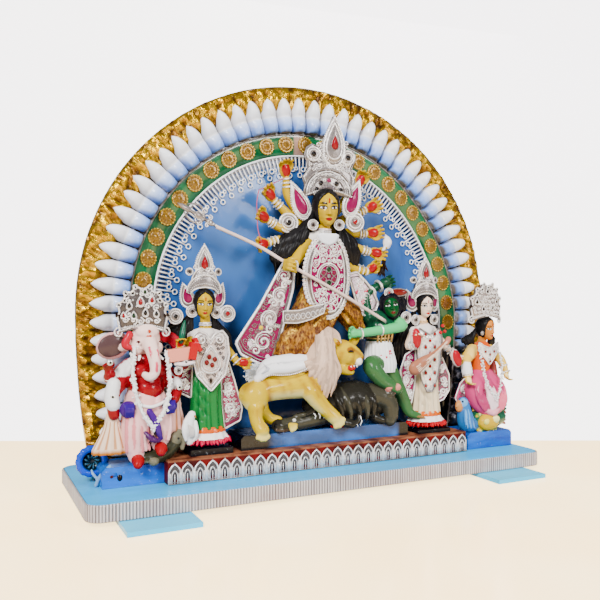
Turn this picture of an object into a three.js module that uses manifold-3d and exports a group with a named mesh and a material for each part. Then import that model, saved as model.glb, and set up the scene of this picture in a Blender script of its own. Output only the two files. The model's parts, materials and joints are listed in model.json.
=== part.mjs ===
// Painted clay tableau of a ten-armed goddess on her lion, with her four companions, on a
// plinth board under a decorated arch. Millimetres, +Z up, seen from the front along +Y.
// The origin is on the table, midway between the ends of the two foot slats.
import * as THREE from "three";
import { mergeVertices } from "three/addons/utils/BufferGeometryUtils.js";
import Module from "manifold-3d";

const wasm = await Module();
wasm.setup();

// Driving dimensions
const GAP = 0.3; // between pieces that touch
const base = { length: 470, depth: 155, thick: 15, corner: 14, strip: 1.6 };
const slat = { width: 60, thick: 4, reach: 29, inset: 25 };
const step = { length: 322, depth: 54, height: 21, front: -42 };
const stepLace = { count: 28, height: 19, thick: 1.6 };
const mound = { offset: 3, length: 184, depth: 40, height: 14, front: -31 };
const pedestal = { width: 40, depth: 30, front: -34, lakshmi: 6, lakshmiIn: 43, saraswati: 4, saraswatiIn: 34 };
const endBlock = { width: 60, height: 18, back: 5, leftIn: 50, leftFront: -31, rightIn: 38, rightFront: -38 };
const dish = { in: 16, y: -5, radius: 14, depth: 7, rise: 5 };
const arch = { centre: 150, radius: 229, inset: 14, thick: 6, face: 18, steps: 40 };
const tinsel = { wide: 22, thick: 6.5, ruffle: 1.6, steps: 36 };
const petal = { border: 11, length: 37, notch: 17, crest: 12, high: 12, perHalf: 38, perLeg: 7 };
const band = { wide: 22, thick: 0.8, steps: 28 };
const rosette = { radius: 8.6, thick: 3, onHalf: 25, onLeg: 5, degrees: 7.3 };
const fringe = { drop: 18, notch: 9, thick: 1.2, teeth: 24 };

// Heights of the clay figures without their crowns, as they are drawn below and as they are built
const drawn = { durga: 175, lion: 104, buffalo: 45, demon: 152, ganesha: 118, lakshmi: 131, saraswati: 134,
  kartikeya: 108 };
const tall = { durga: 175, lion: 104, buffalo: 45, demon: 152, ganesha: 118, lakshmi: 131, saraswati: 134,
  kartikeya: 108 };

const boardTop = slat.thick + base.thick;
const stepTop = boardTop + step.height;
const moundTop = stepTop + mound.height;
const blockTop = boardTop + endBlock.height;
const archZ = boardTop + arch.centre;
const ringBack = arch.face - GAP;
const petalOuter = arch.radius - petal.border;
const petalInner = petalOuter - petal.length;
const bandInner = petalInner - band.wide;
const rosetteCentre = bandInner + band.wide / 2 + 0.5;
const leftBlockX = -base.length / 2 + endBlock.leftIn;
const rightBlockX = base.length / 2 - endBlock.rightIn;
const lakshmiX = -step.length / 2 + pedestal.lakshmiIn;
const saraswatiX = step.length / 2 - pedestal.saraswatiIn;

// The point under each figure that it is scaled about, as drawn, and the height of its footing
const FOOT = {
  durga: [0, -8, 123], lion: [-40, -24, 54], buffalo: [30, -20, 54], demon: [72, -14, 54],
  ganesha: [-176, -22, 37], lakshmi: [-118, -17, 46], saraswati: [127, -17, 44], kartikeya: [200, -22, 37],
};
const FOOTING = {
  durga: moundTop + 69, lion: moundTop, buffalo: moundTop, demon: moundTop, ganesha: blockTop,
  lakshmi: stepTop + pedestal.lakshmi, saraswati: stepTop + pedestal.saraswati, kartikeya: blockTop,
};

const STAND_X = {
  durga: mound.offset - 3, lion: mound.offset - 43, buffalo: mound.offset + 27, demon: mound.offset + 69,
  ganesha: leftBlockX + 9, lakshmi: lakshmiX, saraswati: saraswatiX, kartikeya: rightBlockX + 3,
};

// Solids are made from three.js geometry, and only joined and cut as solids
function solid(geometry) {
  const bare = geometry.index ? geometry.toNonIndexed() : geometry.clone();
  bare.deleteAttribute("normal");
  bare.deleteAttribute("uv");
  const merged = mergeVertices(bare, 1e-4);
  const corners = Array.from(merged.index.array);
  const made = () => new wasm.Manifold(new wasm.Mesh({
    numProp: 3,
    vertProperties: new Float32Array(merged.attributes.position.array),
    triVerts: new Uint32Array(corners),
  }));
  const body = made();
  if (body.volume() > 0) return body;
  corners.reverse(); // its faces pointed inwards
  return made();
}

function join(...geometries) {
  return geometries.flat(9).map(solid).reduce((sum, part) => sum.add(part));
}

// Joins geometries drawn in a figure's own place, at the size and footing it is built with
function joinFor(name, ...geometries) {
  const [x, y, z] = FOOT[name];
  const size = tall[name] / drawn[name];
  return join(geometries.flat(9).map((g) => g.clone().translate(-x, -y, -z)
    .scale(size, size, size).translate(STAND_X[name], y, FOOTING[name])));
}

function cut(body, ...others) {
  return others.flat(9).reduce((left, other) => left.subtract(other), body);
}

// The largest shell of a solid as three.js geometry, so that a cut leaves no loose slivers
function geometryOf(body) {
  const mesh = body.getMesh();
  const owner = Array.from({ length: mesh.numVert }, (_, i) => i);
  const find = (i) => {
    while (owner[i] !== i) i = owner[i] = owner[owner[i]];
    return i;
  };
  const tri = mesh.triVerts;
  for (let t = 0; t < tri.length; t += 3) {
    owner[find(tri[t])] = find(tri[t + 1]);
    owner[find(tri[t + 1])] = find(tri[t + 2]);
  }
  const at = (i) => new THREE.Vector3().fromArray(mesh.vertProperties, i * mesh.numProp);
  const volumes = new Map();
  for (let t = 0; t < tri.length; t += 3) {
    const shell = find(tri[t]);
    volumes.set(shell, (volumes.get(shell) || 0) + at(tri[t]).dot(at(tri[t + 1]).cross(at(tri[t + 2]))));
  }
  const biggest = [...volumes].sort((a, b) => b[1] - a[1])[0][0];
  const corners = [];
  for (const i of tri) {
    if (find(i) === biggest) corners.push(...at(i).toArray());
  }
  return mergeVertices(new THREE.BufferGeometry()
    .setAttribute("position", new THREE.Float32BufferAttribute(corners, 3)), 1e-5);
}

const rad = THREE.MathUtils.degToRad;

function fromTriangles(corners) {
  return new THREE.BufferGeometry().setAttribute("position", new THREE.Float32BufferAttribute(corners.flat(), 3));
}

// Closed skin over rings of equal point count, from a start point to an end point
function loft(first, rings, end) {
  const corners = [];
  const sides = rings[0].length;
  for (let k = 0; k < sides; k++) {
    const n = (k + 1) % sides;
    for (let i = 0; i + 1 < rings.length; i++) {
      corners.push(rings[i][k], rings[i][n], rings[i + 1][n], rings[i][k], rings[i + 1][n], rings[i + 1][k]);
    }
    corners.push(first, rings[0][n], rings[0][k], end, rings[rings.length - 1][k], rings[rings.length - 1][n]);
  }
  return fromTriangles(corners);
}

// A lump of clay: an ellipsoid with its half sizes, leaning about Y by tilt degrees
function ball([x, y, z], [rx, ry, rz], tilt = 0, swell = 0) {
  return new THREE.SphereGeometry(1, 7, 4).rotateX(Math.PI / 2)
    .scale(rx + swell, ry + swell, rz + swell).rotateY(rad(tilt)).translate(x, y, z);
}

// A rolled limb: a tapered tube through [x, y, z, radius] points, with pointed round ends
function limb(points, swell = 0) {
  const thickest = Math.max(...points.map((p) => p[3]));
  const sides = thickest > 9 ? 6 : 5;
  const place = points.map(([x, y, z]) => new THREE.Vector3(x, y, z));
  const size = points.map((p) => p[3] * 1.06 + swell);
  const last = place.length - 1;
  const ahead = (i) => place[Math.min(i + 1, last)].clone().sub(place[Math.max(i - 1, 0)]).normalize();
  const rings = place.map((centre, i) => {
    const side = new THREE.Vector3(0, 1, 0).cross(ahead(i)).normalize();
    const up = ahead(i).cross(side);
    return Array.from({ length: sides }, (_, k) => {
      const a = (2 * Math.PI * (k + 0.5)) / sides;
      return centre.clone().addScaledVector(side, size[i] * Math.cos(a))
        .addScaledVector(up, size[i] * Math.sin(a)).toArray();
    });
  });
  return loft(place[0].clone().addScaledVector(ahead(0), -size[0] * 0.75).toArray(), rings,
    place[last].clone().addScaledVector(ahead(last), size[last] * 0.75).toArray());
}

// An arm bent at the elbow, thin at the wrist and widening into the hand
function arm(shoulder, elbow, wrist, tip, thick, swell = 0) {
  const palm = wrist.map((v, i) => v * 0.3 + tip[i] * 0.7);
  return limb([[...shoulder, thick * 1.1], [...elbow, thick], [...wrist, thick * 0.78], [...palm, thick * 1.35]], swell);
}

// Hanging cloth: rings of folds between a waist and a hem, each [x, y, z, half width, half depth]
function skirt(levels, folds, foldDepth, swell = 0) {
  const sides = folds * 2;
  const rings = levels.map(([x, y, z, wide, deep], i) => Array.from({ length: sides }, (_, k) => {
    const a = (2 * Math.PI * k) / sides;
    const out = 1 - (k % 2) * foldDepth * (i / (levels.length - 1));
    return [x + (wide + swell) * out * Math.cos(a), y + (deep + swell) * out * Math.sin(a), z];
  }));
  const ends = [levels[0], levels[levels.length - 1]].map(([x, y, z]) => [x, y, z]);
  const rise = Math.sign(ends[0][2] - ends[1][2]) * (swell + 0.5);
  ends[0][2] += rise;
  ends[1][2] -= rise;
  return loft(ends[0], rings, ends[1]);
}

// Loose hair spread behind the shoulders: flat rings like those of a skirt, without folds
function hair(levels, swell = 0) {
  return skirt(levels, 4, 0, swell);
}

// A turned form: [radius, height] profile on an upright axis, squashed front to back by flat
function turned([x, y, z], profile, flat = 1, swell = 0, sides = 10) {
  const last = profile.length - 1;
  const points = profile.map(([r, h], i) => [r + swell, h + (i === 0 ? -swell : i === last ? swell : 0)]);
  return new THREE.LatheGeometry([[0, points[0][1]], ...points, [0, points[last][1]]]
    .map(([r, h]) => new THREE.Vector2(r, h)), sides)
    .rotateX(Math.PI / 2).scale(1, flat, 1).translate(x, y, z);
}

// A flat panel facing the viewer: an outline in X and Z, from yFront back by thick
function panel(outline, yFront, thick) {
  const shape = new THREE.Shape(outline.map(([x, z]) => new THREE.Vector2(x, z)));
  return new THREE.ExtrudeGeometry(shape, { depth: thick, bevelEnabled: false })
    .rotateX(Math.PI / 2).translate(0, yFront + thick, 0);
}

// The same panel made a little larger all round, for cutting its neighbours
function swollen(outline, yFront, thick, swell) {
  const middle = [0, 1].map((i) => outline.reduce((sum, p) => sum + p[i], 0) / outline.length);
  const grown = outline.map(([x, z]) => {
    const away = Math.hypot(x - middle[0], z - middle[1]) || 1;
    const share = 1 + (swell * 1.6) / away;
    return [middle[0] + (x - middle[0]) * share, middle[1] + (z - middle[1]) * share];
  });
  return panel(grown, yFront - swell, thick + 2 * swell);
}

function box(x0, x1, y0, y1, z0, z1) {
  return new THREE.BoxGeometry(x1 - x0, y1 - y0, z1 - z0)
    .translate((x0 + x1) / 2, (y0 + y1) / 2, (z0 + z1) / 2);
}

// Board, slats and steps
function roundedSlab(shrink, z0, z1) {
  const x = base.length / 2 - shrink;
  const y = base.depth / 2 - shrink;
  const r = base.corner - shrink;
  const shape = new THREE.Shape();
  [[x, -y, -1], [x, y, 0], [-x, y, 1], [-x, -y, 2]].forEach(([cx, cy, quarter]) => shape.absarc(
    cx - Math.sign(cx) * r, cy - Math.sign(cy) * r, r, (quarter * Math.PI) / 2, ((quarter + 1) * Math.PI) / 2));
  return new THREE.ExtrudeGeometry(shape, { depth: z1 - z0, bevelEnabled: false, curveSegments: 2 })
    .translate(0, 0, z0);
}

function makeEdgeStrip() {
  return cut(join(roundedSlab(0, slat.thick + GAP, boardTop - 0.4)),
    join(roundedSlab(base.strip, slat.thick - 1, boardTop + 4)));
}

function makeSlat(side) {
  const outer = side * (base.length / 2 - slat.inset);
  const inner = outer - side * slat.width;
  const y = base.depth / 2 + slat.reach;
  return join(box(Math.min(inner, outer), Math.max(inner, outer), -y, y, 0, slat.thick));
}

// A strip of pointed arches in stamped foil along the step's front
function makeStepLace() {
  const pitch = step.length / stepLace.count;
  const z0 = boardTop + GAP;
  const teeth = Array.from({ length: stepLace.count }, (_, i) => {
    const right = step.length / 2 - i * pitch;
    return [[right, z0 + stepLace.height * 0.55], [right - pitch / 2, z0 + stepLace.height]];
  });
  const outline = [[-step.length / 2, z0], [step.length / 2, z0], ...teeth.flat(),
    [-step.length / 2, z0 + stepLace.height * 0.55]];
  return join(panel(outline, step.front - GAP - stepLace.thick, stepLace.thick));
}

// A block with its upper edges rounded off by hand
function lump(x0, x1, y0, y1, z0, z1, bevel = 3) {
  return panel([[x0, z0], [x1, z0], [x1, z1 - bevel], [x1 - bevel, z1], [x0 + bevel, z1], [x0, z1 - bevel]],
    y0, y1 - y0);
}

// Each block's solid, grown by swell where a neighbour is cut clear of it
const blocks = {
  lion_block: (s) => lump(mound.offset - mound.length / 2 - s, mound.offset + mound.length / 2 + s,
    mound.front - s, mound.front + mound.depth + s, stepTop + GAP, moundTop + s - GAP),
  lakshmi_block: (s) => pedestalBox(lakshmiX, pedestal.lakshmi, s),
  saraswati_block: (s) => pedestalBox(saraswatiX, pedestal.saraswati, s),
  ganesha_block: (s) => endLump(leftBlockX, endBlock.leftFront, s),
  kartikeya_block: (s) => endLump(rightBlockX, endBlock.rightFront, s),
};

function pedestalBox(x, height, s) {
  return box(x - pedestal.width / 2 - s, x + pedestal.width / 2 + s, pedestal.front - s,
    pedestal.front + pedestal.depth + s, stepTop + GAP, stepTop + height + s - GAP);
}

function endLump(x, front, s) {
  return lump(x - endBlock.width / 2 - s, x + endBlock.width / 2 + s, front - s, endBlock.back + s,
    boardTop + GAP, blockTop + s - GAP);
}

// A dish standing on its rim, its hollow towards the viewer
function makeDish(s) {
  const r = dish.radius + s;
  const back = dish.depth / 2 + s;
  const profile = [[0, back], [r * 0.8, back], [r, -back], [r * 0.8, -back], [r * 0.55, 0.8 - s], [0, 1.6 - s]];
  return new THREE.LatheGeometry(profile.map(([x, y]) => new THREE.Vector2(x, y)), 12)
    .translate(-base.length / 2 + dish.in, dish.y, boardTop + dish.rise + dish.radius);
}

const stepRoom = box(-step.length / 2 - GAP, step.length / 2 + GAP,
  step.front - stepLace.thick - 2 * GAP, step.front + step.depth + GAP, 0, stepTop);

// The arch follows a half circle and then two legs that draw in towards the board
function legX(r, z) {
  const down = (archZ - z) / arch.centre;
  return r - arch.inset * down * down;
}

// Stations along the arch from the foot of one leg to the other: count on the half circle
function stations(count, perLeg) {
  const low = boardTop + GAP;
  const leg = Array.from({ length: perLeg }, (_, i) => archZ - ((archZ - low) * (perLeg - i)) / perLeg);
  const at = (x, z) => (r) => [x * legX(r, z), z];
  const round = Array.from({ length: count + 1 }, (_, i) => (Math.PI * i) / count)
    .map((a) => (r) => [r * Math.cos(a), archZ + r * Math.sin(a)]);
  return [...leg.map((z) => at(1, z)), ...round, ...leg.toReversed().map((z) => at(-1, z))];
}

function archRing(inner, outer, yFront, thick, count, perLeg = 4) {
  const along = stations(count, perLeg);
  return panel([...along.map((at, i) => at(outer(i))), ...along.toReversed().map((at, i) => at(inner(i)))],
    yFront, thick);
}

function makeArchBoard() {
  return join(panel(stations(arch.steps, 4).map((at) => at(arch.radius)), arch.face, arch.thick));
}

function makeTinsel() {
  const outer = (i) => arch.radius + (i % 2) * tinsel.ruffle;
  return join(archRing(() => arch.radius - tinsel.wide, outer, ringBack - tinsel.thick, tinsel.thick,
    tinsel.steps, 4));
}

// The ring of pressed petals: a ridge down each petal, a valley between two, and pointed tips
function makePetals() {
  const along = stations(petal.perHalf * 2, petal.perLeg * 2);
  const clearOf = ringBack - tinsel.thick - GAP;
  const rows = along.map((at, i) => {
    const ridge = i % 2;
    const tip = at(ridge ? petalOuter : petalOuter - petal.notch);
    const point = (r, high) => {
      const [x, z] = at(r);
      return [x, ringBack - high, z];
    };
    const underTinsel = arch.radius - tinsel.wide - GAP;
    const edge = ridge ? underTinsel : Math.min(underTinsel, petalOuter - petal.notch - 1);
    return [
      point(petalInner, 0), point(petalInner, petal.high * 0.6),
      point(petalInner + petal.crest, ridge ? petal.high : petal.high * 0.3), [tip[0], clearOf - 2, tip[1]],
      [tip[0], clearOf, tip[1]], point(edge, tinsel.thick + GAP), point(edge, 0),
    ];
  });
  const corners = [];
  for (let i = 0; i + 1 < rows.length; i++) {
    const sides = rows[i].length;
    for (let k = 0; k < sides; k++) {
      const n = (k + 1) % sides;
      corners.push(rows[i][k], rows[i][n], rows[i + 1][n], rows[i][k], rows[i + 1][n], rows[i + 1][k]);
    }
  }
  for (const [row, turn] of [[rows[0], 1], [rows[rows.length - 1], -1]]) {
    for (let k = 1; k + 1 < row.length; k++) {
      corners.push(...(turn > 0 ? [row[0], row[k + 1], row[k]] : [row[0], row[k], row[k + 1]]));
    }
  }
  return join(fromTriangles(corners));
}

function makeRosetteBand() {
  const disc = (x, z) => new THREE.ConeGeometry(rosette.radius, rosette.thick, 6).rotateX(Math.PI)
    .translate(x, ringBack - band.thick * 0.9 - rosette.thick / 2, z);
  const half = (rosette.onHalf - 1) / 2;
  const pitch = rad(rosette.degrees);
  const round = Array.from({ length: rosette.onHalf }, (_, i) => (i - half) * pitch)
    .map((a) => disc(rosetteCentre * Math.sin(a), archZ + rosetteCentre * Math.cos(a)));
  const legs = Array.from({ length: rosette.onLeg }, (_, i) => archZ - (i + 0.8) * pitch * rosetteCentre)
    .flatMap((z) => [disc(legX(rosetteCentre, z), z), disc(-legX(rosetteCentre, z), z)]);
  return join(archRing(() => bandInner, () => petalInner - GAP, ringBack - band.thick, band.thick, band.steps),
    round, legs);
}

// Silver lace whose points hang inwards from the green band
function makeFringe() {
  return join(archRing((i) => bandInner - (i % 2 ? fringe.drop : fringe.notch), () => bandInner - GAP,
    ringBack - fringe.thick, fringe.thick, fringe.teeth * 2, 6));
}

// The goddess: head, hair, body, gathered skirt and ten arms
function durga(s) {
  const arms = [
    [[-8, 0, 258], [-27, 0, 286], [-31, -2, 302], [-34, -4, 320]],
    [[-18, 0, 256], [-31, -1, 269], [-42, -2, 276], [-58, -4, 293]],
    [[-18, 0, 249], [-37, -1, 252], [-49, -2, 258], [-67, -4, 266]],
    [[-18, 0, 241], [-32, -2, 241], [-50, -4, 236], [-68, -8, 231]],
    [[18, 0, 262], [44, 0, 288], [52, -2, 297], [58, -4, 313]],
    [[24, 0, 257], [45, -1, 267], [60, -2, 274], [80, -4, 284]],
    [[24, 0, 249], [47, -1, 249], [62, -2, 249], [86, -4, 252]],
    [[24, 0, 241], [51, -1, 234], [65, -2, 230], [93, -4, 227]],
  ];
  return joinFor("durga",
    ball([8, -14, 270], [15, 14, 18], 0, s),
    limb([[8, -14, 262, 6], [7, -11, 243, 8], [6, -8, 234, 16], [4, -8, 212, 14], [4, -8, 192, 14]], s),
    hair([[8, -6, 280, 16, 10], [6, -4, 244, 40, 10], [6, -4, 222, 43, 8], [8, -5, 196, 36, 6]], s),
    skirt([[4, -9, 198, 16, 13], [0, -11, 176, 25, 17], [-13, -12, 152, 28, 19], [-27, -14, 127, 22, 15]], 6, 0.14, s),
    limb([[14, -10, 184, 16], [34, -13, 165, 13], [44, -14, 146, 8]], s),
    arms.map((points) => arm(...points, 4.6, s)),
    arm([-8, -9, 236], [-26, -14, 216], [-34, -24, 212], [-41, -30, 213], 6, s),
    limb([[20, -8, 236, 8], [38, -4, 217, 6], [54, -4, 207, 5], [65, -4, 210, 4.4], [79, -6, 219, 6]], s));
}

function lion(s) {
  return joinFor("lion",
    limb([[-76, -25, 92, 17], [-56, -24, 96, 15], [-38, -24, 97, 15], [-14, -24, 97, 17], [0, -25, 100, 15]], s),
    limb([[-75, -29, 84, 14], [-82, -32, 70, 7], [-78, -36, 59, 7], [-72, -41, 57, 5]], s),
    limb([[-64, -14, 86, 9], [-64, -13, 70, 6], [-58, -16, 60, 6]], s),
    limb([[-14, -29, 94, 13], [-4, -33, 79, 8], [4, -37, 67, 8], [10, -41, 65, 5]], s),
    limb([[3, -22, 150, 7], [0, -24, 134, 17], [-1, -25, 114, 22], [1, -27, 96, 16], [0, -30, 85, 6]], s),
    ball([20, -29, 127], [15, 12, 14], 0, s),
    limb([[26, -31, 123, 10], [38, -32, 117, 7]], s),
    limb([[18, -31, 113, 9], [30, -32, 108, 5]], s),
    ball([9, -35, 139], [5, 4, 7], -20, s));
}

function buffalo(s) {
  return joinFor("buffalo",
    limb([[0, -15, 73, 14], [22, -16, 74, 20], [42, -16, 75, 21], [60, -17, 72, 16]], s),
    limb([[60, -24, 80, 12], [73, -28, 76, 10], [77, -31, 65, 8], [73, -32, 60, 6]], s),
    limb([[52, -22, 66, 8], [60, -30, 60, 5]], s),
    limb([[14, -22, 68, 9], [-8, -25, 64, 9], [-28, -28, 62, 8], [-48, -30, 60, 6]], s),
    limb([[-22, -28, 68, 3.4], [-14, -31, 74, 2.4], [-4, -30, 77, 1.4]], s));
}

function demon(s) {
  return joinFor("demon",
    limb([[71, -14, 108, 14], [71, -13, 126, 13], [70, -11, 146, 12], [74, -9, 160, 13]], s),
    ball([84, -15, 173], [10, 10, 13], 12, s),
    limb([[92, -9, 182, 10], [99, -7, 166, 7]], s),
    limb([[86, -14, 160, 9], [90, -25, 152, 6.5], [62, -29, 147, 5.5], [36, -29, 145, 5], [24, -29, 146, 4]], s),
    limb([[62, -7, 162, 7], [62, -5, 184, 6], [78, -5, 196, 5], [97, -8, 202, 4.5]], s),
    limb([[66, -20, 112, 11], [50, -28, 112, 9], [62, -32, 98, 8], [79, -34, 88, 6]], s),
    limb([[79, -14, 108, 12], [90, -16, 90, 9], [100, -18, 70, 7], [104, -20, 60, 6], [112, -25, 57, 4]], s));
}

function ganesha(s) {
  return joinFor("ganesha",
    limb([[-175, -17, 124, 10], [-175, -18, 112, 17], [-175, -20, 98, 17], [-175, -20, 84, 16]], s),
    ball([-175, -19, 142], [14, 13, 15], 0, s),
    limb([[-175, -27, 140, 9], [-173, -35, 126, 7], [-173, -38, 114, 5], [-183, -39, 112, 4]], s),
    ball([-203, -14, 141], [18, 3.5, 12], -8, s),
    ball([-151, -12, 143], [17, 3.5, 12], 8, s),
    limb([[-188, -15, 120, 8], [-205, -18, 111, 6], [-210, -22, 124, 6]], s),
    limb([[-190, -18, 112, 7], [-205, -25, 97, 6], [-206, -28, 82, 5]], s),
    limb([[-162, -15, 120, 8], [-147, -18, 109, 6], [-143, -24, 119, 5]], s),
    limb([[-160, -20, 110, 7], [-149, -28, 98, 6], [-155, -33, 88, 5]], s),
    limb([[-182, -20, 86, 14], [-187, -25, 64, 12], [-186, -29, 45, 8]], s),
    limb([[-168, -20, 84, 13], [-165, -25, 68, 11], [-166, -29, 47, 7]], s),
    skirt([[-204, -22, 86, 6, 5], [-205, -22, 46, 15, 9]], 5, 0.2, s),
    skirt([[-150, -17, 96, 6, 5], [-148, -17, 55, 14, 9]], 5, 0.2, s));
}

// Body of a standing companion at x, her neck at the height neck and her waist at waist
function standing(x, neck, waist, hem, s) {
  return [
    ball([x - 3, -19, neck + 17], [11, 11, 14], 0, s),
    limb([[x - 2, -18, neck + 8, 4.6], [x - 1, -17, neck - 4, 6], [x - 1, -17, neck - 13, 12],
      [x, -17, waist + 6, 10]], s),
    skirt([[x, -17, waist + 4, 11, 10], [x, -17, hem, 17, 14]], 6, 0.16, s),
    hair([[x - 2, -12, neck + 24, 13, 8], [x - 2, -11, neck - 6, 23, 6], [x + 2, -11, neck - 28, 20, 4]], s),
  ];
}

function lakshmi(s) {
  return joinFor("lakshmi", standing(-118, 157, 112, 60, s),
    arm([-107, -17, 146], [-95, -20, 131], [-86, -24, 120], [-77, -27, 122], 4.8, s),
    arm([-131, -17, 146], [-142, -23, 134], [-147, -28, 139], [-147, -31, 147], 4.8, s));
}

function saraswati(s) {
  return joinFor("saraswati", standing(127, 155, 110, 56, s),
    arm([111, -17, 144], [103, -22, 132], [107, -28, 137], [108, -31, 149], 4.6, s),
    arm([138, -17, 144], [150, -20, 131], [156, -24, 123], [164, -27, 112], 4.8, s));
}

function kartikeya(s) {
  return joinFor("kartikeya",
    ball([205, -19, 148], [12, 12, 14], 0, s),
    limb([[205, -19, 138, 5], [203, -18, 128, 6], [202, -19, 120, 13], [200, -19, 104, 10], [200, -19, 90, 13]], s),
    hair([[205, -14, 158, 13, 8], [203, -13, 130, 21, 5]], s),
    limb([[190, -19, 123, 7], [178, -23, 112, 6], [175, -28, 98, 5], [178, -34, 82, 5]], s),
    limb([[214, -19, 122, 7], [225, -23, 110, 6], [228, -28, 96, 5], [222, -33, 88, 4.4]], s),
    limb([[194, -20, 88, 14], [184, -27, 74, 10], [189, -32, 57, 6]], s),
    limb([[207, -20, 88, 13], [221, -25, 74, 10], [214, -32, 57, 6]], s));
}

function peacock(s) {
  return joinFor("kartikeya",
    limb([[180, -23, 46, 9], [198, -23, 48, 9], [216, -22, 47, 8], [229, -21, 46, 7]], s),
    limb([[180, -26, 46, 8], [170, -29, 52, 7], [166, -31, 66, 5], [161, -33, 75, 5], [152, -35, 71, 1.5]], s),
    panel([[176, 42], [182, 37], [230, 37], [235, 46], [230, 56], [184, 56]], -30 - s, 16 + 2 * s));
}

function mouse(s) {
  return joinFor("ganesha", limb([[-178, -33, 42, 5], [-162, -30, 44, 7.5], [-152, -28, 52, 6.5],
    [-149, -28, 61, 4]], s));
}

function owl(s) {
  return joinFor("lakshmi", limb([[-137, -29, 57, 6], [-137, -29, 68, 6.5], [-136, -30, 76, 5]], s));
}

// The spear, held in the goddess's hand with its trident to the left
function spear(s) {
  const shaft = [[-126, -13, 257, 2.6], [-67, -19, 231, 2.1], [-39, -29, 213, 2.1], [20, -30.5, 184, 2.1],
    [69, -28.5, 158, 2.1]];
  const prong = (z, lift) => limb([[-112, -13, 251, 2], [-120, -12, 254 + lift, 1.8], [-132, -11, z, 1]], s);
  return joinFor("durga", limb(shaft, s), prong(268, 7), prong(250, -6));
}

// A crown of pressed foil: a dome in front of a leafed panel that rises to a tip, low edge at z
function crown(name, [x, y, z], wide, high, s) {
  const w = wide / 2 + s;
  const leaf = [[0.85, -0.3], [1.2, -0.1], [1, 0.28], [0.72, 0.34], [0.74, 0.54], [0.42, 0.62], [0.36, 0.8]];
  const half = leaf.map(([a, b]) => [a * w, z + b * high]);
  const outline = [...half, [0, z + high + s], ...half.toReversed().map(([a, b]) => [-a, b])]
    .map(([a, b]) => [x + a, b]);
  const dome = [[w * 0.66, -high * 0.06], [w * 0.78, high * 0.12], [w * 0.6, high * 0.36], [w * 0.2, high * 0.56]];
  return joinFor(name, panel(outline, y - s, 2.6 + 2 * s), turned([x, y, z], dome, 0.72, s, 7));
}

function lotus(name, [x, y, z], r, high, s) {
  return joinFor(name, skirt([[x, y, z + high, r * 0.8, r * 0.7], [x, y, z + high * 0.7, r, r * 0.86],
    [x, y, z, r * 0.8, r * 0.7]], 6, 0.16, s));
}

// Cloth and foil worn by the figures: [who wears it, outline in X and Z, front Y, thickness]
const DRESS = {
  durga_breastplate: ["durga", [[-18, 236], [-8, 243], [4, 238], [18, 243], [28, 236], [31, 214], [28, 190],
    [17, 168], [4, 161], [-8, 168], [-18, 188], [-21, 212]], -25.6, 1.8],
  durga_shawl_left: ["durga", [[-27, 214], [-36, 219], [-42, 212], [-88, 139], [-80, 124], [-52, 114], [-44, 140],
    [-31, 182]], -14, 2],
  durga_shawl_right: ["durga", [[34, 206], [46, 209], [64, 192], [74, 176], [62, 161], [46, 168]], -10, 2],
  durga_belt: ["durga", [[-44, 157], [-20, 161], [-6, 167], [-4, 177], [-18, 173], [-44, 169]], -32, 3],
  lakshmi_breastplate: ["lakshmi", [[-132, 150], [-119, 146], [-106, 150], [-101, 130], [-106, 112], [-118, 99],
    [-128, 112], [-135, 130]], -29.6, 1.6],
  lakshmi_shawl_right: ["lakshmi", [[-106, 136], [-101, 133], [-84, 78], [-86, 66], [-101, 61], [-103, 92]], -20, 2],
  lakshmi_shawl_left: ["lakshmi", [[-130, 134], [-136, 132], [-147, 108], [-144, 96], [-132, 90]], -16, 2],
  saraswati_apron: ["saraswati", [[113, 148], [123, 143], [135, 148], [139, 128], [136, 106], [129, 84], [119, 84],
    [113, 106], [110, 128]], -29.6, 1.6],
  saraswati_shawl_left: ["saraswati", [[112, 128], [100, 122], [94, 106], [97, 78], [108, 70], [113, 96]], -20, 2],
  saraswati_shawl_right: ["saraswati", [[141, 122], [150, 112], [157, 92], [154, 76], [143, 68], [139, 92]], -20, 2],
  kartikeya_cloth_left: ["kartikeya", [[184, 96], [172, 88], [166, 72], [172, 64], [186, 66], [190, 80]], -18, 2],
  kartikeya_cloth_right: ["kartikeya", [[222, 98], [230, 92], [234.6, 76], [233, 64], [220, 62], [216, 80]], -18, 2],
};

function dress(name, s = 0) {
  const [wearer, outline, yFront, thick] = DRESS[name];
  return joinFor(wearer, s ? swollen(outline, yFront, thick, s) : panel(outline, yFront, thick));
}

const group = new THREE.Group();

function add(name, body, color, roughness = 0.6, metalness = 0) {
  const mesh = new THREE.Mesh(geometryOf(body), new THREE.MeshStandardMaterial({ color, roughness, metalness }));
  mesh.name = name;
  group.add(mesh);
}

const FOIL = ["#c9c4c0", 0.4, 0.6];
const BLUE = "#3f8fd8";
const NAVY = "#12141f";
const CERISE = "#b8205a";

add("base_board", join(roundedSlab(base.strip + GAP, slat.thick + GAP, boardTop)), "#7cc4ec", 0.5);
add("base_edge_strip", makeEdgeStrip(), ...FOIL);
add("foot_slat_left", makeSlat(-1), "#9cdcf8", 0.5);
add("foot_slat_right", makeSlat(1), "#9cdcf8", 0.5);
add("centre_step", join(box(-step.length / 2, step.length / 2, step.front, step.front + step.depth,
  boardTop + GAP, stepTop)), "#8e2a2c", 0.6);
add("step_lace", makeStepLace(), ...FOIL);
add("lion_block", join(blocks.lion_block(0)), BLUE, 0.5);
add("lakshmi_block", cut(join(blocks.lakshmi_block(0)), join(blocks.lion_block(GAP))), NAVY, 0.5);
add("saraswati_block", cut(join(blocks.saraswati_block(0)), join(blocks.lion_block(GAP))), NAVY, 0.5);
add("ganesha_block", cut(join(blocks.ganesha_block(0)), join(stepRoom), join(makeDish(GAP))), BLUE, 0.5);
add("kartikeya_block", cut(join(blocks.kartikeya_block(0)), join(stepRoom)), BLUE, 0.5);
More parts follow.
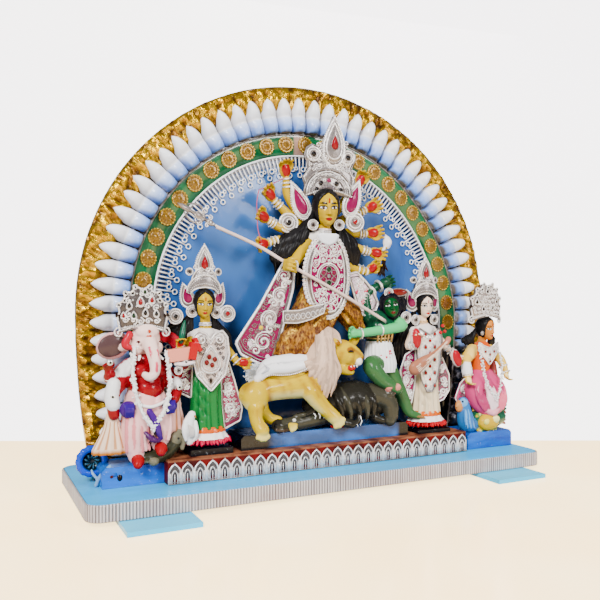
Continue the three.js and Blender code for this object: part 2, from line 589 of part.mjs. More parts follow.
add("arch_board", makeArchBoard(), "#4a8ad0", 0.5);
add("tinsel_border", makeTinsel(), "#c79a1e", 0.25, 0.9);
add("petal_ring", makePetals(), "#e8edf8", 0.5);
add("rosette_band", makeRosetteBand(), "#1f8a55", 0.4);
add("lace_fringe", makeFringe(), ...FOIL);

// Everything that the figures stand on or before, grown by the gap. They stand in the hall, the clear room
// inside the ring of petals, whose half width and top are these.
const far = base.length;
const hall = { half: petalInner - 31, top: archZ + petalInner - 10 };
const ground = [
  join(box(-far, far, -far, far, -slat.thick, boardTop + GAP)),
  join(box(-step.length / 2 - GAP, step.length / 2 + GAP, step.front - stepLace.thick - 2 * GAP, far, 0,
    stepTop + GAP)),
  ...Object.values(blocks).map((block) => join(block(2 * GAP))),
  cut(join(box(-far, far, ringBack - petal.high - GAP, far, 0, far)),
    join(box(-hall.half, hall.half, -far, ringBack - 3, 0, hall.top))),
];

// Adds a piece cut clear of the ground and of the pieces named, each remade larger by the gap
const remake = {
  durga, lion, buffalo, demon, ganesha, lakshmi, saraswati, kartikeya, peacock, mouse, owl, spear,
  durga_crown: (s) => crown("durga", [12, -8, 285], 46, 73, s),
  ganesha_crown: (s) => crown("ganesha", [-178, -14, 152], 34, 40, s),
  lakshmi_crown: (s) => crown("lakshmi", [-121, -15, 189], 28, 40, s),
  saraswati_crown: (s) => crown("saraswati", [124, -15, 184], 28, 40, s),
  kartikeya_crown: (s) => crown("kartikeya", [203, -14, 158], 36, 40, s),
  lakshmi_lotus: (s) => lotus("lakshmi", [-118, -17, 46.4], 21, 13, s),
  saraswati_lotus: (s) => lotus("saraswati", [127, -17, 44.4], 21, 11, s),
  durga_tassel: (s) => joinFor("durga", ball([-69, -16, 110], [13, 5, 11], 0, s)),
  saraswati_veena: (s) => joinFor("saraswati", limb([[149, -36, 134, 2.6], [124, -37, 121, 3.2],
    [109, -36, 113, 5], [99, -35, 107, 6]], s)),
  lakshmi_casket: (s) => joinFor("lakshmi", ball([-147, -34, 136], [7.5, 6, 5.5], 0, s)),
};

for (const name of Object.keys(DRESS)) remake[name] = (s) => dress(name, s);

function addClear(name, neighbours, ...paint) {
  add(name, cut(remake[name](0), ground, neighbours.map((other) => remake[other](GAP))), ...paint);
}

addClear("lion", [], "#f1c314", 0.5);
addClear("durga", ["lion", "spear"], "#f0b73a", 0.5);
addClear("spear", [], "#c9a386", 0.5);
addClear("demon", ["lion", "durga", "spear"], "#3f9a58", 0.4);
addClear("buffalo", ["lion", "demon"], "#2b2d28", 0.3);
addClear("durga_crown", ["durga"], ...FOIL);
addClear("durga_breastplate", ["durga", "spear"], ...FOIL);
addClear("durga_shawl_left", ["durga", "lion", "spear"], CERISE);
addClear("durga_shawl_right", ["durga", "demon", "durga_breastplate"], "#e2708f");
addClear("durga_belt", ["durga", "durga_shawl_left", "durga_breastplate"], ...FOIL);
addClear("durga_tassel", ["lion", "durga", "durga_shawl_left"], "#eef0f4", 0.8);
addClear("ganesha", [], "#f4dcd4", 0.5);
addClear("ganesha_crown", ["ganesha"], ...FOIL);
addClear("mouse", ["ganesha"], "#6f6a58");
addClear("lakshmi", ["lakshmi_lotus", "ganesha"], "#1f8a4a", 0.4);
addClear("lakshmi_crown", ["lakshmi", "ganesha"], ...FOIL);
addClear("lakshmi_breastplate", ["lakshmi"], ...FOIL);
addClear("lakshmi_shawl_right", ["lakshmi", "lion", "lakshmi_lotus"], CERISE);
addClear("lakshmi_shawl_left", ["lakshmi", "ganesha"], ...FOIL);
addClear("lakshmi_lotus", ["lion", "ganesha", "mouse"], "#e8558a");
addClear("lakshmi_casket", ["lakshmi", "ganesha", "lakshmi_breastplate"], "#eaa88a");
addClear("owl", ["lakshmi", "lakshmi_lotus", "ganesha", "mouse"], "#eeece6");
addClear("saraswati", ["saraswati_lotus", "demon"], "#f2ead8", 0.4);
addClear("saraswati_crown", ["saraswati", "demon"], ...FOIL);
addClear("saraswati_apron", ["saraswati"], ...FOIL);
addClear("saraswati_veena", ["saraswati", "saraswati_apron", "demon"], "#c9a386", 0.5);
addClear("saraswati_shawl_left", ["saraswati", "demon", "saraswati_veena", "saraswati_lotus", "buffalo"], CERISE);
addClear("saraswati_shawl_right", ["saraswati", "saraswati_apron", "saraswati_lotus", "kartikeya"], CERISE);
addClear("saraswati_lotus", ["demon", "buffalo"], "#d81e50");
addClear("peacock", [], "#1d5f96", 0.4);
addClear("kartikeya", ["peacock"], "#f0a830", 0.5);
addClear("kartikeya_crown", ["kartikeya"], ...FOIL);
addClear("kartikeya_cloth_left", ["kartikeya", "peacock", "saraswati"], "#e2708f");
addClear("kartikeya_cloth_right", ["kartikeya", "peacock"], "#e2708f");
add("blue_dish", cut(join(makeDish(0)), remake.ganesha(GAP)), "#2f79b8", 0.4);

export default group;
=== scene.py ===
"""Painted clay tableau of a ten-armed goddess on her lion, with her companions, under a decorated arch."""
import json
import math

import bpy
import numpy as np
from mathutils import Matrix, Vector
from mathutils.bvhtree import BVHTree

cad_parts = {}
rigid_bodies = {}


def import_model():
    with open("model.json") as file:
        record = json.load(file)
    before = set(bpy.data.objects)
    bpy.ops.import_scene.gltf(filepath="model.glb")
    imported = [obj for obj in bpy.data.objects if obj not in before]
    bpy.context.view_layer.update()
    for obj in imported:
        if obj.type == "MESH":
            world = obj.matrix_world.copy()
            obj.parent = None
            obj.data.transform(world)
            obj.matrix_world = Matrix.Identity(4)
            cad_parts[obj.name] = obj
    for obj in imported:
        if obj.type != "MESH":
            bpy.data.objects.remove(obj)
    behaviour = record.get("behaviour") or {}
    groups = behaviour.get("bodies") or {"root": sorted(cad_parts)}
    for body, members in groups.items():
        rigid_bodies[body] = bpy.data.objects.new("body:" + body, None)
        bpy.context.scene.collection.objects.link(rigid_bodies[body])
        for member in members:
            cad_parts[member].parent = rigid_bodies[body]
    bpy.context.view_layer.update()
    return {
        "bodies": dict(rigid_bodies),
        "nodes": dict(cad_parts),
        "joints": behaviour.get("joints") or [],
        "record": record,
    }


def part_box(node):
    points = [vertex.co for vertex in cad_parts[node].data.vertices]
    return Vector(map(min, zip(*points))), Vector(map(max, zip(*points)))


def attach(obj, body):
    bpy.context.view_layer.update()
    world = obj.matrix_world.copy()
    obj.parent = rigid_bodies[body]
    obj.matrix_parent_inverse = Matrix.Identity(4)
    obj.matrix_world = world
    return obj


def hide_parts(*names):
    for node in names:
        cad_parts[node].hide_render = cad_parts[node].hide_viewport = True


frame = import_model()

# The view of the photograph: from the front left at the height of the figures, slightly wide.
# The table is a pale plain top that ends a little behind the object, under soft window light.
VIEW_AT = Vector((-0.3276, -0.6517, 0.1806))
VIEW_TURN = math.radians(25.72)
VIEW_DOWN, VIEW_ROLL = 0.08, 0.05  # degrees
LENS, SENSOR = 43.08, 36.0
TABLE_END, WALL_AT = 0.915, 2.6  # metres ahead of the camera


def add_camera():
    camera = bpy.data.cameras.new("view")
    camera.lens, camera.sensor_width = LENS, SENSOR
    holder = bpy.data.objects.new("view", camera)
    holder.location = VIEW_AT
    holder.rotation_euler = (math.radians(90 - VIEW_DOWN), math.radians(VIEW_ROLL), -VIEW_TURN)
    bpy.context.collection.objects.link(holder)
    bpy.context.scene.camera = holder


def add_light(name, size, power, place, aim, colour=(1, 1, 1)):
    lamp = bpy.data.lights.new(name, "AREA")
    lamp.size, lamp.energy, lamp.color = size, power, colour
    holder = bpy.data.objects.new(name, lamp)
    holder.location = place
    holder.rotation_euler = (Vector(aim) - Vector(place)).to_track_quat("-Z", "Y").to_euler()
    bpy.context.collection.objects.link(holder)


add_camera()
add_light("window_light", 0.75, 128, (-1.5, -1.7, 1.5), (0, 0, 0.2), (1.0, 0.99, 0.98))
add_light("front_light", 0.6, 52, (0.9, -2.0, 0.9), (0, 0, 0.2), (1.0, 0.98, 0.96))
add_light("back_light", 1.2, 22, (0.9, 1.5, 1.4), (0, 0, 0.2))
sky = bpy.data.worlds.new("room")
bpy.context.scene.world = sky
sky.use_nodes = True
sky.node_tree.nodes["Background"].inputs["Color"].default_value = (1.0, 0.965, 0.96, 1)
sky.node_tree.nodes["Background"].inputs["Strength"].default_value = 0.4


class Wire:
    """A shader socket that takes part in ordinary Python sums."""

    FIRST, SECOND, MIXED = 6, 7, 2  # the sockets of a mix node that carry colours

    def __init__(self, tree, socket=None):
        self.tree, self.socket = tree, socket

    def node(self, kind, settings, sockets, out=0):
        made = self.tree.nodes.new(kind)
        for name, value in settings.items():
            if name == "stops":
                self.set_stops(made.color_ramp.elements, value)
            else:
                setattr(made, name, value)
        for key, value in sockets.items():
            if isinstance(value, Wire):
                self.tree.links.new(value.socket, made.inputs[key])
            else:
                made.inputs[key].default_value = value
        return Wire(self.tree, made.outputs[out])

    @staticmethod
    def set_stops(elements, stops):
        while len(elements) < len(stops):
            elements.new(0.5)
        for element, (place, colour) in zip(elements, stops):
            element.position = place
            element.color = colour if len(colour) == 4 else (*colour, 1)

    def math(self, operation, *values):
        return self.node("ShaderNodeMath", {"operation": operation}, dict(enumerate(values)))

    def __add__(self, other):
        return self.math("ADD", self, other)

    def __sub__(self, other):
        return self.math("SUBTRACT", self, other)

    def __rsub__(self, other):
        return self.math("SUBTRACT", other, self)

    def __mul__(self, other):
        return self.math("MULTIPLY", self, other)

    def __gt__(self, other):
        return self.math("GREATER_THAN", self, other)

    __radd__, __rmul__ = __add__, __mul__

    def within(self, low, high):
        """0 below low, 1 above high, smooth between."""
        return self.node("ShaderNodeMapRange", {"interpolation_type": "SMOOTHSTEP"},
                         {"Value": self, "From Min": low, "From Max": high})

    def mix(self, first, second):
        """This mask takes first over to second, both colours."""
        sockets = {0: self, self.FIRST: rgba(first), self.SECOND: rgba(second)}
        return self.node("ShaderNodeMix", {"data_type": "RGBA"}, sockets, self.MIXED)

    def warmer(self):
        """The same colour a little deeper and warmer."""
        sockets = {0: 1.0, self.FIRST: self, self.SECOND: (0.9, 0.8, 0.7, 1)}
        return self.node("ShaderNodeMix", {"data_type": "RGBA", "blend_type": "MULTIPLY"},
                         sockets, self.MIXED)

    def place(self):
        return self.node("ShaderNodeTexCoord", {}, {}, "Object")

    def xyz(self):
        return [self.node("ShaderNodeSeparateXYZ", {}, {0: self}, axis) for axis in range(3)]

    def stretched(self, x, y, z):
        return self.node("ShaderNodeVectorMath", {"operation": "MULTIPLY"}, {0: self, 1: (x, y, z)})

    def noise(self, size_mm, detail=3.0, roughness=0.55):
        sockets = {"Vector": self, "Scale": 1000 / size_mm, "Detail": detail, "Roughness": roughness}
        return self.node("ShaderNodeTexNoise", {}, sockets)

    def cells(self, size_mm, feature="F1"):
        return self.node("ShaderNodeTexVoronoi", {"feature": feature},
                         {"Vector": self, "Scale": 1000 / size_mm})

    def attribute(self, name, out="Color"):
        return self.node("ShaderNodeAttribute", {"attribute_name": name}, {}, out)

    def bump(self, depth_mm, strength=1.0):
        sockets = {"Height": self, "Distance": depth_mm / 1000, "Strength": strength}
        return self.node("ShaderNodeBump", {}, sockets, "Normal")


def rgba(colour):
    """A colour with its fourth value, or a socket as it is."""
    return colour if isinstance(colour, Wire) else (*colour[:3], 1)


DEEPER_PAINT = 1.7  # the view pales colours, so paint is deeper than it shows


def srgb(r, g, b):
    """The paint for a colour seen in the picture, 0 to 255."""
    return tuple(((v / 255 + 0.055) / 1.055) ** (2.4 * DEEPER_PAINT) for v in (r, g, b))


def finish(name, recipe, **plain):
    """A material: plain values on the shader's own sockets, and what recipe returns wired to the rest."""
    made = bpy.data.materials.new(name)
    made.use_nodes = True
    tree = made.node_tree
    shader = tree.nodes["Principled BSDF"]
    shader.inputs["Specular IOR Level"].default_value = 0.12
    for socket, value in plain.items():
        shader.inputs[socket.replace("_", " ")].default_value = value
    for socket, value in recipe(Wire(tree)).items():
        tree.links.new(value.socket, shader.inputs[socket])
    return made


def table_top(w):
    grain = w.place().noise(160, 2)
    tone = grain.within(0.3, 0.7).mix((1.0, 0.70, 0.36), (1.0, 0.80, 0.48))
    glow = grain.mix((1.0, 0.68, 0.30), (1.0, 0.76, 0.38))
    return {"Base Color": tone, "Emission Color": glow, "Roughness": w.place().noise(40, 2) * 0.08 + 0.1}


def wall_paint(w):
    tone = w.place().noise(900, 1).within(0.3, 0.7).mix((1.0, 0.95, 0.97), (1.0, 0.97, 0.95))
    return {"Base Color": tone, "Emission Color": tone}


def flat_sheet(name, corners, material):
    mesh = bpy.data.meshes.new(name)
    mesh.from_pydata(corners, [], [(0, 1, 2, 3)])
    mesh.materials.append(material)
    holder = bpy.data.objects.new(name, mesh)
    bpy.context.collection.objects.link(holder)
    holder.visible_diffuse = False
    return holder


def add_table():
    ahead = Vector((math.sin(VIEW_TURN), math.cos(VIEW_TURN), 0))
    side = Vector((ahead.y, -ahead.x, 0))
    base = Vector((VIEW_AT.x, VIEW_AT.y, 0))
    corners = [base + ahead * d + side * s
               for d, s in ((-2.5, -3), (-2.5, 3), (TABLE_END, 3), (TABLE_END, -3))]
    lit_top = finish("table_top", table_top, Specular_IOR_Level=0.5, Emission_Strength=3.6)
    table = flat_sheet("table", corners, lit_top)
    far = base + ahead * WALL_AT
    corners = [far + side * s + Vector((0, 0, z)) for s, z in ((-5, -2.5), (5, -2.5), (5, 4), (-5, 4))]
    backdrop = flat_sheet("wall", corners, finish("wall_paint", wall_paint, Emission_Strength=4.2))
    backdrop.visible_glossy = False


add_table()


# The board is painted sky blue by brush, and stands on two paler slats nailed across under it.
# A band of ribbed silver paper is glued round its edge.
MM = 0.001
STRIP = [np.array(corner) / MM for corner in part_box("base_edge_strip")]
EDGE_CORNER = 14.0
RIB_PITCH = 2.7
SKY, PALE_SKY = (0.035, 0.50, 0.95), (0.10, 0.66, 1.0)


class Craft:
    """Gathers the parts of one piece in millimetres, each with its paint, and makes them one mesh."""

    def __init__(self):
        self.points, self.faces, self.paints, self.count = [], [], [], 0

    def add(self, points, faces, paint=(1, 1, 1)):
        """paint is a colour, one for all or one for each point, with a fourth value for how metallic."""
        points = np.asarray(points, float).reshape(-1, 3)
        paint = np.asarray(paint, float)
        if paint.shape[-1] == 3:
            paint = np.concatenate([paint, np.zeros((*paint.shape[:-1], 1))], -1)
        self.points.append(points)
        self.faces.extend([tuple(i + self.count for i in face) for face in faces])
        self.paints.append(np.broadcast_to(paint, (len(points), 4)))
        self.count += len(points)

    def sheet(self, grid, paint=(1, 1, 1), round_u=False, round_v=False, ends=False):
        """A surface through a grid of points; ends closes the first and last rows of a round one."""
        rows, cols = grid.shape[:2]
        faces = []
        for i in range(rows - (0 if round_u else 1)):
            for j in range(cols - (0 if round_v else 1)):
                a, b = i * cols + j, i * cols + (j + 1) % cols
                c, d = ((i + 1) % rows) * cols + (j + 1) % cols, ((i + 1) % rows) * cols + j
                faces.append((a, b, c, d))
        if ends:
            faces.append(tuple(reversed(range(cols))))
            faces.append(tuple(range((rows - 1) * cols, rows * cols)))
        paint = np.asarray(paint, float)
        self.add(grid.reshape(-1, 3), faces, paint.reshape(-1, paint.shape[-1]) if paint.ndim == 3 else paint)

    def tube(self, path, radius, paint=(1, 1, 1), sides=6, closed=False, flat=1.0):
        """A round or flattened strand along a path, radius one value or one for each point."""
        self.sheet(strand(path, radius, sides, closed, flat), paint, closed, True, not closed)

    def skin(self, grid, paint):
        """A closed round surface, such as a head or a fold of cloth, from its rings."""
        self.sheet(grid, paint, False, True, True)

    def ball(self, centre, radii, paint=(1, 1, 1), fine=8, turn=None):
        self.skin(ball_grid(centre, radii, fine, turn), paint)

    def piece(self, name, materials, replaces=(), smooth=True):
        mesh = bpy.data.meshes.new(name)
        mesh.from_pydata(np.concatenate(self.points) * MM, [], self.faces)
        mesh.update()
        tint = mesh.attributes.new("paint", "FLOAT_COLOR", "POINT")
        tint.data.foreach_set("color", np.concatenate(self.paints).astype(np.float32).ravel())
        mesh.polygons.foreach_set("use_smooth", [smooth] * len(mesh.polygons))
        for material in materials:
            mesh.materials.append(material)
        return fit(name, mesh, replaces)


def fit(name, mesh, replaces=(), body="root"):
    """The mesh as an object in the shared frame, in place of the nodes it replaces."""
    holder = bpy.data.objects.new(name, mesh)
    bpy.context.collection.objects.link(holder)
    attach(holder, body)
    if replaces:
        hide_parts(*replaces)
    return holder


def strand(path, radius, sides=6, closed=False, flat=1.0):
    """A grid of points round a path; flat narrows it from front to back."""
    path = np.asarray(path, float)
    if closed:
        along = np.roll(path, -1, 0) - np.roll(path, 1, 0)
    else:
        along = np.gradient(path, axis=0)
    along /= np.linalg.norm(along, axis=1, keepdims=True) + 1e-9
    out = np.cross(along, (0.0, -1.0, 0.0))
    weak = np.linalg.norm(out, axis=1) < 0.15
    out[weak] = np.cross(along[weak], (1.0, 0, 0.2))
    out /= np.linalg.norm(out, axis=1, keepdims=True) + 1e-9
    up = np.cross(out, along)
    turn = 2 * np.pi * np.arange(sides) / sides
    radius = np.broadcast_to(np.asarray(radius, float).reshape(-1, 1, 1), (len(path), 1, 1))
    ring = np.cos(turn)[None, :, None] * out[:, None] + flat * np.sin(turn)[None, :, None] * up[:, None]
    return path[:, None] + radius * ring


def ball_grid(centre, radii, fine=8, turn=None):
    """A grid of points round a ball or egg."""
    down = np.linspace(0.12, np.pi - 0.12, fine)[:, None]
    around = (2 * np.pi * np.arange(fine * 2) / (fine * 2))[None]
    shape = np.stack([np.sin(down) * np.cos(around), np.sin(down) * -np.sin(around),
                      np.cos(down) * np.ones_like(around)], -1) * np.broadcast_to(radii, 3)
    if turn is not None:
        shape = shape @ np.array(turn).T
    return shape + np.asarray(centre, float)


def brushed_paint(light, dark, size_mm=26, gloss=0.32):
    """Gloss paint put on by brush: streaks along the board, thin places and dust."""
    def recipe(w):
        place = w.place()
        streaks = place.stretched(0.25, 1, 1).noise(size_mm, 4)
        dust = place.noise(3.2, 4, 0.7)
        tone = streaks.within(0.35, 0.68).mix(light, dark)
        return {"Base Color": (dust.within(0.6, 0.8) * 0.35).mix(tone, (0.75, 0.82, 0.88)),
                "Roughness": streaks * 0.25 + gloss * 0.55,
                "Normal": (streaks * 0.7 + place.stretched(0.2, 1, 1).noise(1.6, 2) * 0.3).bump(0.35, 0.5)}
    return recipe


def set_finish(node, material):
    """A material for a node that keeps its own shape."""
    holder = frame["nodes"][node]
    holder.data.materials.clear()
    holder.data.materials.append(material)


def deeper(colour, share):
    """A colour times a share."""
    return tuple(v * share for v in colour)


set_finish("base_board", finish("sky_paint", brushed_paint(SKY, deeper(SKY, 0.8)), Coat_Weight=0.15))
slat_paint = finish("slat_paint", brushed_paint(PALE_SKY, deeper(PALE_SKY, 0.85), 40))
for foot in ("foot_slat_left", "foot_slat_right"):
    set_finish(foot, slat_paint)


def rounded_edge(grow, pitch):
    """Points round the board's plan, one every pitch, with the outward direction of each."""
    x, y = STRIP[1][0] + grow, STRIP[1][1] + grow
    r = EDGE_CORNER + grow
    plan = []
    for cx, cy, quarter in ((x - r, -y + r, -1), (x - r, y - r, 0), (-x + r, y - r, 1), (-x + r, -y + r, 2)):
        for a in np.linspace(quarter, quarter + 1, 9) * np.pi / 2:
            plan.append((cx + r * np.cos(a), cy + r * np.sin(a), np.cos(a), np.sin(a)))
    plan = np.array(plan + plan[:1])
    reach = np.concatenate([[0], np.cumsum(np.linalg.norm(np.diff(plan[:, :2], axis=0), axis=1))])
    steps = np.linspace(0, reach[-1], int(reach[-1] / pitch), endpoint=False)
    return np.stack([np.interp(steps, reach, plan[:, k]) for k in range(4)], 1)


def make_edge_strip():
    strip = Craft()
    plan = rounded_edge(0, RIB_PITCH / 4)
    ribs = 0.45 * np.cos(2 * np.pi * np.arange(len(plan)) / 4) - 0.45
    low, high = STRIP[0][2], STRIP[1][2]
    rows = []
    rng = np.random.default_rng(3)
    wear = rng.normal(0, 0.12, len(plan))
    # Painted shade in the grooves between the ribs, deeper on some ribs than others; the crests keep the
    # paper's own light colour.
    groove_shade_depth = np.repeat(rng.uniform(0.5, 1.0, len(plan) // 4 + 1), 4)[:len(plan), None]
    crest = (0.5 + 0.5 * np.cos(2 * np.pi * np.arange(len(plan)) / 4))[:, None]
    groove_shade = groove_shade_depth * np.array((0.03, 0.02, 0.025)) + (1 - groove_shade_depth) * 0.3
    tint = crest * np.array((0.70, 0.66, 0.66)) + (1 - crest) * groove_shade
    for z, pull in ((low, -1.3), (low + 0.3, -0.2), (low + 1.2, 0), (high - 1.2, 0),
                    (high - 0.3, -0.2), (high, -1.3)):
        out = (ribs + wear) * (0.4 if pull else 1) + pull
        rows.append(np.column_stack([plan[:, 0] + plan[:, 2] * out, plan[:, 1] + plan[:, 3] * out,
                                     np.full(len(plan), z)]))
    strip.sheet(np.array(rows), np.array([tint] * len(rows)), round_v=True)
    strip.piece("ribbed_edge_band", [finish("ribbed_silver_paper", ribbed_paper)], ["base_edge_strip"])


def ribbed_paper(w):
    place = w.place()
    worn = place.noise(30, 3).within(0.35, 0.7)
    return {"Base Color": (worn * 0.25).mix(w.attribute("paint"), srgb(178, 150, 150)),
            "Metallic": worn * 0.15 + 0.1, "Roughness": worn * 0.25 + 0.35,
            "Normal": place.noise(1.2, 2).bump(0.2, 0.5)}


make_edge_strip()


# The step in the middle is a wooden block, bare tan on top and dark red in front, where a strip of
# stamped silver paper stands as a row of lancet arches.
STEP = [np.array(corner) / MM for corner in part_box("centre_step")]
LANCETS = 28
LANCET_HIGH = 18.5
SILVER = (0.21, 0.185, 0.18, 0.5)
WHITE_SILVER = (0.84, 0.80, 0.785, 0.35)
SHADOW = (0.05, 0.045, 0.05, 0.0)


def step_wood(w):
    place = w.place()
    height = place.xyz()[2] * 1000
    worn = place.noise(14, 4)
    top = worn.within(0.35, 0.7).mix(srgb(186, 140, 112), srgb(120, 70, 54))
    front = worn.within(0.3, 0.7).mix(srgb(150, 34, 40), srgb(92, 24, 30))
    is_top = (height + worn * 1.6).within(STEP[1][2] - 1.2, STEP[1][2] - 0.2)
    return {"Base Color": is_top.mix(front, top), "Roughness": worn * 0.3 + 0.35,
            "Normal": place.stretched(0.1, 1, 1).noise(2.4, 3).bump(0.3, 0.4)}


def ornament(w):
    """Stamped paper and foil: the painted colour, metallic where the foil shows, pimpled by the stamp."""
    place = w.place()
    tint = w.attribute("paint")
    metal = w.attribute("paint", "Alpha")
    pimples = place.cells(0.75, "SMOOTH_F1")
    grime = (place.noise(5, 3).within(0.4, 0.75) + place.cells(1.5).within(0.42, 0.66)) * metal
    return {"Base Color": (grime * 0.6).mix(tint, (0.13, 0.11, 0.105)), "Metallic": metal * 0.8,
            "Roughness": metal * 0.14 + place.noise(3, 2) * 0.12 + 0.14,
            "Normal": (pimples * metal).bump(0.22, 0.45)}


foil = finish("stamped_foil", ornament, Coat_Weight=0.1)
set_finish("centre_step", finish("step_paint", step_wood))


def lancet(strip, x, z, wide, high, y):
    """One pointed arch over a dark sheet painted as its shadow: two nested mouldings, bars between them and a
    top bead.
    """
    half = wide / 2

    def gothic(shrink, lift=0.0):
        h, top = half * shrink, high * shrink ** 0.5
        t = np.linspace(0, 1, 7)
        side = np.column_stack([h * (1 - t ** 2.2), top * (0.55 + 0.45 * t)])
        left = np.vstack([[[h, 0]], side])
        outline = np.vstack([left, (left * (-1, 1))[::-1][1:]])
        return np.column_stack([outline[:, 0] + x, np.full(len(outline), y - lift), outline[:, 1] + z])

    back = gothic(0.96, -0.5)
    centre = np.array([x, y + 0.5, z + high * 0.3])
    strip.add(np.vstack([back, centre]), [(i, i + 1, len(back)) for i in range(len(back) - 1)], SHADOW)
    strip.tube(gothic(0.9), 0.78, WHITE_SILVER, 5)
    strip.tube(gothic(0.45, 0.1), 0.5, WHITE_SILVER, 5)
    for bar in (-0.72, 0.0, 0.72):
        low, top = z, z + high * (0.52 if bar else 0.46)
        strip.tube([(x + bar * half * 0.92, y - 0.05, low), (x + bar * half * 0.92, y - 0.05, top)], 0.42,
                   WHITE_SILVER, 4)
    for lift in (0.58, 0.68, 0.79):
        strip.ball((x, y - 0.3, z + high * lift), 0.85 - lift * 0.5, SILVER, 4)
    strip.ball((x, y - 0.2, z + high), 0.7, SILVER, 4)


def make_step_lace():
    strip = Craft()
    pitch = (STEP[1][0] - STEP[0][0]) / LANCETS
    y = STEP[0][1] - 1.0
    for i in range(LANCETS):
        lancet(strip, STEP[0][0] + (i + 0.5) * pitch, STEP[0][2] + 0.3, pitch, LANCET_HIGH, y)
    for z, thick in ((STEP[0][2] + 0.5, 0.6), (STEP[0][2] + 2.0, 0.35)):
        strip.tube([(STEP[0][0], y - 0.2, z), (0, y - 0.2, z), (STEP[1][0], y - 0.2, z)], thick, SILVER, 5)
    strip.piece("silver_lancet_strip", [foil], ["step_lace"])


make_step_lace()


# The blocks under the figures are wood and clay, brushed over in the same blue as the arch, with
# navy corners.
BLOCK_BLUE, NAVY = (0.02, 0.125, 0.42), srgb(20, 24, 44)


def block_paint(w):
    place = w.place()
    patch = place.stretched(0.6, 1, 1).noise(34, 2, 0.4)
    side = place.xyz()[0] * 1000
    ends = 1 - side.within(-64, -56) + side.within(78, 86)
    blue = patch.within(0.4, 0.52).mix(deeper(BLOCK_BLUE, 0.45), BLOCK_BLUE)
    return {"Base Color": ends.mix(blue, NAVY), "Roughness": place.noise(9, 2) * 0.25 + 0.16,
            "Normal": place.stretched(0.3, 1, 1).noise(5, 3).bump(0.5, 0.4)}


set_finish("lion_block", finish("mound_paint", block_paint, Coat_Weight=0.3))
end_paint = finish("end_block_paint", brushed_paint(srgb(70, 150, 218), srgb(36, 96, 176), 20, 0.25))
for block in ("ganesha_block", "kartikeya_block"):
    set_finish(block, end_paint)
navy_paint = finish("navy_paint", brushed_paint(NAVY, srgb(30, 34, 56), 20, 0.3))
for block in ("lakshmi_block", "saraswati_block"):
    set_finish(block, navy_paint)


# The arch is a plywood board, half a circle on two legs that draw in, painted glossy blue in broad
# strokes. The four rings on it are glued on one inside the other.
ARCH_Z = 169.0
LEG_HIGH, LEG_DRAW = 150.0, 14.0
TINSEL_IN = 204.0
RIGHT_SLIP, SLIP_FROM, SLIP_OVER, SLIP_FADE = 11.0, 150, 170, 38
WAY_RADIUS = 200.0
QUARTER = WAY_RADIUS * np.pi / 2
WAY_END = QUARTER + LEG_HIGH - 0.6
BOARD_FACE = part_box("arch_board")[0][1] / MM - 0.3


def arch_at(way, radius):
    """x and z on the arch: way in mm from the top along a circle of 200, then down the legs.

    On the right the inner rings were glued on a little further out than on the left.
    """
    way = np.asarray(way, float)
    turn = np.clip(way / WAY_RADIUS, -np.pi / 2, np.pi / 2)
    drop = np.maximum(np.abs(way) - QUARTER, 0)
    pull = LEG_DRAW * (drop / LEG_HIGH) ** 2
    slip = RIGHT_SLIP * np.clip((way - SLIP_FROM) / SLIP_OVER, 0, 1) ** 2
    radius = radius + slip * np.clip((TINSEL_IN + 16 - radius) / SLIP_FADE, 0, 1)
    return radius * np.sin(turn) - np.sign(way) * pull, ARCH_Z + radius * np.cos(turn) - drop


def arch_point(way, radius, y):
    """x, y and z on the arch."""
    x, z = arch_at(way, radius)
    return np.stack(np.broadcast_arrays(x, y, z), -1).astype(float)


def arch_field(w):
    place = w.place()
    broad = place.stretched(1, 1, 0.5).noise(90, 3, 0.5)
    strokes = place.stretched(1.6, 1, 0.45).noise(26, 3)
    tone = broad.within(0.3, 0.72).mix((0.014, 0.062, 0.24), (0.06, 0.19, 0.47))
    chips = place.noise(2.2, 2, 0.8).within(0.74, 0.8)
    tone = (strokes.within(0.35, 0.7) * 0.5).mix(tone, (0.03, 0.12, 0.37))
    return {"Base Color": (chips * 0.4).mix(tone, (0.7, 0.8, 0.9)), "Roughness": strokes * 0.22 + 0.1,
            "Normal": (broad * 0.6 + strokes * 0.4).bump(1.6, 0.5)}


set_finish("arch_board", finish("arch_blue", arch_field, Coat_Weight=0.3, Coat_Roughness=0.14))


# Gold tinsel is gathered in fine radial crinkles round the rim and folded over the board's edge.
# It stays bright on the ridges and goes brown with painted shade in the folds.
GOLD, FOLD_SHADE_GOLD = (0.44, 0.265, 0.004, 0.8), (0.04, 0.015, 0.003, 0.5)


def crumple(rng, rows, cols, coarse):
    """Random heights -1 to 1 on a grid, in straight lines between every coarse-th point."""
    wild = rng.uniform(-1, 1, (rows // coarse[0] + 2, cols // coarse[1] + 2))
    up, along = np.arange(rows) / coarse[0], np.arange(cols) / coarse[1]
    mid = np.array([np.interp(along, np.arange(wild.shape[1]), line) for line in wild])
    return np.array([np.interp(up, np.arange(wild.shape[0]), mid[:, j]) for j in range(cols)]).T


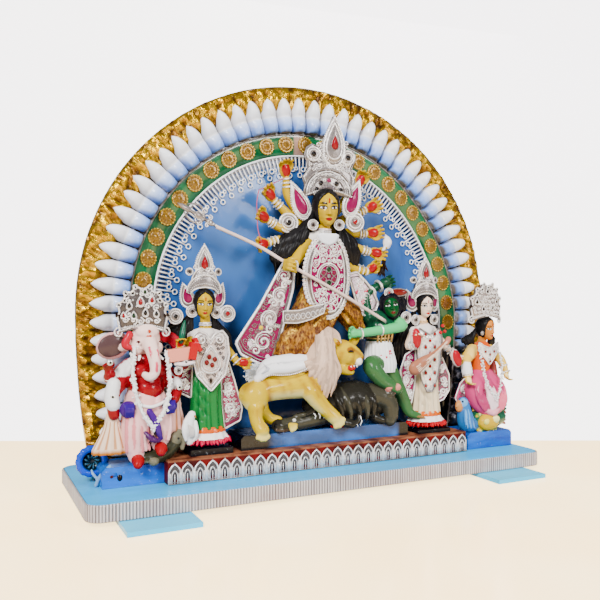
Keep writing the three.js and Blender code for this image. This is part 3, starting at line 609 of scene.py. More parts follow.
def make_tinsel():
    rng = np.random.default_rng(11)
    way = np.arange(-WAY_END, WAY_END, 0.95)
    stops = ((TINSEL_IN, 0.5), (207, 3.5), (210, 4.6), (213, 5), (216, 5.4), (219, 5.2), (222, 5.4), (225, 5),
             (227.4, 4.2), (229.2, 2.6), (229.4, 0), (229.4, -3.4), (228.6, -6.2))
    folds = crumple(rng, len(stops), len(way), (2, 4)) * 0.8
    folds = folds + crumple(rng, len(stops), len(way), (1, 2)) * 0.4
    rows, paints = [], []
    for (radius, high), fold in zip(stops, folds):
        free = 1.0 if high > 1 else 0.35
        y = np.full(len(way), BOARD_FACE - high)
        if high >= 0:
            y = np.minimum(y + fold * 1.9 * free, BOARD_FACE - 0.2)
        rows.append(arch_point(way, radius + fold * 0.5 * free, y))
        # Painted shade: the further a fold sinks back, the browner it is painted.
        share = np.clip(0.5 - fold * 1.1, 0, 1)[:, None]
        paints.append(np.array(GOLD) * share + np.array(FOLD_SHADE_GOLD) * (1 - share))
    tinsel = Craft()
    tinsel.sheet(np.array(rows), np.array(paints))
    tinsel.piece("gold_tinsel_rim", [finish("gold_tinsel", tinsel_foil)], ["tinsel_border"], smooth=False)


def tinsel_foil(w):
    place = w.place()
    worn = place.noise(7, 3).within(0.4, 0.65) * 0.55
    return {"Base Color": worn.mix(w.attribute("paint"), (0.20, 0.085, 0.004)),
            "Metallic": w.attribute("paint", "Alpha"), "Roughness": place.noise(2, 2) * 0.2 + 0.14,
            "Normal": place.noise(1.4, 2).bump(0.4, 0.6)}


make_tinsel()


# The petals are pressed from clay, each in two halves with a crease between: a blue one with a square
# inner end and a pearl white one that comes to a point over the tinsel.
PETAL_PITCH = 16.6
PETAL_IN, PETAL_OUT = 181.5, 218.5
PETAL_SPLIT = 0.43  # where the blue half ends, from inner to outer end
PETAL_WHITE, PETAL_BLUE, PETAL_RIM = (0.92, 0.92, 0.95), (0.16, 0.33, 0.80), (0.16, 0.13, 0.11)


def in_dark(spots):
    """1 on the lower right leg behind the companions, where the petals and band are drawn nearly black, and 0
    elsewhere.
    """
    return np.clip((132 - spots[..., 2:]) / 6, 0, 1) * (spots[..., :1] > 100)


def petal_grid(way, wide, rng):
    """One petal from its blue inner half to its white point, with the paint of every point."""
    along = np.concatenate([np.linspace(0, 0.06, 3), np.linspace(0.12, 0.42, 6), np.linspace(0.45, 1, 12)])
    across = np.linspace(-1, 1, 11)
    blue = along < PETAL_SPLIT
    white = (along - PETAL_SPLIT) / (1 - PETAL_SPLIT)
    pearl = np.clip(white, 0, 1)
    narrow = np.clip(1.02 - 0.72 * pearl ** 2.2 - 0.3 * pearl ** 12, 0.04, 1)
    width = np.where(blue, np.minimum(0.86 + along * 0.4, 0.4 + np.sqrt(along + 1e-4) * 2.2),
                     narrow) * wide / 2
    puff = np.where(blue, 0.78 + 0.22 * np.sin(np.clip(along / PETAL_SPLIT, 0, 1) * np.pi),
                    0.72 + 0.3 * np.sin(pearl * np.pi * 0.9)) * np.minimum(1, (along + 0.02) * 12)
    puff *= 1 - 0.6 * pearl ** 5
    height = 11.4 * puff[:, None] * (1 - np.abs(across[None]) ** 2.6) ** 0.5
    cup = np.exp(-((white - 0.55) / 0.06) ** 2)[:, None] * (np.abs(across[None]) < 0.7) * 0.5
    radius = PETAL_IN + along * (PETAL_OUT - PETAL_IN)
    spread = way + rng.normal(0, 0.25) + (across[None] * width[:, None]) * WAY_RADIUS / np.where(
        abs(way) < QUARTER, radius, WAY_RADIUS)[:, None]
    grid = arch_point(spread, radius[:, None] + 0 * across, BOARD_FACE - 0.5 - height + cup)
    fade = 1 - np.clip((along - 0.1) / 0.36, 0, 1)[:, None, None] ** 1.2
    inner = np.array((0.66, 0.74, 0.92)) * (1 - fade) + np.array(PETAL_BLUE) * fade
    # Painted shade: the white half is a little darker next to the crease.
    outer = np.array(PETAL_WHITE) * (1 - 0.14 * np.exp(-((white - 0.12) / 0.12) ** 2))[:, None, None]
    paint = np.where(along[:, None, None] < 0.44, inner, outer)
    paint = np.where(along[:, None, None] < 0.05, np.array(PETAL_RIM), paint)
    # Painted shade: each petal darkens towards its sides, into the gaps between petals.
    edge = np.abs(across)[None, :, None] ** 6 * 0.45
    paint = paint * (1 - edge) + np.array((0.05, 0.055, 0.10)) * edge * np.ones_like(paint)
    return grid, paint * (1 - 0.97 * in_dark(grid))


def petal_enamel(w):
    place = w.place()
    dab = place.noise(6, 3)
    return {"Base Color": (dab.within(0.5, 0.75) * 0.35).mix(w.attribute("paint"), (0.80, 0.76, 0.86)),
            "Roughness": dab * 0.25 + 0.18, "Normal": place.noise(5, 3).bump(0.9, 0.5)}


def make_petals():
    rng = np.random.default_rng(5)
    ring = Craft()
    way = np.arange(-WAY_END, WAY_END, 4.0)
    # A thin rim, and under the petals a dark brown sheet that is painted shade in the gaps between them.
    for r0, r1, tint in ((180.6, 181.8, PETAL_RIM), (181.8, 206, srgb(60, 46, 40))):
        ring.sheet(np.array([arch_point(way, r0, BOARD_FACE - 0.3), arch_point(way, r1, BOARD_FACE - 0.3)]),
                   tint)
    count = int(WAY_END / PETAL_PITCH)
    for i in range(-count, count + 1):
        place = (i + 0.5) * PETAL_PITCH
        if abs(place) < WAY_END - 6:
            ring.sheet(*petal_grid(place, PETAL_PITCH * 0.97 * (0.96 if abs(place) < QUARTER else 1.0), rng))
    ring.tube(arch_point(way, 181.0, BOARD_FACE - 1.2), 0.9, PETAL_RIM, 6)
    ring.piece("petal_ring_dressed", [finish("petal_enamel", petal_enamel, Coat_Weight=0.25)], ["petal_ring"])


make_petals()


# A band of glossy green paint runs inside the petals, set with discs of stamped gold foil. A few
# discs have faded, and near the top the green has come away over a short stretch.
BAND_IN, BAND_OUT = 159.0, 180.6
ROSETTE_RADIUS, ROSETTE_MID, ROSETTE_PITCH = 8.4, 171.0, 21.8
DISC_GOLD, DISC_HOLLOW_SHADE = (0.30, 0.18, 0.0, 0.25), (0.045, 0.014, 0.0, 0.2)


def green_paint(w):
    place = w.place()
    side, _, up = place.xyz()
    bare = (side * 1000 - 2).within(-16, -13) * (1 - (side * 1000 - 2).within(-5, -2)) * (up > 0.3)
    low = (side * 1000).within(100, 104) * (1 - (up * 1000).within(124, 130))
    tone = low.mix(place.noise(18, 3).within(0.3, 0.7).mix(srgb(44, 128, 92), srgb(66, 152, 112)),
                   (0.008, 0.009, 0.014))
    return {"Base Color": (bare * 0.9).mix(tone, srgb(206, 178, 166)),
            "Roughness": place.noise(12, 2) * 0.2 + 0.12,
            "Normal": place.noise(6, 3).bump(0.4, 0.4)}


def rosette(band, way, rng):
    """One stamped disc with a ring of beads, left out where the leg is black."""
    turn = np.linspace(0, 2 * np.pi, 32, endpoint=False) + rng.uniform(0, 1)
    rings = ((1.0, 0.1), (0.97, 1.1), (0.88, 1.5), (0.80, 0.9), (0.72, 1.5), (0.5, 2.1), (0.3, 1.5),
             (0.2, 2.3), (0.05, 2.6))
    squash, tint = rng.uniform(0.9, 1.0), rng.uniform(0, 1)
    cx, cz = arch_at(way, ROSETTE_MID)
    if cx > 100 and cz < 134:
        return
    rows, paints = [], []
    for share, high in rings:
        ridge = np.cos(turn * 12) if share > 0.85 else np.abs(np.sin(turn * 6)) - 0.5
        r = ROSETTE_RADIUS * share * (1 + (0.03 * np.cos(turn * 16) if share > 0.85 else 0))
        bump = high + ridge * (0.28 if 0.2 < share < 0.9 else 0.2 * (share > 0.85))
        rows.append(np.column_stack([cx + r * np.cos(turn) * squash, BOARD_FACE - 0.8 - bump,
                                     cz + r * np.sin(turn)]))
        # Painted shade: the sunk parts of the stamping go dark, strongly inside the beaded rim and faintly on
        # it.
        deep = np.clip(0.6 - ridge * 0.9, 0, 1)[:, None] * (0.95 if share < 0.86 else 0.25)
        warm = np.array((1.0, 0.85 - 0.25 * (tint > 0.86), 1.0, 1.0))
        paints.append((np.array(DISC_GOLD) * (1 - deep) + np.array(DISC_HOLLOW_SHADE) * deep) * warm)
    band.sheet(np.array(rows), np.array(paints), round_v=True)
    for a in turn[::2]:
        r = ROSETTE_RADIUS * 0.93
        band.ball((cx + r * np.cos(a) * squash, BOARD_FACE - 2.2, cz + r * np.sin(a)), 0.95,
                  (0.62, 0.44, 0.04, 0.4), 3)


def make_band():
    band = Craft()
    way = np.arange(-WAY_END, WAY_END, 4.0)
    rows = [arch_point(way, r, BOARD_FACE - h) for r, h in ((BAND_IN, 0.05), (BAND_IN, 0.8), (BAND_OUT, 0.8))]
    band.sheet(np.array(rows))
    band.piece("green_band", [finish("green_gloss", green_paint, Coat_Weight=0.5)], ["rosette_band"])
    discs = Craft()
    rng = np.random.default_rng(23)
    step = ROSETTE_PITCH * WAY_RADIUS / ROSETTE_MID
    count = int(WAY_END / step) + 1
    for i in range(-count, count + 1):
        place = i * step
        if abs(place) > QUARTER:
            place = np.sign(place) * (QUARTER + (abs(place) - QUARTER) * ROSETTE_MID / WAY_RADIUS)
        if abs(place) < WAY_END - 8:
            rosette(discs, place, rng)
    discs.piece("gold_rosettes", [foil])


make_band()


# A strip of silver lace hangs inwards from a white cord: bars side by side whose ends run in zigzag,
# with a curl at either side of each point.
LACE_OUT, LACE_SHORT, LACE_LONG = 158.2, 150.5, 142.5
TOOTH = 13.0
BARS = 3
LACE_SILVER = (0.92, 0.91, 0.92, 0.15)
LACE_SHADE = (0.006, 0.02, 0.07)


def curl(centre, out, side, radius):
    """A small loop of wire in the plane of the arch, a little over once round, starting away from the rim."""
    a = np.linspace(0, 2 * np.pi * 1.1, 12)
    x = centre[0] + radius * (np.sin(a) * side[0] - np.cos(a) * out[0])
    z = centre[2] + radius * (np.sin(a) * side[1] - np.cos(a) * out[1])
    return np.column_stack([x, np.full(len(a), centre[1]), z])


def make_lace():
    lace = Craft()
    way = np.arange(-WAY_END, WAY_END, 5.0)
    lace.tube(arch_point(way, BAND_IN, BOARD_FACE - 1.3), 1.1, (0.8, 0.8, 0.82), 6)
    lace.tube(arch_point(way, LACE_OUT - 1.5, BOARD_FACE - 1.0), 0.45, SILVER, 4)
    lace.sheet(np.array([arch_point(way, r, BOARD_FACE - 0.25) for r in (LACE_OUT, LACE_SHORT - 1)]),
               LACE_SHADE)
    count = int(WAY_END / (TOOTH * WAY_RADIUS / LACE_OUT))
    for tooth in range(-count, count):
        for bar in range(BARS):
            share = (bar + 0.5) / BARS
            place = (tooth + share) * TOOTH * WAY_RADIUS / LACE_OUT
            tip = LACE_SHORT - (LACE_SHORT - LACE_LONG) * (1 - abs(2 * share - 1)) * 1.15
            path = [arch_point(place, r, BOARD_FACE - h)
                    for r, h in ((LACE_OUT, 0.9), ((LACE_OUT + tip) / 2, 1.2), (tip, 0.9))]
            lace.tube(path, 0.82, LACE_SILVER, 4)
            middle = arch_point(place, tip + 0.4, BOARD_FACE - 1.2)
            outward = arch_point(place, tip + 1.4, BOARD_FACE) - arch_point(place, tip + 0.4, BOARD_FACE)
            side = np.array((outward[2], -outward[0]))
            size = 2.3 if bar in (1, 2) else 1.5
            lace.tube(curl(middle - outward * size, (outward[0], outward[2]), side if bar < 2 else -side,
                           size), 0.6, LACE_SILVER, 5)
    lace.piece("silver_lace", [foil], ["lace_fringe"])


make_lace()


# The lion is modelled in clay, painted a strong yellow with orange shading and a pale belly and toes,
# and has a beige mane of long locks. A crumpled white cloth lies over its back as a saddle.
LION, LION_PALE, LION_ORANGE = (0.60, 0.40, 0.0), (0.88, 0.74, 0.26), (0.28, 0.10, 0.0)
MANE = (0.64, 0.43, 0.30)
BLACK = (0.006, 0.0055, 0.006)


def smooth_path(points, steps=6):
    """A smooth run through points of any width, steps to each stretch."""
    p = np.asarray(points, float)
    p = np.vstack([2 * p[0] - p[1], p, 2 * p[-1] - p[-2]])
    t = np.linspace(0, 1, steps, endpoint=False)[:, None]
    out = [0.5 * (2 * p[i] + (p[i + 1] - p[i - 1]) * t + (2 * p[i - 1] - 5 * p[i] + 4 * p[i + 1] - p[i + 2])
                  * t ** 2 + (3 * p[i] - p[i - 1] - 3 * p[i + 1] + p[i + 2]) * t ** 3)
                  for i in range(1, len(p) - 2)]
    return np.vstack([*out, p[-2]])


def round_ended(path, radius):
    """The same path with its ends carried on and narrowed, so that a tube on it ends in half balls."""
    first, last = path[0] - path[1], path[-1] - path[-2]
    first, last = first / (np.linalg.norm(first) + 1e-9), last / (np.linalg.norm(last) + 1e-9)
    turn = np.radians([82, 62, 40, 20])
    head = [(path[0] + first * radius[0] * np.sin(a), radius[0] * np.cos(a)) for a in turn]
    tail = [(path[-1] + last * radius[-1] * np.sin(a), radius[-1] * np.cos(a)) for a in turn[::-1]]
    full = np.vstack([[h[0] for h in head], path, [t[0] for t in tail]])
    return full, np.concatenate([[h[1] for h in head], radius, [t[1] for t in tail]])


def evenly(path, pitch, closed=True):
    """Points every pitch along an outline."""
    path = np.asarray(path, float)
    if closed:
        path = np.vstack([path, path[:1]])
    reach = np.concatenate([[0], np.cumsum(np.linalg.norm(np.diff(path, axis=0), axis=1))])
    count = max(int(round(reach[-1] / pitch)), 3 if closed else 2)
    at = np.linspace(0, reach[-1], count, endpoint=not closed)
    return np.column_stack([np.interp(at, reach, path[:, k]) for k in range(path.shape[1])])


def hollows(mesh):
    """How far each point lies in a fold, 0 to 1, from its neighbours."""
    points, normals = np.empty(len(mesh.vertices) * 3), np.empty(len(mesh.vertices) * 3)
    mesh.vertices.foreach_get("co", points)
    mesh.vertex_normals.foreach_get("vector", normals)
    points, normals = points.reshape(-1, 3), normals.reshape(-1, 3)
    edges = np.empty(len(mesh.edges) * 2, int)
    mesh.edges.foreach_get("vertices", edges)
    a, b = edges.reshape(-1, 2).T
    degree = np.bincount(np.concatenate([a, b]), minlength=len(points))[:, None] + 1e-9

    def around(values):
        total = np.zeros_like(values)
        np.add.at(total, a, values[b])
        np.add.at(total, b, values[a])
        return total / degree

    bend = ((around(points) - points) * normals).sum(1, keepdims=True)
    for _ in range(4):
        bend = around(bend)
    spread = np.percentile(np.abs(bend), 92) + 1e-12
    return np.clip(bend / spread, 0, 1)[:, 0]


class Clay(Craft):
    """Rolls and lumps of clay worked together into one skin, each keeping its own paint."""

    FACES_KEPT = 0.245

    def limb(self, points, paint, sides=16, flat=1.0):
        """A roll through [x, y, z, radius] points, with round ends."""
        run = smooth_path(points)
        path, radius = round_ended(run[:, :3], np.maximum(run[:, 3], 0.3))
        self.skin(strand(path, radius, sides, False, flat), paint)

    def lump(self, centre, radii, paint, turn=None):
        self.ball(centre, radii, paint, 12, turn)

    def bar(self, centre, half, paint, turn=None):
        """A block of clay, its half sizes along three edges."""
        corners = np.array([(i, j, k) for i in (-1, 1) for j in (-1, 1) for k in (-1, 1)]) * half
        if turn is not None:
            corners = corners @ np.array(turn).T
        faces = [(0, 1, 3, 2), (4, 6, 7, 5), (0, 4, 5, 1), (2, 3, 7, 6), (0, 2, 6, 4), (1, 5, 7, 3)]
        self.add(corners + np.asarray(centre, float), faces, paint)

    def piece(self, name, materials, replaces=(), voxel=0.8, soften=2, fold_shade=0.45, tone=None):
        """One mesh of all the clay: soften evens it out, painted shade darkens its folds and tone paints over
        it.
        """
        points, faces, paints = np.concatenate(self.points), self.faces, np.concatenate(self.paints)
        rough = bpy.data.meshes.new(name + "_rough")
        rough.from_pydata(points * MM, [], faces)
        holder = bpy.data.objects.new(name + "_rough", rough)
        bpy.context.collection.objects.link(holder)
        skin = holder.modifiers.new("skin", "REMESH")
        skin.mode, skin.voxel_size = "VOXEL", voxel * MM
        ease = holder.modifiers.new("ease", "SMOOTH")
        ease.factor, ease.iterations = 0.5, soften
        thin = holder.modifiers.new("thin", "DECIMATE")
        thin.ratio = self.FACES_KEPT
        mesh = bpy.data.meshes.new_from_object(holder.evaluated_get(bpy.context.evaluated_depsgraph_get()))
        bpy.data.objects.remove(holder)
        mesh.name = name
        tree = BVHTree.FromPolygons([Vector(p) for p in points * MM], faces)
        owner = [tree.find_nearest(v.co)[2] for v in mesh.vertices]
        tint = paints[[faces[f][0] for f in owner]].copy()
        # Painted shade: the paint goes darker the deeper a point lies in a fold.
        tint[:, :3] *= 1 - fold_shade * hollows(mesh)[:, None]
        if tone:
            spots = np.array([(*v.co, *v.normal) for v in mesh.vertices])
            tint[:, :3] = tone(spots[:, :3] / MM, spots[:, 3:], tint[:, :3])
        for layer in list(mesh.attributes):
            if layer.name == "paint":
                mesh.attributes.remove(layer)
        mesh.attributes.new("paint", "FLOAT_COLOR",
                            "POINT").data.foreach_set("color", tint.astype(np.float32).ravel())
        mesh.polygons.foreach_set("use_smooth", [True] * len(mesh.polygons))
        mesh.materials.clear()
        for material in materials:
            mesh.materials.append(material)
        return fit(name, mesh, replaces)


def enamel_paint(w):
    """Thick gloss enamel on clay, a little uneven where it pooled."""
    place = w.place()
    dab, tint = place.noise(4.5, 3), w.attribute("paint")
    return {"Base Color": (dab.within(0.5, 0.78) * 0.22).mix(tint, tint.warmer()),
            "Roughness": dab * 0.2 + 0.16, "Normal": place.noise(2.6, 3).bump(0.22, 0.45)}


enamel = finish("clay_enamel", enamel_paint, Coat_Weight=0.12, Coat_Roughness=0.08, Specular_IOR_Level=0.07)


# Strokes of orange paint on the lion, from x, z to x, z, with their width and strength
LION_SHADES = ((-54, 106, -47, 92, 1.8, 0.55), (-44, 104, -40, 92, 1.6, 0.5), (-34, 108, -26, 94, 1.8, 0.55),
               (-26, 112, -12, 92, 2.2, 0.75), (-22, 104, -16, 88, 1.6, 0.6), (-66, 104, -61, 84, 2.2, 0.8),
               (-64, 82, -80, 77, 2.4, 0.5), (-14, 88, -2, 72, 1.6, 0.4), (-86, 98, -80, 104, 3.0, 0.6),
               (-78, 74, -72, 62, 1.4, 0.4), (8, 136, 20, 140, 2.0, 0.5), (22, 133, 34, 125, 1.8, 0.8),
               (24, 121, 30, 113, 1.8, 0.6), (12, 128, 8, 112, 2.4, 0.6), (26, 126, 22, 118, 1.6, 0.5))


def lion_tone(spots, normals, tint):
    """Cream below the belly and inside the legs, and soft strokes of orange over the yellow."""
    x, z = spots[:, 0], spots[:, 2]
    belly = np.clip((-normals[:, 2] - 0.15) * 2.2, 0, 1) * (x < -6) * (z > 72) * 0.9
    toes = np.clip((60 - z + 0.12 * (x + 75)) / 5, 0, 1) * 0.55
    share = np.maximum(belly, toes)[:, None]
    tint = tint * (1 - share) + np.array(LION_PALE) * share
    for x0, z0, x1, z1, wide, strength in LION_SHADES:
        run = np.clip(((x - x0) * (x1 - x0) + (z - z0) * (z1 - z0)) / ((x1 - x0) ** 2 + (z1 - z0) ** 2), 0, 1)
        away = np.hypot(x - x0 - run * (x1 - x0), z - z0 - run * (z1 - z0))
        share = (strength * np.exp(-(away / wide) ** 2) * (normals[:, 1] < 0))[:, None]
        tint = tint * (1 - share) + np.array(LION_ORANGE) * share
    return tint


def make_lion():
    body = Clay()
    body.limb([(-77, -26, 91, 12), (-64, -26, 95, 12), (-46, -25, 97, 12.6), (-28, -26, 98.4, 14),
               (-14, -27, 100, 15.4), (-4, -27, 104, 14), (4, -27, 113, 12)], LION, 28)
    body.lump((-75, -31, 89.5), (13.4, 10.5, 14.5), LION)
    body.lump((-72, -18, 90), (12, 9, 13), LION)
    body.limb([(-76, -35, 80, 8), (-77, -38, 71, 6.2), (-75, -40, 64, 6.4), (-73, -43, 60, 6.6)], LION)
    body.limb([(-64, -15, 82, 8), (-60, -16, 72, 6), (-54, -18, 65.5, 5.4), (-47, -20, 63.5, 4.8)], LION)
    body.lump((-19, -33, 98), (11, 8.5, 13), LION)
    body.limb([(-19, -35, 92, 10), (-13, -37, 83, 8.4), (-6, -39, 75, 7.2), (0, -41, 69, 6.8),
               (3, -42, 66, 6.8)], LION)
    for x0, z0, lean, size in ((-73, 60, 0, 1.0), (3, 66, 38, 1.05), (-45, 63, 50, 0.7)):
        for k in range(4):
            a = math.radians(-39 + 26 * k + lean)
            tip = (x0 + 7.6 * size * math.sin(a), -46.4 + abs(k - 1.5), z0 - 7.6 * size * math.cos(a))
            body.limb([(x0, -44, z0, 3.2 * size), (*tip, 2.6 * size)], LION, 10)
    body.lump((18, -30, 127), (13.5, 12, 13.5), LION)
    body.limb([(18, -34, 135, 5.6), (27, -36, 130, 5.2), (34, -36, 124.6, 4.2)], LION)
    body.limb([(22, -32, 124, 10), (29, -33, 121, 8), (33, -34, 119.5, 5.6)], LION)
    body.limb([(16, -32, 113, 7), (22, -33.5, 109.6, 4.6), (26, -34, 108.6, 3.4)], LION)
    body.lump((31.5, -38.5, 118.4), (4.4, 3.6, 3.8), (0.92, 0.86, 0.74))
    body.lump((35.6, -37, 122.8), (2.8, 3.0, 2.2), LION_ORANGE)
    body.lump((24, -38.6, 112.6), (4.6, 2.0, 2.4), srgb(200, 26, 34))
    body.limb([(17.6, -41.6, 131.4, 0.9), (21, -42.6, 132.4, 1.1), (25, -41.6, 130.6, 0.8)], LION_ORANGE, 8)
    body.limb([(18.6, -42.0, 129.4, 0.7), (21.4, -42.8, 129.8, 0.9), (24.2, -41.8, 128.6, 0.6)], BLACK, 8)
    body.limb([(11, -37, 133.5, 3.6), (7.5, -38.5, 138.5, 3.2), (4.5, -38.5, 142, 1.2)], LION, 10, 0.6)
    body.lump((8, -41, 138), (1.8, 0.9, 3), LION_ORANGE)
    lion = body.piece("lion_body", [enamel], ["lion"], 0.85, 2, tone=lion_tone)
    cuts = Craft()
    for x, z in ((29, 115.4), (26, 115.6), (22.5, 115)):
        cuts.tube([(x, -39.6, z), (x + 0.4, -40, z - 2.4)], (0.9, 0.2), (0.95, 0.93, 0.88), 6)
    cuts.piece("lion_fangs", [enamel])


def make_mane():
    rng = np.random.default_rng(8)
    mane = Clay()
    mane.limb([(3, -24, 148, 6), (-2, -26, 137, 12), (-7, -27, 122, 16), (-7, -29, 108, 15),
               (-4, -32, 96, 9), (-6, -35, 89, 3.4)], MANE, 24)
    ends = np.array([(11, 104), (4, 92), (-4, 84), (-12, 92), (-19, 101), (-26, 112), (-26, 122)], float)
    for k in range(84):
        share = rng.uniform(0, 1) if k > 20 else k / 20
        layer = rng.uniform(0, 1)
        tip = np.array([np.interp(share * 6, range(7), ends[:, i]) for i in (0, 1)]) + rng.normal(0, 1.4, 2)
        tip = tip + (np.array((-5, 120)) - tip) * 0.45 * layer ** 2
        root = np.array((7 - 17 * share, 148 - 5 * share + 3 * math.sin(share * 3))) + rng.normal(0, 1.2, 2)
        bulge = np.array((3 - 20 * share, 126 - 4 * share)) + rng.normal(0, 1.6, 2)
        low = bulge * 0.35 + tip * 0.65 + (6 * (0.45 - share), 0)
        y = -42 - 2.6 * layer + 7 * abs(share - 0.4)
        mane.limb([(root[0], -33, root[1], 1.3), (bulge[0], y, bulge[1], 1.9),
                   (low[0], y - 0.6, low[1], 1.8), (tip[0], y + 3.5, tip[1], 0.7)],
                   deeper(MANE, (1.12, 1.0, 0.84, 0.68)[k % 4]), 7)
    for k in range(10):
        x = -8 + k * 1.6
        mane.limb([(x, -24 + rng.normal(0, 2), 152, 1.6), (x + 5, -31, 147, 2.0), (x + 6, -37, 138, 1.4)],
                  deeper(MANE, 1 - 0.1 * (k % 3)), 8)
    mane.piece("lion_mane", [enamel], (), 0.7, 1, 0.8)


def make_saddle():
    rng = np.random.default_rng(4)
    cloth = Clay()
    white = (0.88, 0.87, 0.88)
    cloth.limb([(-66, -25, 110, 6), (-58, -26, 116, 9), (-44, -26, 118, 9.4), (-30, -27, 120, 8.6),
                (-22, -27, 122, 6)], white, 22)
    cloth.limb([(-72, -30, 106, 4), (-66, -33, 112, 5), (-58, -34, 115, 5.6), (-44, -35, 115, 5.4),
                (-28, -35, 117.5, 5)], white, 16)
    for k in range(10):
        x = -68 + k * 4.4 + rng.normal(0, 0.8)
        cloth.limb([(x, -36.6, 120 + rng.normal(0, 1), 0.8), (x + rng.normal(0, 2), -38.6, 115.5, 1.0),
                    (x - 3, -37.6, 111.5 + k * 0.2, 0.7)], white if k % 3 else (0.5, 0.5, 0.54), 7)
    cloth.piece("saddle_cloth", [enamel], (), 0.7, 1, 0.6)
    cord = Craft()
    path = smooth_path([(-70, -34, 105), (-64, -37, 109.6), (-52, -39.6, 109.4), (-40, -40, 110),
                        (-30, -40.4, 112.6), (-24, -40, 115)], 8)
    cord.tube(path, 0.7, WHITE_SILVER, 6)
    for spot in evenly(path, 1.9, False):
        cord.ball(spot, 0.85, SILVER, 4)
    cord.piece("saddle_cord", [foil])


make_lion()
make_mane()
make_saddle()


# The goddess has a clay body with ten arms. Her skin is golden yellow, her palms red, and her arms
# carry white bangles. She stands behind the lion with one foot raised on its back.
GOLDEN, PALM, CREAM = (0.52, 0.325, 0.0), (0.30, 0.0, 0.004), srgb(252, 236, 190)
BANGLE = (0.86, 0.85, 0.85, 0.5)


def unit(v):
    v = np.asarray(v, float)
    return v / (np.linalg.norm(v) + 1e-9)


def hand(clay, wrist, tip, size, skin, palm=PALM, cup=0.35, open_hand=True):
    """A hand seen from its palm: the palm, four fingers that curl a little and a thumb."""
    wrist, tip = np.asarray(wrist, float), np.asarray(tip, float)
    along, front = unit(tip - wrist), unit((0, -1, 0))
    side = unit(np.cross(along, front))
    front = np.cross(side, along)
    middle = wrist + along * size * 0.48
    turn = np.column_stack([side, along, front])
    clay.lump(middle, (size * 0.42, size * 0.5, size * 0.2), skin, turn)
    clay.lump(middle + front * size * 0.14 + along * size * 0.06, (size * 0.32, size * 0.44, size * 0.12),
              palm, turn)
    for k in range(4):
        spread = (k - 1.5) * 0.2
        root = middle + along * size * 0.32 + side * size * spread * 1.02
        reach = size * (0.42 if k in (1, 2) else 0.32)
        bend = front * size * cup
        mid = root + along * reach * 0.55 + side * size * spread * 0.25 + bend * 0.35
        end = root + along * reach * (1.0 if open_hand else 0.35) + side * size * spread * 0.4 + bend * 1.3
        clay.limb([(*root, size * 0.13), (*mid, size * 0.12), (*end, size * 0.09)], skin, 8)
        clay.lump(end, np.full(3, size * 0.1), palm)
    thumb = middle + side * size * 0.3
    clay.limb([(*thumb, size * 0.12),
               (*(thumb + side * size * 0.2 + along * size * 0.16 + front * size * 0.1), size * 0.1),
               (*(thumb + side * size * 0.22 + along * size * 0.4 + front * size * 0.22), size * 0.08)],
               skin, 8)


def ring(craft, centre, axis, radius, thick, paint):
    """A ring such as a bangle, around axis."""
    axis = unit(axis)
    first = unit(np.cross(axis, (0.1, 0.9, 0.4)))
    second = np.cross(axis, first)
    a = np.linspace(0, 2 * np.pi, 24, endpoint=False)[:, None]
    path = np.asarray(centre, float) + radius * (np.cos(a) * first + np.sin(a) * second)
    turn = (2 * np.pi * np.arange(6) / 6)[None, :, None]
    out = unit_rows(path - np.asarray(centre, float))[:, None]
    craft.sheet(path[:, None] + thick * (np.cos(turn) * out + np.sin(turn) * axis), paint, True, True)


def unit_rows(rows):
    """Every row at length one."""
    return rows / (np.linalg.norm(rows, axis=1, keepdims=True) + 1e-9)


def arm(clay, gear, shoulder, elbow, wrist, tip, thick, skin, size, palm=PALM, bangles=3, cup=0.35,
        open_hand=True):
    """An arm from shoulder to hand, with bangles on the forearm."""
    clay.limb([(*shoulder, thick * 1.15), (*elbow, thick), (*wrist, thick * 0.72)], skin, 14)
    hand(clay, wrist, tip, size, skin, palm, cup, open_hand)
    elbow, wrist = np.asarray(elbow, float), np.asarray(wrist, float)
    for k in range(bangles):
        share = 0.5 + 0.46 * k / max(bangles - 1, 1)
        radius = thick * (1 - 0.28 * share) + 0.35
        spot = elbow + (wrist - elbow) * share
        ring(gear, spot, wrist - elbow, radius, 0.95, BANGLE if k != 1 else (0.78, 0.76, 0.74, 0.7))
        if k == 1:
            for a in np.linspace(0, 2 * np.pi, 9, endpoint=False):
                first = unit(np.cross(wrist - elbow, (0, 1, 0.2)))
                second = unit(np.cross(wrist - elbow, first))
                gear.ball(spot + (radius + 0.9) * (np.cos(a) * first + np.sin(a) * second), 0.75,
                          (0.9, 0.88, 0.86, 0.6), 4)


REAR_ARMS = (
    ((-8, 0, 258), (-27, 0, 284), (-30, -2, 301), (-34, -5, 320)),
    ((-18, 0, 256), (-31, -1, 268), (-43, -2, 278), (-58, -5, 293)),
    ((-18, 0, 249), (-37, -1, 252), (-49, -2, 258), (-66, -6, 266)),
    ((-18, 0, 241), (-33, -2, 240), (-50, -4, 236), (-67, -8, 231)),
    ((18, 0, 262), (44, 0, 288), (51, -2, 297), (57, -5, 312)),
    ((24, 0, 257), (46, -1, 267), (61, -2, 274), (78, -5, 283)),
    ((24, 0, 249), (47, -1, 249), (62, -2, 249), (82, -5, 252)),
    ((24, 0, 241), (51, -1, 234), (66, -2, 230), (90, -5, 227)),
)


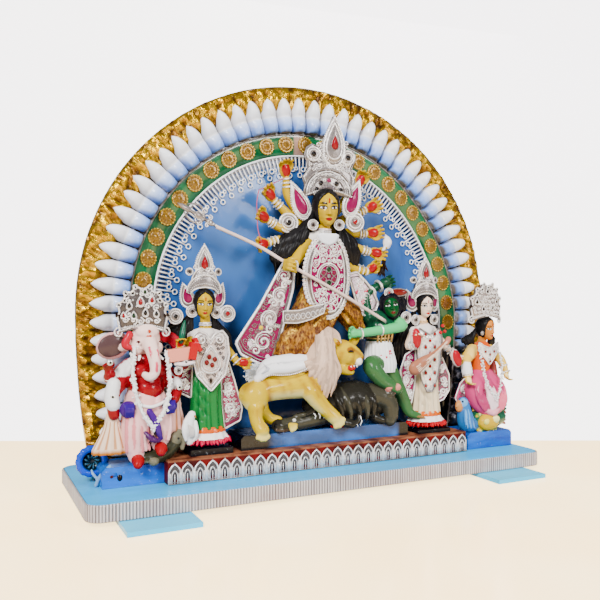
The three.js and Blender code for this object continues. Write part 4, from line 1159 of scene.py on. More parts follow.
def make_goddess_body():
    body, gear = Clay(), Craft()
    body.limb([(8, -13, 258, 6), (7, -12, 250, 6.4), (6, -9, 240, 9)], GOLDEN, 20)
    body.limb([(5, -8, 238, 14), (4, -8, 222, 16), (4, -8, 206, 14), (4, -9, 190, 14)],
              srgb(240, 236, 230), 24, 0.85)
    body.limb([(-14, -5, 240, 7), (4, -7, 240, 8), (22, -5, 240, 7)], srgb(240, 236, 230), 16)
    for joints in REAR_ARMS:
        arm(body, gear, *joints, 4.7, GOLDEN, 14.5)
    arm(body, gear, (-10, -9, 236), (-27, -14, 216), (-35, -25, 212), (-42, -32, 214), 5.6, GOLDEN, 13,
        open_hand=False, cup=0.5)
    arm(body, gear, (21, -8, 236), (40, -4, 214), (62, -4, 209), (80, -7, 221), 5.2, GOLDEN, 13)
    body.lump((-39, -29, 213), (6.6, 6, 6.6), GOLDEN)
    for k in range(4):
        body.limb([(-44, -30 + k * 0.4, 217 - k * 2.6, 1.9), (-40, -35, 216 - k * 2.6, 1.9),
                   (-35, -34, 214.5 - k * 2.6, 1.7)], GOLDEN, 8)
        body.lump((-39, -36.4, 216 - k * 2.6), (1.5, 0.9, 0.8), PALM)
    goddess = body.piece("goddess_body", [enamel], ["durga"], 0.7)
    gear.piece("goddess_bangles", [foil])


make_goddess_body()


# The faces are moulded with the head. Their parts stand on the usual measures: eyes at half the
# height, the nose a third below the brow, the mouth a third of the way from there to the chin.
# Height, half width, depth in front and depth behind, as shares of the head's height
HEAD_PROFILE = np.array([(0.5, 0.02, 0.02, 0.02), (0.45, 0.17, 0.22, 0.2), (0.35, 0.28, 0.33, 0.33),
                         (0.2, 0.345, 0.395, 0.42), (0.05, 0.355, 0.405, 0.44), (-0.1, 0.335, 0.4, 0.4),
                         (-0.25, 0.29, 0.39, 0.32), (-0.38, 0.205, 0.37, 0.24), (-0.46, 0.125, 0.32, 0.2),
                         (-0.5, 0.03, 0.2, 0.1)])
EYE_X, BROW_Z, NOSE_Z, MOUTH_Z = 0.15, 0.10, -0.19, -0.30


def peak(x, z, at, wide, high=None):
    """1 at one place on the face and less away from it."""
    return np.exp(-((x - at[0]) / wide) ** 2 - ((z - at[1]) / (high or wide)) ** 2)


def head_skin(fine):
    """Points of a head of height 1 around its middle, front to -Y, and where each lies on the face."""
    z = 0.5 * np.cos(np.linspace(0.03, np.pi - 0.02, fine))
    around = np.linspace(-np.pi, np.pi, int(fine * 1.35), endpoint=False)
    around = around - 0.45 * np.sin(around)
    table = HEAD_PROFILE[::-1]
    wide, ahead, behind = (np.interp(z, table[:, 0], table[:, k])[:, None] for k in (1, 2, 3))
    facing = np.cos(around)[None]
    x = wide * np.sin(around)[None]
    y = -np.where(facing > 0, ahead, behind) * facing
    z = z[:, None] + 0 * x
    mirrored = np.abs(x)
    bridge = np.clip((0.1 - z) / 0.27, 0, 1) * (z > NOSE_Z - 0.03) * np.clip((z - NOSE_Z + 0.03) / 0.03, 0, 1)
    relief = (0.095 * bridge * np.exp(-(x / (0.032 + 0.03 * bridge)) ** 2)
              + 0.022 * peak(mirrored, z, (0.05, NOSE_Z + 0.015), 0.026)
              - 0.045 * peak(mirrored, z, (EYE_X - 0.01, 0.01), 0.075, 0.055)
              + 0.036 * peak(mirrored, z, (EYE_X, -0.004), 0.062, 0.03)
              + 0.012 * peak(mirrored, z, (EYE_X, BROW_Z), 0.09, 0.025)
              + 0.012 * peak(mirrored, z, (0.2, -0.13), 0.1)
              + 0.040 * peak(x, z, (0, MOUTH_Z + 0.014), 0.066, 0.017)
              + 0.044 * peak(x, z, (0, MOUTH_Z - 0.024), 0.055, 0.018)
              - 0.020 * peak(x, z, (0, MOUTH_Z - 0.004), 0.085, 0.008)
              + 0.028 * peak(x, z, (0, -0.43), 0.075, 0.05))
    return np.stack([x, y - relief * np.clip(facing * 3, 0, 1), z], -1), facing > 0.15


def face_paint(grid, front, skin, lips, mark, shade):
    """Brows, almond eyes, lips and a forehead mark, painted by brush on the moulded face."""
    x, z = grid[..., 0], grid[..., 2]
    paint = np.ones((*x.shape, 3)) * skin

    def lay(mask, colour):
        share = (1.0 * np.clip(mask, 0, 1) * front)[..., None]
        paint[:] = paint * (1 - share) + np.array(colour) * share

    mirrored = np.abs(x)
    dx = (mirrored - EYE_X) / 0.094
    lid = 0.042 * np.sqrt(np.clip(1 - dx ** 2, 0, 1))
    lay(peak(mirrored, z, (0.21, -0.15), 0.09) * 0.35, shade)
    lay(peak(mirrored, z, (EYE_X, 0.035), 0.09, 0.03) * 0.3, shade)
    eye_z = z - 0.012 * np.clip(dx, -1, 2)
    lay((np.abs(eye_z) < lid) & (np.abs(dx) < 1), (0.9, 0.88, 0.86))
    lay(((mirrored - EYE_X) ** 2 + (eye_z - 0.004) ** 2 < 0.038 ** 2) & (np.abs(eye_z) < lid),
        (0.05, 0.02, 0.012))
    lay((mirrored - EYE_X) ** 2 + (eye_z - 0.004) ** 2 < 0.014 ** 2, (0.004, 0.003, 0.003))
    lay((np.abs(eye_z - lid) < 0.019) & (dx > -1.05) & (dx < 1.35), BLACK)
    lay((np.abs(eye_z + lid) < 0.010) & (np.abs(dx) < 1.1), BLACK)
    brow = BROW_Z - 0.012 + 0.03 * (1 - ((mirrored - 0.17) / 0.13) ** 2)
    thick = 0.024 * np.clip((0.30 - mirrored) / 0.12, 0.25, 1)
    lay((np.abs(z - brow) < thick) & (mirrored > 0.055) & (mirrored < 0.295), BLACK)
    bow = 0.024 * (1 - (x / 0.1) ** 2) + 0.012 * np.exp(-((mirrored - 0.03) / 0.02) ** 2)
    lay((z - MOUTH_Z < bow * 1.25) & (z - MOUTH_Z > -0.055 * (1 - (x / 0.1) ** 2)) & (mirrored < 0.108), lips)
    lay((np.abs(z - MOUTH_Z + 0.003 - 0.05 * x ** 2) < 0.004) & (mirrored < 0.095), deeper(lips, 0.35))
    lay((x / 0.018) ** 2 + ((z - 0.2) / 0.055) ** 2 < 1, mark)
    lay((x / 0.03) ** 2 + ((z - 0.135) / 0.022) ** 2 < 1, mark)
    lay((mirrored < 0.014) & (np.abs(z + 0.012 - NOSE_Z) < 0.004), deeper(skin, 0.5))
    return paint


def posed(grid, size, centre, turn=0.0, nod=0.0, roll=0.0):
    """A head-shaped grid of height 1 at its size and place; turn swings it to the viewer's left."""
    spin = Matrix.Rotation(math.radians(-turn), 3, "Z") @ Matrix.Rotation(math.radians(nod), 3, "X")
    spin = spin @ Matrix.Rotation(math.radians(roll), 3, "Y")
    return grid * size @ np.array(spin).T + np.asarray(centre, float)


def make_face(name, size, centre, pose, skin, lips=PALM, mark=srgb(190, 20, 30), fine=76):
    head = Craft()
    grid, front = head_skin(fine)
    paint = face_paint(grid, front, skin, lips, mark, deeper(skin, 0.75))
    head.skin(posed(grid, size, centre, *pose), paint)
    head.piece(name, [enamel])


def hair_cap(craft, size, centre, pose, opening=(0.262, 0.37, -0.03), paint=BLACK, swell=1.09, part=0.05):
    """Combed hair over the head, drawn back from an opening for the face that rises to the parting."""
    grid, _ = head_skin(60)
    x, y, z = grid[..., 0], grid[..., 1], grid[..., 2]
    up = np.clip((z - opening[2]) / (opening[1] + part * np.exp(-(x / 0.05) ** 2)), -3, 3)
    inside = np.sqrt((x / opening[0]) ** 2 + np.where(up > 0, up ** 2, (up * 0.75) ** 2))
    ease = np.clip((inside - 0.94) / 0.12, 0, 1)
    grow = np.where(y < 0.05, 0.86 + (swell - 0.86) * ease ** 0.5, swell)
    comb = 0.008 * np.sin(40 * np.arctan2(x, z + 0.3)) * (grow > 1)
    hair = np.stack([x * (grow + comb), y * (grow + comb), z * (grow + comb)], -1)
    craft.skin(posed(hair, size, centre, *pose), paint)


def wavy_lock(craft, start, end, thick, rng, paint=BLACK, waves=2.5, sway=2.2, bow=(0, 0, 0)):
    """One long lock, waved, from a thick root to a thin end."""
    t = np.linspace(0, 1, 18)[:, None]
    start, end = np.asarray(start, float), np.asarray(end, float)
    path = start * (1 - t) + end * t + np.asarray(bow, float) * np.sin(t * np.pi)
    phase = rng.uniform(0, 6.28)
    wave = np.sin(t * waves * 2 * np.pi + phase) * sway * (0.2 + 0.8 * t)
    path = path + wave * (0.8, 0.35, 0)
    radius = thick * (0.75 + 0.35 * np.sin(t[:, 0] * np.pi)) * np.clip((1.02 - t[:, 0]) * 5, 0.12, 1)
    craft.tube(path, radius, np.array(paint) * rng.uniform(0.7, 1.6), 6, flat=0.8)


def hair_gloss(w):
    place = w.place()
    strands = place.stretched(2.2, 2.2, 0.3).noise(2.4, 3)
    return {"Base Color": strands.within(0.45, 0.75).mix(w.attribute("paint"), (0.012, 0.011, 0.012)),
            "Roughness": strands * 0.3 + 0.2, "Normal": strands.bump(0.4, 0.6)}


hair_black = finish("hair_black", hair_gloss, Coat_Weight=0.06, Coat_Roughness=0.12, Specular_IOR_Level=0.04)
HEAD, HEAD_POSE = 37, (14, 2, 0)
make_face("goddess_face", HEAD, (8, -15, 271), HEAD_POSE, GOLDEN, fine=104)


def make_goddess_hair():
    rng = np.random.default_rng(12)
    hair = Craft()
    hair_cap(hair, HEAD, (8, -14.6, 271.5), HEAD_POSE)
    for side in (-1, 1):
        for k in range(17):
            share = k / 16
            root = (8 + side * (11 + 4 * share), -10 + 9 * share + rng.normal(0, 0.6), 268 - 14 * share)
            reach = 20 + 27 * share if side < 0 else 17 + 24 * share
            end = (4 + side * reach + rng.normal(0, 1.5), -6 + 4 * share,
                   210 - 14 * (1 - share) + rng.normal(0, 4))
            wavy_lock(hair, root, end, 3.6, rng, bow=(side * (6 + 10 * share), -3, 2))
    for k in range(12):
        x = -26 + k * 5.6
        wavy_lock(hair, (8 + (x - 6) * 0.4, 2, 262), (x, 3, 198 + rng.normal(0, 4)), 4.2, rng)
    hair.piece("goddess_hair", [hair_black])


make_goddess_hair()


# Her skirt is crinkled brown and gold brocade paper, gathered at the waist and pulled to her left knee.
# Her feet come out under it, one on the lion's back.
BROCADE, BROCADE_CREASE_SHADE = (0.30, 0.125, 0.012), (0.075, 0.02, 0.004)


def drape(levels, folds, deep, rows, cols, twist=0.0, sharp=1.0):
    """Gathered cloth as closed rings: [x, y, z, half width, half depth] from top to hem, with folds."""
    run = smooth_path(levels, max(rows // (len(levels) - 1), 2))
    t = np.linspace(0, 1, len(run))[:, None]
    a = np.linspace(0, 2 * np.pi, cols, endpoint=False)[None]
    wave = np.cos(folds * a + twist * t + 0.8 * np.sin(2 * a + 3 * t))
    wave = np.sign(wave) * np.abs(wave) ** sharp
    out = 1 + deep * (0.25 + 0.75 * t) * wave
    x = run[:, 0:1] + run[:, 3:4] * out * np.cos(a)
    y = run[:, 1:2] - run[:, 4:5] * out * np.sin(a)
    return np.stack([x, y, run[:, 2:3] + 0 * a], -1)


def brocade(w):
    place = w.place()
    crinkle = place.stretched(1, 1, 0.45).noise(2.0, 4, 0.6)
    gilt = place.noise(11, 2).within(0.56, 0.68) * place.noise(2.6, 2).within(0.4, 0.6)
    # Painted shade: the paper goes dark brown in the low parts of its crinkles.
    tone = crinkle.within(0.4, 0.62).mix(BROCADE_CREASE_SHADE, w.attribute("paint"))
    return {"Base Color": gilt.mix(tone, (0.66, 0.40, 0.03)), "Metallic": gilt * 0.5 + crinkle * 0.25,
            "Roughness": crinkle * 0.4 + 0.14, "Normal": crinkle.bump(1.1, 0.8)}


def crinkled(grid, size, amount, rng):
    """The same sheet pushed in and out at random, as creased paper is."""
    wild = crumple(rng, grid.shape[0], grid.shape[1], size) * amount
    wild[:, :3] = wild[:, -3:] = 0
    centre = grid.mean(1, keepdims=True)
    return grid + unit_rows((grid - centre).reshape(-1, 3)).reshape(grid.shape) * wild[..., None]


def make_goddess_skirt():
    rng = np.random.default_rng(31)
    skirt = Craft()
    levels = [(3, -9, 200, 15, 12), (2, -10, 186, 20, 14), (-4, -12, 166, 26, 17), (-16, -13, 146, 28, 18),
              (-27, -14, 127, 24, 16)]
    main = drape(levels, 9, 0.07, 52, 140, twist=1.6)
    skirt.skin(crinkled(main, (3, 4), 1.5, rng), BROCADE)
    levels = [(14, -10, 190, 14, 12), (26, -12, 176, 17, 14), (37, -13, 160, 13, 12), (44, -14, 146, 8, 8)]
    knee = drape(levels, 7, 0.09, 40, 92, twist=2.0)
    skirt.skin(crinkled(knee, (3, 4), 1.3, rng), deeper(BROCADE, 1.1))
    skirt.piece("goddess_skirt", [finish("brocade_paper", brocade)])
    foot = Clay()
    foot.limb([(-24, -14, 132, 8), (-26, -17, 124, 6), (-31, -24, 119, 4.6), (-36, -30, 117.5, 3.2)], GOLDEN)
    foot.limb([(42, -14, 150, 7), (38, -20, 140, 5), (30, -26, 134, 4)], GOLDEN)
    foot.piece("goddess_feet", [enamel], (), 0.7)


make_goddess_skirt()


# The dress of the goddess is stamped silver paper sewn with glass stones: a tall crown, an oval
# breastplate with a scalloped edge, two stiff wings of cerise cloth and a belt.
RUBY, CERISE_STONE = (0.24, 0.0, 0.006), (0.16, 0.0, 0.03)
EMERALD, GARNET = srgb(10, 92, 62), srgb(64, 12, 26)
CERISE, PALE_PINK = (0.20, 0.0, 0.052), (0.80, 0.60, 0.66)
STONE_SLATE = srgb(52, 50, 58)


def oval(cx, cz, rx, rz, count=40, start=0.0):
    """An oval outline in the plane of the arch."""
    a = np.linspace(0, 2 * np.pi, count, endpoint=False) + start
    return np.column_stack([cx + rx * np.cos(a), cz + rz * np.sin(a)])


def drop(cx, cz, rx, rz, count=40, lean=0.0):
    """A teardrop outline with its point up, leaning clockwise by lean degrees."""
    a = np.linspace(0, 2 * np.pi, count, endpoint=False)
    x = rx * np.sin(a) * np.sin(a / 2) ** 1.15 * 1.18
    z = rz * np.cos(a)
    c, s = math.cos(math.radians(lean)), math.sin(math.radians(lean))
    return np.column_stack([cx + x * c + z * s, cz - x * s + z * c])


def around(outline, share, add=0.0):
    """An outline drawn in towards its middle, by a share and by so many millimetres."""
    middle = (outline.max(0) + outline.min(0)) / 2
    away = outline - middle
    length = np.linalg.norm(away, axis=1, keepdims=True) + 1e-9
    return middle + away * share + away / length * add


def within_outline(spot, outline, margin=0.0):
    """Whether a spot lies inside an outline and at least margin from its corners."""
    a, b = outline, np.roll(outline, -1, 0)
    crossed = (a[:, 1] > spot[1]) != (b[:, 1] > spot[1])
    at = a[:, 0] + (spot[1] - a[:, 1]) * (b[:, 0] - a[:, 0]) / (b[:, 1] - a[:, 1] + 1e-12)
    return (crossed & (at > spot[0])).sum() % 2 == 1 and np.linalg.norm(outline - spot, axis=1).min() > margin


class Foil(Craft):
    """Ornament stamped and sewn on a panel: laid out flat in x and z, then domed, leant and set in place."""

    def __init__(self, middle, y, dome=0.0, reach=1.0, turn=0.0, lean=0.0):
        super().__init__()
        self.middle, self.y, self.dome, self.reach = np.asarray(middle, float), y, dome, reach
        self.turn, self.lean = math.radians(turn), math.radians(lean)

    def lay(self, flat, lift=0.0):
        """x, z points to their place; lift is how far they stand proud of the panel."""
        flat = np.asarray(flat, float)
        u, v = flat[..., 0] - self.middle[0], flat[..., 1] - self.middle[1]
        w = lift + self.dome * (1 - (u / self.reach) ** 2)
        c, s = math.cos(self.lean), math.sin(self.lean)
        u, v = u * c + v * s, v * c - u * s
        c, s = math.cos(self.turn), math.sin(self.turn)
        x, y = u * c - w * s, -w * c - u * s
        return np.stack([self.middle[0] + x, self.y + y, self.middle[1] + v], -1)

    def plate(self, outline, lift=0.0, thick=1.2, paint=SILVER, rings=8, bulge=0.0):
        """A plate with a back, domed by bulge towards its middle."""
        outline = np.asarray(outline, float)
        middle = (outline.max(0) + outline.min(0)) / 2
        shares = np.linspace(0.02, 1, (rings + 3) // 2)
        rows = [self.lay(middle + (outline - middle) * s, lift + bulge * (1 - s ** 2)) for s in shares]
        rows += [self.lay(middle + (outline - middle) * s, lift - thick) for s in (1, 0.5, 0.02)]
        self.sheet(np.array(rows), paint, False, True)

    def wire(self, path, lift=0.4, radius=0.6, paint=WHITE_SILVER, closed=True, sides=4):
        self.tube(self.lay(path, lift), radius, paint, sides, closed)

    def framed(self, outline, plate, rim):
        """A plate with a wire round it, each with the values that plate and wire take."""
        self.plate(outline, *plate)
        self.wire(outline, *rim)

    def beads(self, path, pitch, lift=0.4, radius=0.7, paint=WHITE_SILVER, closed=True):
        for spot in evenly(path, pitch, closed):
            self.ball(self.lay(spot, lift), radius, paint, 3)

    def stone(self, centre, radii, colour, lift=0.6, lean=None, mount=True):
        """A glass stone in its mount, round, or a drop where lean is given."""
        shape = oval(*centre, *radii, 18) if lean is None else drop(*centre, *radii, 22, lean)
        self.plate(shape, lift, 0.6, (*colour[:3], 0.0), 5, min(radii) * 0.5)
        if mount:
            self.wire(around(shape, 1.0, 0.25), lift, 0.42, SILVER, True, 5)

    def scroll(self, centre, radius, start, turns=1.4, hand=1, lift=0.4, thick=0.5, paint=WHITE_SILVER):
        """A wire that curls in on itself to a bead."""
        a = np.linspace(0, 1, int(11 * turns) + 3)
        r = radius * (1 - 0.84 * a)
        angle = math.radians(start) + hand * a * turns * 2 * np.pi
        path = np.column_stack([centre[0] + r * np.cos(angle), centre[1] + r * np.sin(angle)])
        self.wire(path, lift, thick, paint, False, 4)
        self.ball(self.lay(path[-1], lift), thick * 1.5, paint, 3)

    def filigree(self, outline, size, seed, lift=0.5, thick=0.42, paint=WHITE_SILVER, keep=None):
        """Small curls and beads all over the inside of an outline, as the foil is stamped."""
        rng = np.random.default_rng(seed)
        outline = np.asarray(outline, float)
        low, high = outline.min(0), outline.max(0)
        side = 1
        for i, v in enumerate(np.arange(low[1] + size, high[1], size * 1.9)):
            for u in np.arange(low[0] + size * (1 + (i % 2)), high[0], size * 2.15):
                spot = np.array((u, v)) + rng.normal(0, size * 0.12, 2)
                side = -side
                if within_outline(spot, outline, size * 0.9) and (keep is None or keep(spot)):
                    self.scroll(spot, size * rng.uniform(0.85, 1.1), rng.choice((0, 90, 180, 270)), 1.15,
                                side, lift, thick, paint)
                near = spot + (size * 1.05, size * 0.2)
                if within_outline(near, outline, size * 0.5) and (keep is None or keep(near)):
                    self.ball(self.lay(near, lift), thick * 1.3, paint, 3)


def make_goddess_crown():
    crown = Foil((14, 318), -10, turn=8)
    tear = drop(19, 340, 12.6, 25, 48, 2)
    stages = np.array([(-12, 288), (-12, 296), (-14, 302), (-8, 311), (-9, 318), (-12, 324), (-10, 332),
                       (-4, 336), (4, 333), (8, 340), (12, 350), (19, 366), (26, 350), (30, 340), (33, 331),
                       (40, 332), (43, 325), (40, 317), (37, 311), (42, 301), (41, 294),
                       (40, 288), (14, 284)])
    crown.plate(evenly(stages, 2.2), 0, 2.4, SILVER, 10, 2.0)
    rim = evenly(stages[1:-2], 2.4, False)
    crown.wire(rim, 0.3, 0.9, SILVER)
    crown.wire(around(rim, 1.0, -2.2), 0.4, 0.54)
    crown.framed(tear, (2.0, 2.4, SILVER, 8, 2.6), (2.4, 1.0))
    crown.wire(around(tear, 0.74), 3.4, 0.8)
    crown.beads(around(tear, 0.88), 1.7, 3.0, 0.55)
    crown.beads(around(tear, 1.0, 1.2), 2.4, 1.8, 0.9)
    crown.stone((19, 338), (4.2, 7.4), RUBY, 4.8, 0)
    for x, z in ((-3, 326), (34, 324)):
        crown.framed(oval(x, z, 6.8, 6.8), (2, 2.4, SILVER, 6, 1), (2.2, 0.9))
        crown.wire(oval(x, z, 4.4, 4.4), 2.9, 0.6)
        crown.stone((x, z), (2.6, 2.6), STONE_SLATE, 2.8)
    half = np.linspace(0, np.pi, 30)
    centre = np.array((12, 286))
    for radius, thick, tint, lift in ((25.5, 1.2, SILVER, 4.0), (23.0, 0.7, WHITE_SILVER, 4.6),
                                      (17.6, 0.8, SILVER, 5.4)):
        crown.wire(centre + np.column_stack([np.cos(half) * radius, np.sin(half) * radius * 0.98]), lift,
                   thick, tint, False)
    fan = np.vstack([centre + np.column_stack([np.cos(half) * 25, np.sin(half) * 25]),
                     [(-13, 283), (12, 287), (37, 283)]])
    crown.plate(evenly(fan, 2.2), 3.0, 4.0, SILVER, 8, 2.6)
    crown.beads(centre + np.column_stack([np.cos(half) * 20.4, np.sin(half) * 20]), 1.9, 5.2,
                0.75, closed=False)
    for k, a in enumerate(np.radians([18, 52, 90, 128, 162])):
        spot = centre + np.array((np.cos(a), np.sin(a))) * 13.4
        crown.stone(spot, (2.4, 2.4), srgb(170, 80, 120) if k == 2 else STONE_SLATE, 5.4)
        crown.scroll(spot + (np.cos(a + 1.5) * 4.2, np.sin(a + 1.5) * 4.2), 2.3, 90, 1.1, 1, 5.2)
    for a in np.linspace(0.14 * np.pi, 0.86 * np.pi, 8):
        spot = centre + np.array((np.cos(a), np.sin(a))) * 8.0
        crown.plate(drop(*spot, 1.4, 2.6, 12, 90 - math.degrees(a)), 5.6, 0.5, (0.1, 0.08, 0.09, 0.2), 3)
    for x, z, start, hand in ((3, 314, 200, 1), (24, 314, -20, -1), (2, 335, 240, 1), (32, 338, -60, -1),
                              (10, 322, 160, -1), (28, 318, 20, 1), (14, 315, 90, 1), (7, 329, 300, -1)):
        crown.scroll((x, z), 3.6, start, 1.3, hand, 2.6, 0.55)
    crown.filigree(evenly(stages, 2.2), 2.5, 3, 2.2, 0.48, keep=lambda p: not within_outline(p, tear, -9)
                   and p[1] > 309)
    crown.filigree(evenly(fan, 2.2), 2.1, 4, 5.0, 0.4, keep=lambda p: p[1] > 292)
    crown.beads([(-12, 284), (0, 288.5), (12, 290), (24, 288.5), (36, 284)], 1.9, 6.2, 0.95, closed=False)
    return crown


def crown_side(crown, x, z, lean):
    """A leaf beside the crown: a cerise drop in a silver frame."""
    wide, high = 9.4, 19.5
    leaf = drop(x, z, wide, high, 44, lean)
    crown.framed(leaf, (1.4, 2.0, SILVER, 8, 1.2), (1.6, 1.0))
    crown.wire(around(leaf, 0.9), 2.1, 0.5)
    crown.beads(around(leaf, 1.0, 1.3), 2.3, 1.2, 0.85)
    inner = around(drop(x, z - high * 0.03, wide * 0.74, high * 0.78, 36, lean), 1.0)
    crown.framed(inner, (2.3, 1.0, (*CERISE, 0.05), 6, 1.2), (2.6, 0.6))


def ear_disc(crown, x, z, radius, stone, lift=1.0):
    """A round boss with a ringed rim and a stone at its middle."""
    crown.framed(oval(x, z, radius, radius), (lift, 2.2, SILVER, 6, 1.0), (lift + 0.3, radius * 0.12))
    crown.wire(oval(x, z, radius * 0.68, radius * 0.68), lift + 0.9, radius * 0.08)
    crown.beads(oval(x, z, radius * 0.84, radius * 0.84), 1.7, lift + 0.8, 0.45)
    crown.stone((x, z), (radius * 0.3, radius * 0.3), stone, lift + 1.2)


def dress_goddess_head():
    crown = make_goddess_crown()
    for x, z, lean in ((-18, 279, -24), (40, 283, 20)):
        crown_side(crown, x, z, lean)
    for x, z, stone in ((-29, 256, STONE_SLATE), (42, 259, RUBY)):
        ear_disc(crown, x, z, 9.2, stone)
        crown.scroll((x, z + 1), 5.4, 200, 1.2, 1 if x < 0 else -1, 2.6, 0.55)
    crown.piece("goddess_crown_foil", [foil], ["durga_crown"])
    gear = Foil((8, 262), -19, turn=12)
    for x, z in ((-7.5, 254), (19.5, 254.5)):
        gear.framed(oval(x, z, 4.9, 4.9), (0.5, 1.6, SILVER, 6, 0.8), (1, 0.75))
        gear.wire(oval(x, z, 3.2, 3.2), 1.6, 0.45)
        gear.stone((x, z), (1.7, 1.7), GARNET, 1.8)
    gear.wire([(-1.5, 281), (0, 284), (4, 287), (8, 289), (12, 287), (16, 284), (17.5, 281)], -1.4,
              0.7, closed=False)
    for z, r in ((250.5, 6.9), (248.6, 7.2), (246.6, 7.6)):
        ring(gear, (7, -12.2, z), (0, -0.1, 1), r, 0.95, BANGLE if z < 250 else (0.9, 0.72, 0.7, 0.2))
    for x, z in ((4, 243.4), (8, 242.8), (12, 243.4), (0, 244.6), (16, 244.6)):
        gear.ball((x, -20.6 + abs(x - 8) * 0.3, z), 1.1, BANGLE, 5)
    gear.piece("goddess_earrings_choker", [foil])


dress_goddess_head()


def make_breastplate():
    plate = Foil((4, 203), -24.6, 3.4, 25, turn=4)
    edge = oval(4, 203, 23.6, 41, 72)
    plate.plate(edge, 0, 1.6, SILVER, 12)
    plate.plate(around(edge, 1, -6), 0.25, 0.6, (*CERISE, 0), 10)
    plate.filigree(around(edge, 1, -6), 2.5, 6, 0.75, 0.5,
                   keep=lambda p: np.hypot(p[0] - 4, (p[1] - 203) * 0.9) > 13)
    for spot in evenly(edge, 4.1):
        plate.plate(oval(*spot, 2.5, 2.5, 12), -0.2, 1.2, WHITE_SILVER, 3, 0.7)
        plate.ball(plate.lay(spot, 0.5), 0.7, SILVER, 4)
    plate.wire(around(edge, 1, -1.6), 0.5, 0.8)
    plate.wire(around(edge, 1, -5.6), 0.7, 0.7)
    plate.beads(around(edge, 1, -3.6), 2.0, 0.6, 0.6, SILVER)
    neck = evenly([(-8, 243), (-4, 236), (4, 233), (12, 236), (16, 243), (13, 245), (-5, 245)], 2)
    plate.plate(neck, 1.4, 0.8, (0.86, 0.85, 0.86, 0.0), 6, 0.2)
    for x, z, wide, lean in ((-6, 229, 3, 150), (14, 229, 3, 210), (4, 226, 2.2, 180), (-8, 216, 2.6, 40),
                             (16, 216, 2.6, -40), (0, 221, 2, 200), (8, 221, 2, 160)):
        plate.plate(drop(x, z, wide, wide * 1.8, 14, lean), 0.9, 0.6, (*CERISE, 0), 4, 0.4)
        plate.wire(drop(x, z, wide + 0.5, wide * 1.8 + 0.6, 16, lean), 0.9, 0.42)
    for z in (229, 219, 177, 187):
        for side in (-1, 1):
            plate.scroll((4 + side * 6.2, z), 4.6, 90 + side * 60, 1.3, -side, 1.1, 0.6)
            plate.scroll((4 + side * 12.5, z - 3), 3.2, 90 - side * 60, 1.2, side, 1.0, 0.5)
    plate.wire(oval(4, 203, 11.6, 12.6), 1.1, 0.8)
    plate.wire(oval(4, 203, 9.8, 10.8), 1.2, 0.4)
    for k in range(6):
        a = math.radians(90 + 60 * k)
        colour = EMERALD if k in (0, 3) else CERISE_STONE
        plate.stone((4 + 6.4 * math.cos(a), 203 + 6.6 * math.sin(a)), (2.5, 2.5), colour, 1.5)
    plate.stone((4, 203), (1.5, 1.5), SILVER[:3], 1.5)
    for x, z, lean in ((-4, 184, 200), (12, 184, 160), (4, 181, 180), (-1, 173, 20), (9, 173, -20)):
        plate.plate(drop(x, z, 1.9, 4.2, 14, lean), 1.0, 0.6, (*CERISE, 0), 4, 0.4)
        plate.wire(drop(x, z, 2.5, 4.9, 16, lean), 1.0, 0.42)
    for x, z in ((4, 190), (4, 214.6), (4, 168), (-9, 203), (17, 203), (-10, 194), (18, 194),
                 (-10, 211), (18, 211)):
        plate.ball(plate.lay((x, z), 1.2), 1.0, WHITE_SILVER, 5)
    plate.piece("goddess_breastplate_foil", [foil], ["durga_breastplate"])


make_breastplate()


def strip_of_scrolls(panel, spine, size, hand=1):
    """S scrolls in silver braid one after another along a spine, with small drops between."""
    for k in range(len(spine) - 1):
        a, b = np.array(spine[k], float), np.array(spine[k + 1], float)
        middle, along = (a + b) / 2, unit(b - a)
        across = np.array((-along[1], along[0])) * hand * (1 if k % 2 else -1)
        base = math.degrees(math.atan2(across[1], across[0]))
        grow = size * (0.7 + 0.3 * (k + 1) / (len(spine) - 1))
        large = middle + across * grow * 0.12 - along * grow * 0.35
        small = middle - across * grow * 0.3 + along * grow * 0.62
        way = 1 if k % 2 else -1
        for reach, thick in ((1.0, 0.9), (0.74, 0.45)):
            panel.scroll(large, grow * reach, base + 60, 1.5, way, 0.6, thick)
            panel.scroll(small, grow * 0.6 * reach, base + 200, 1.3, -way, 0.6, thick * 0.85)
        panel.plate(drop(*(middle - across * grow * 0.8), grow * 0.22, grow * 0.5, 14, 90 - base), 0.3, 0.5,
                    WHITE_SILVER, 3, 0.3)


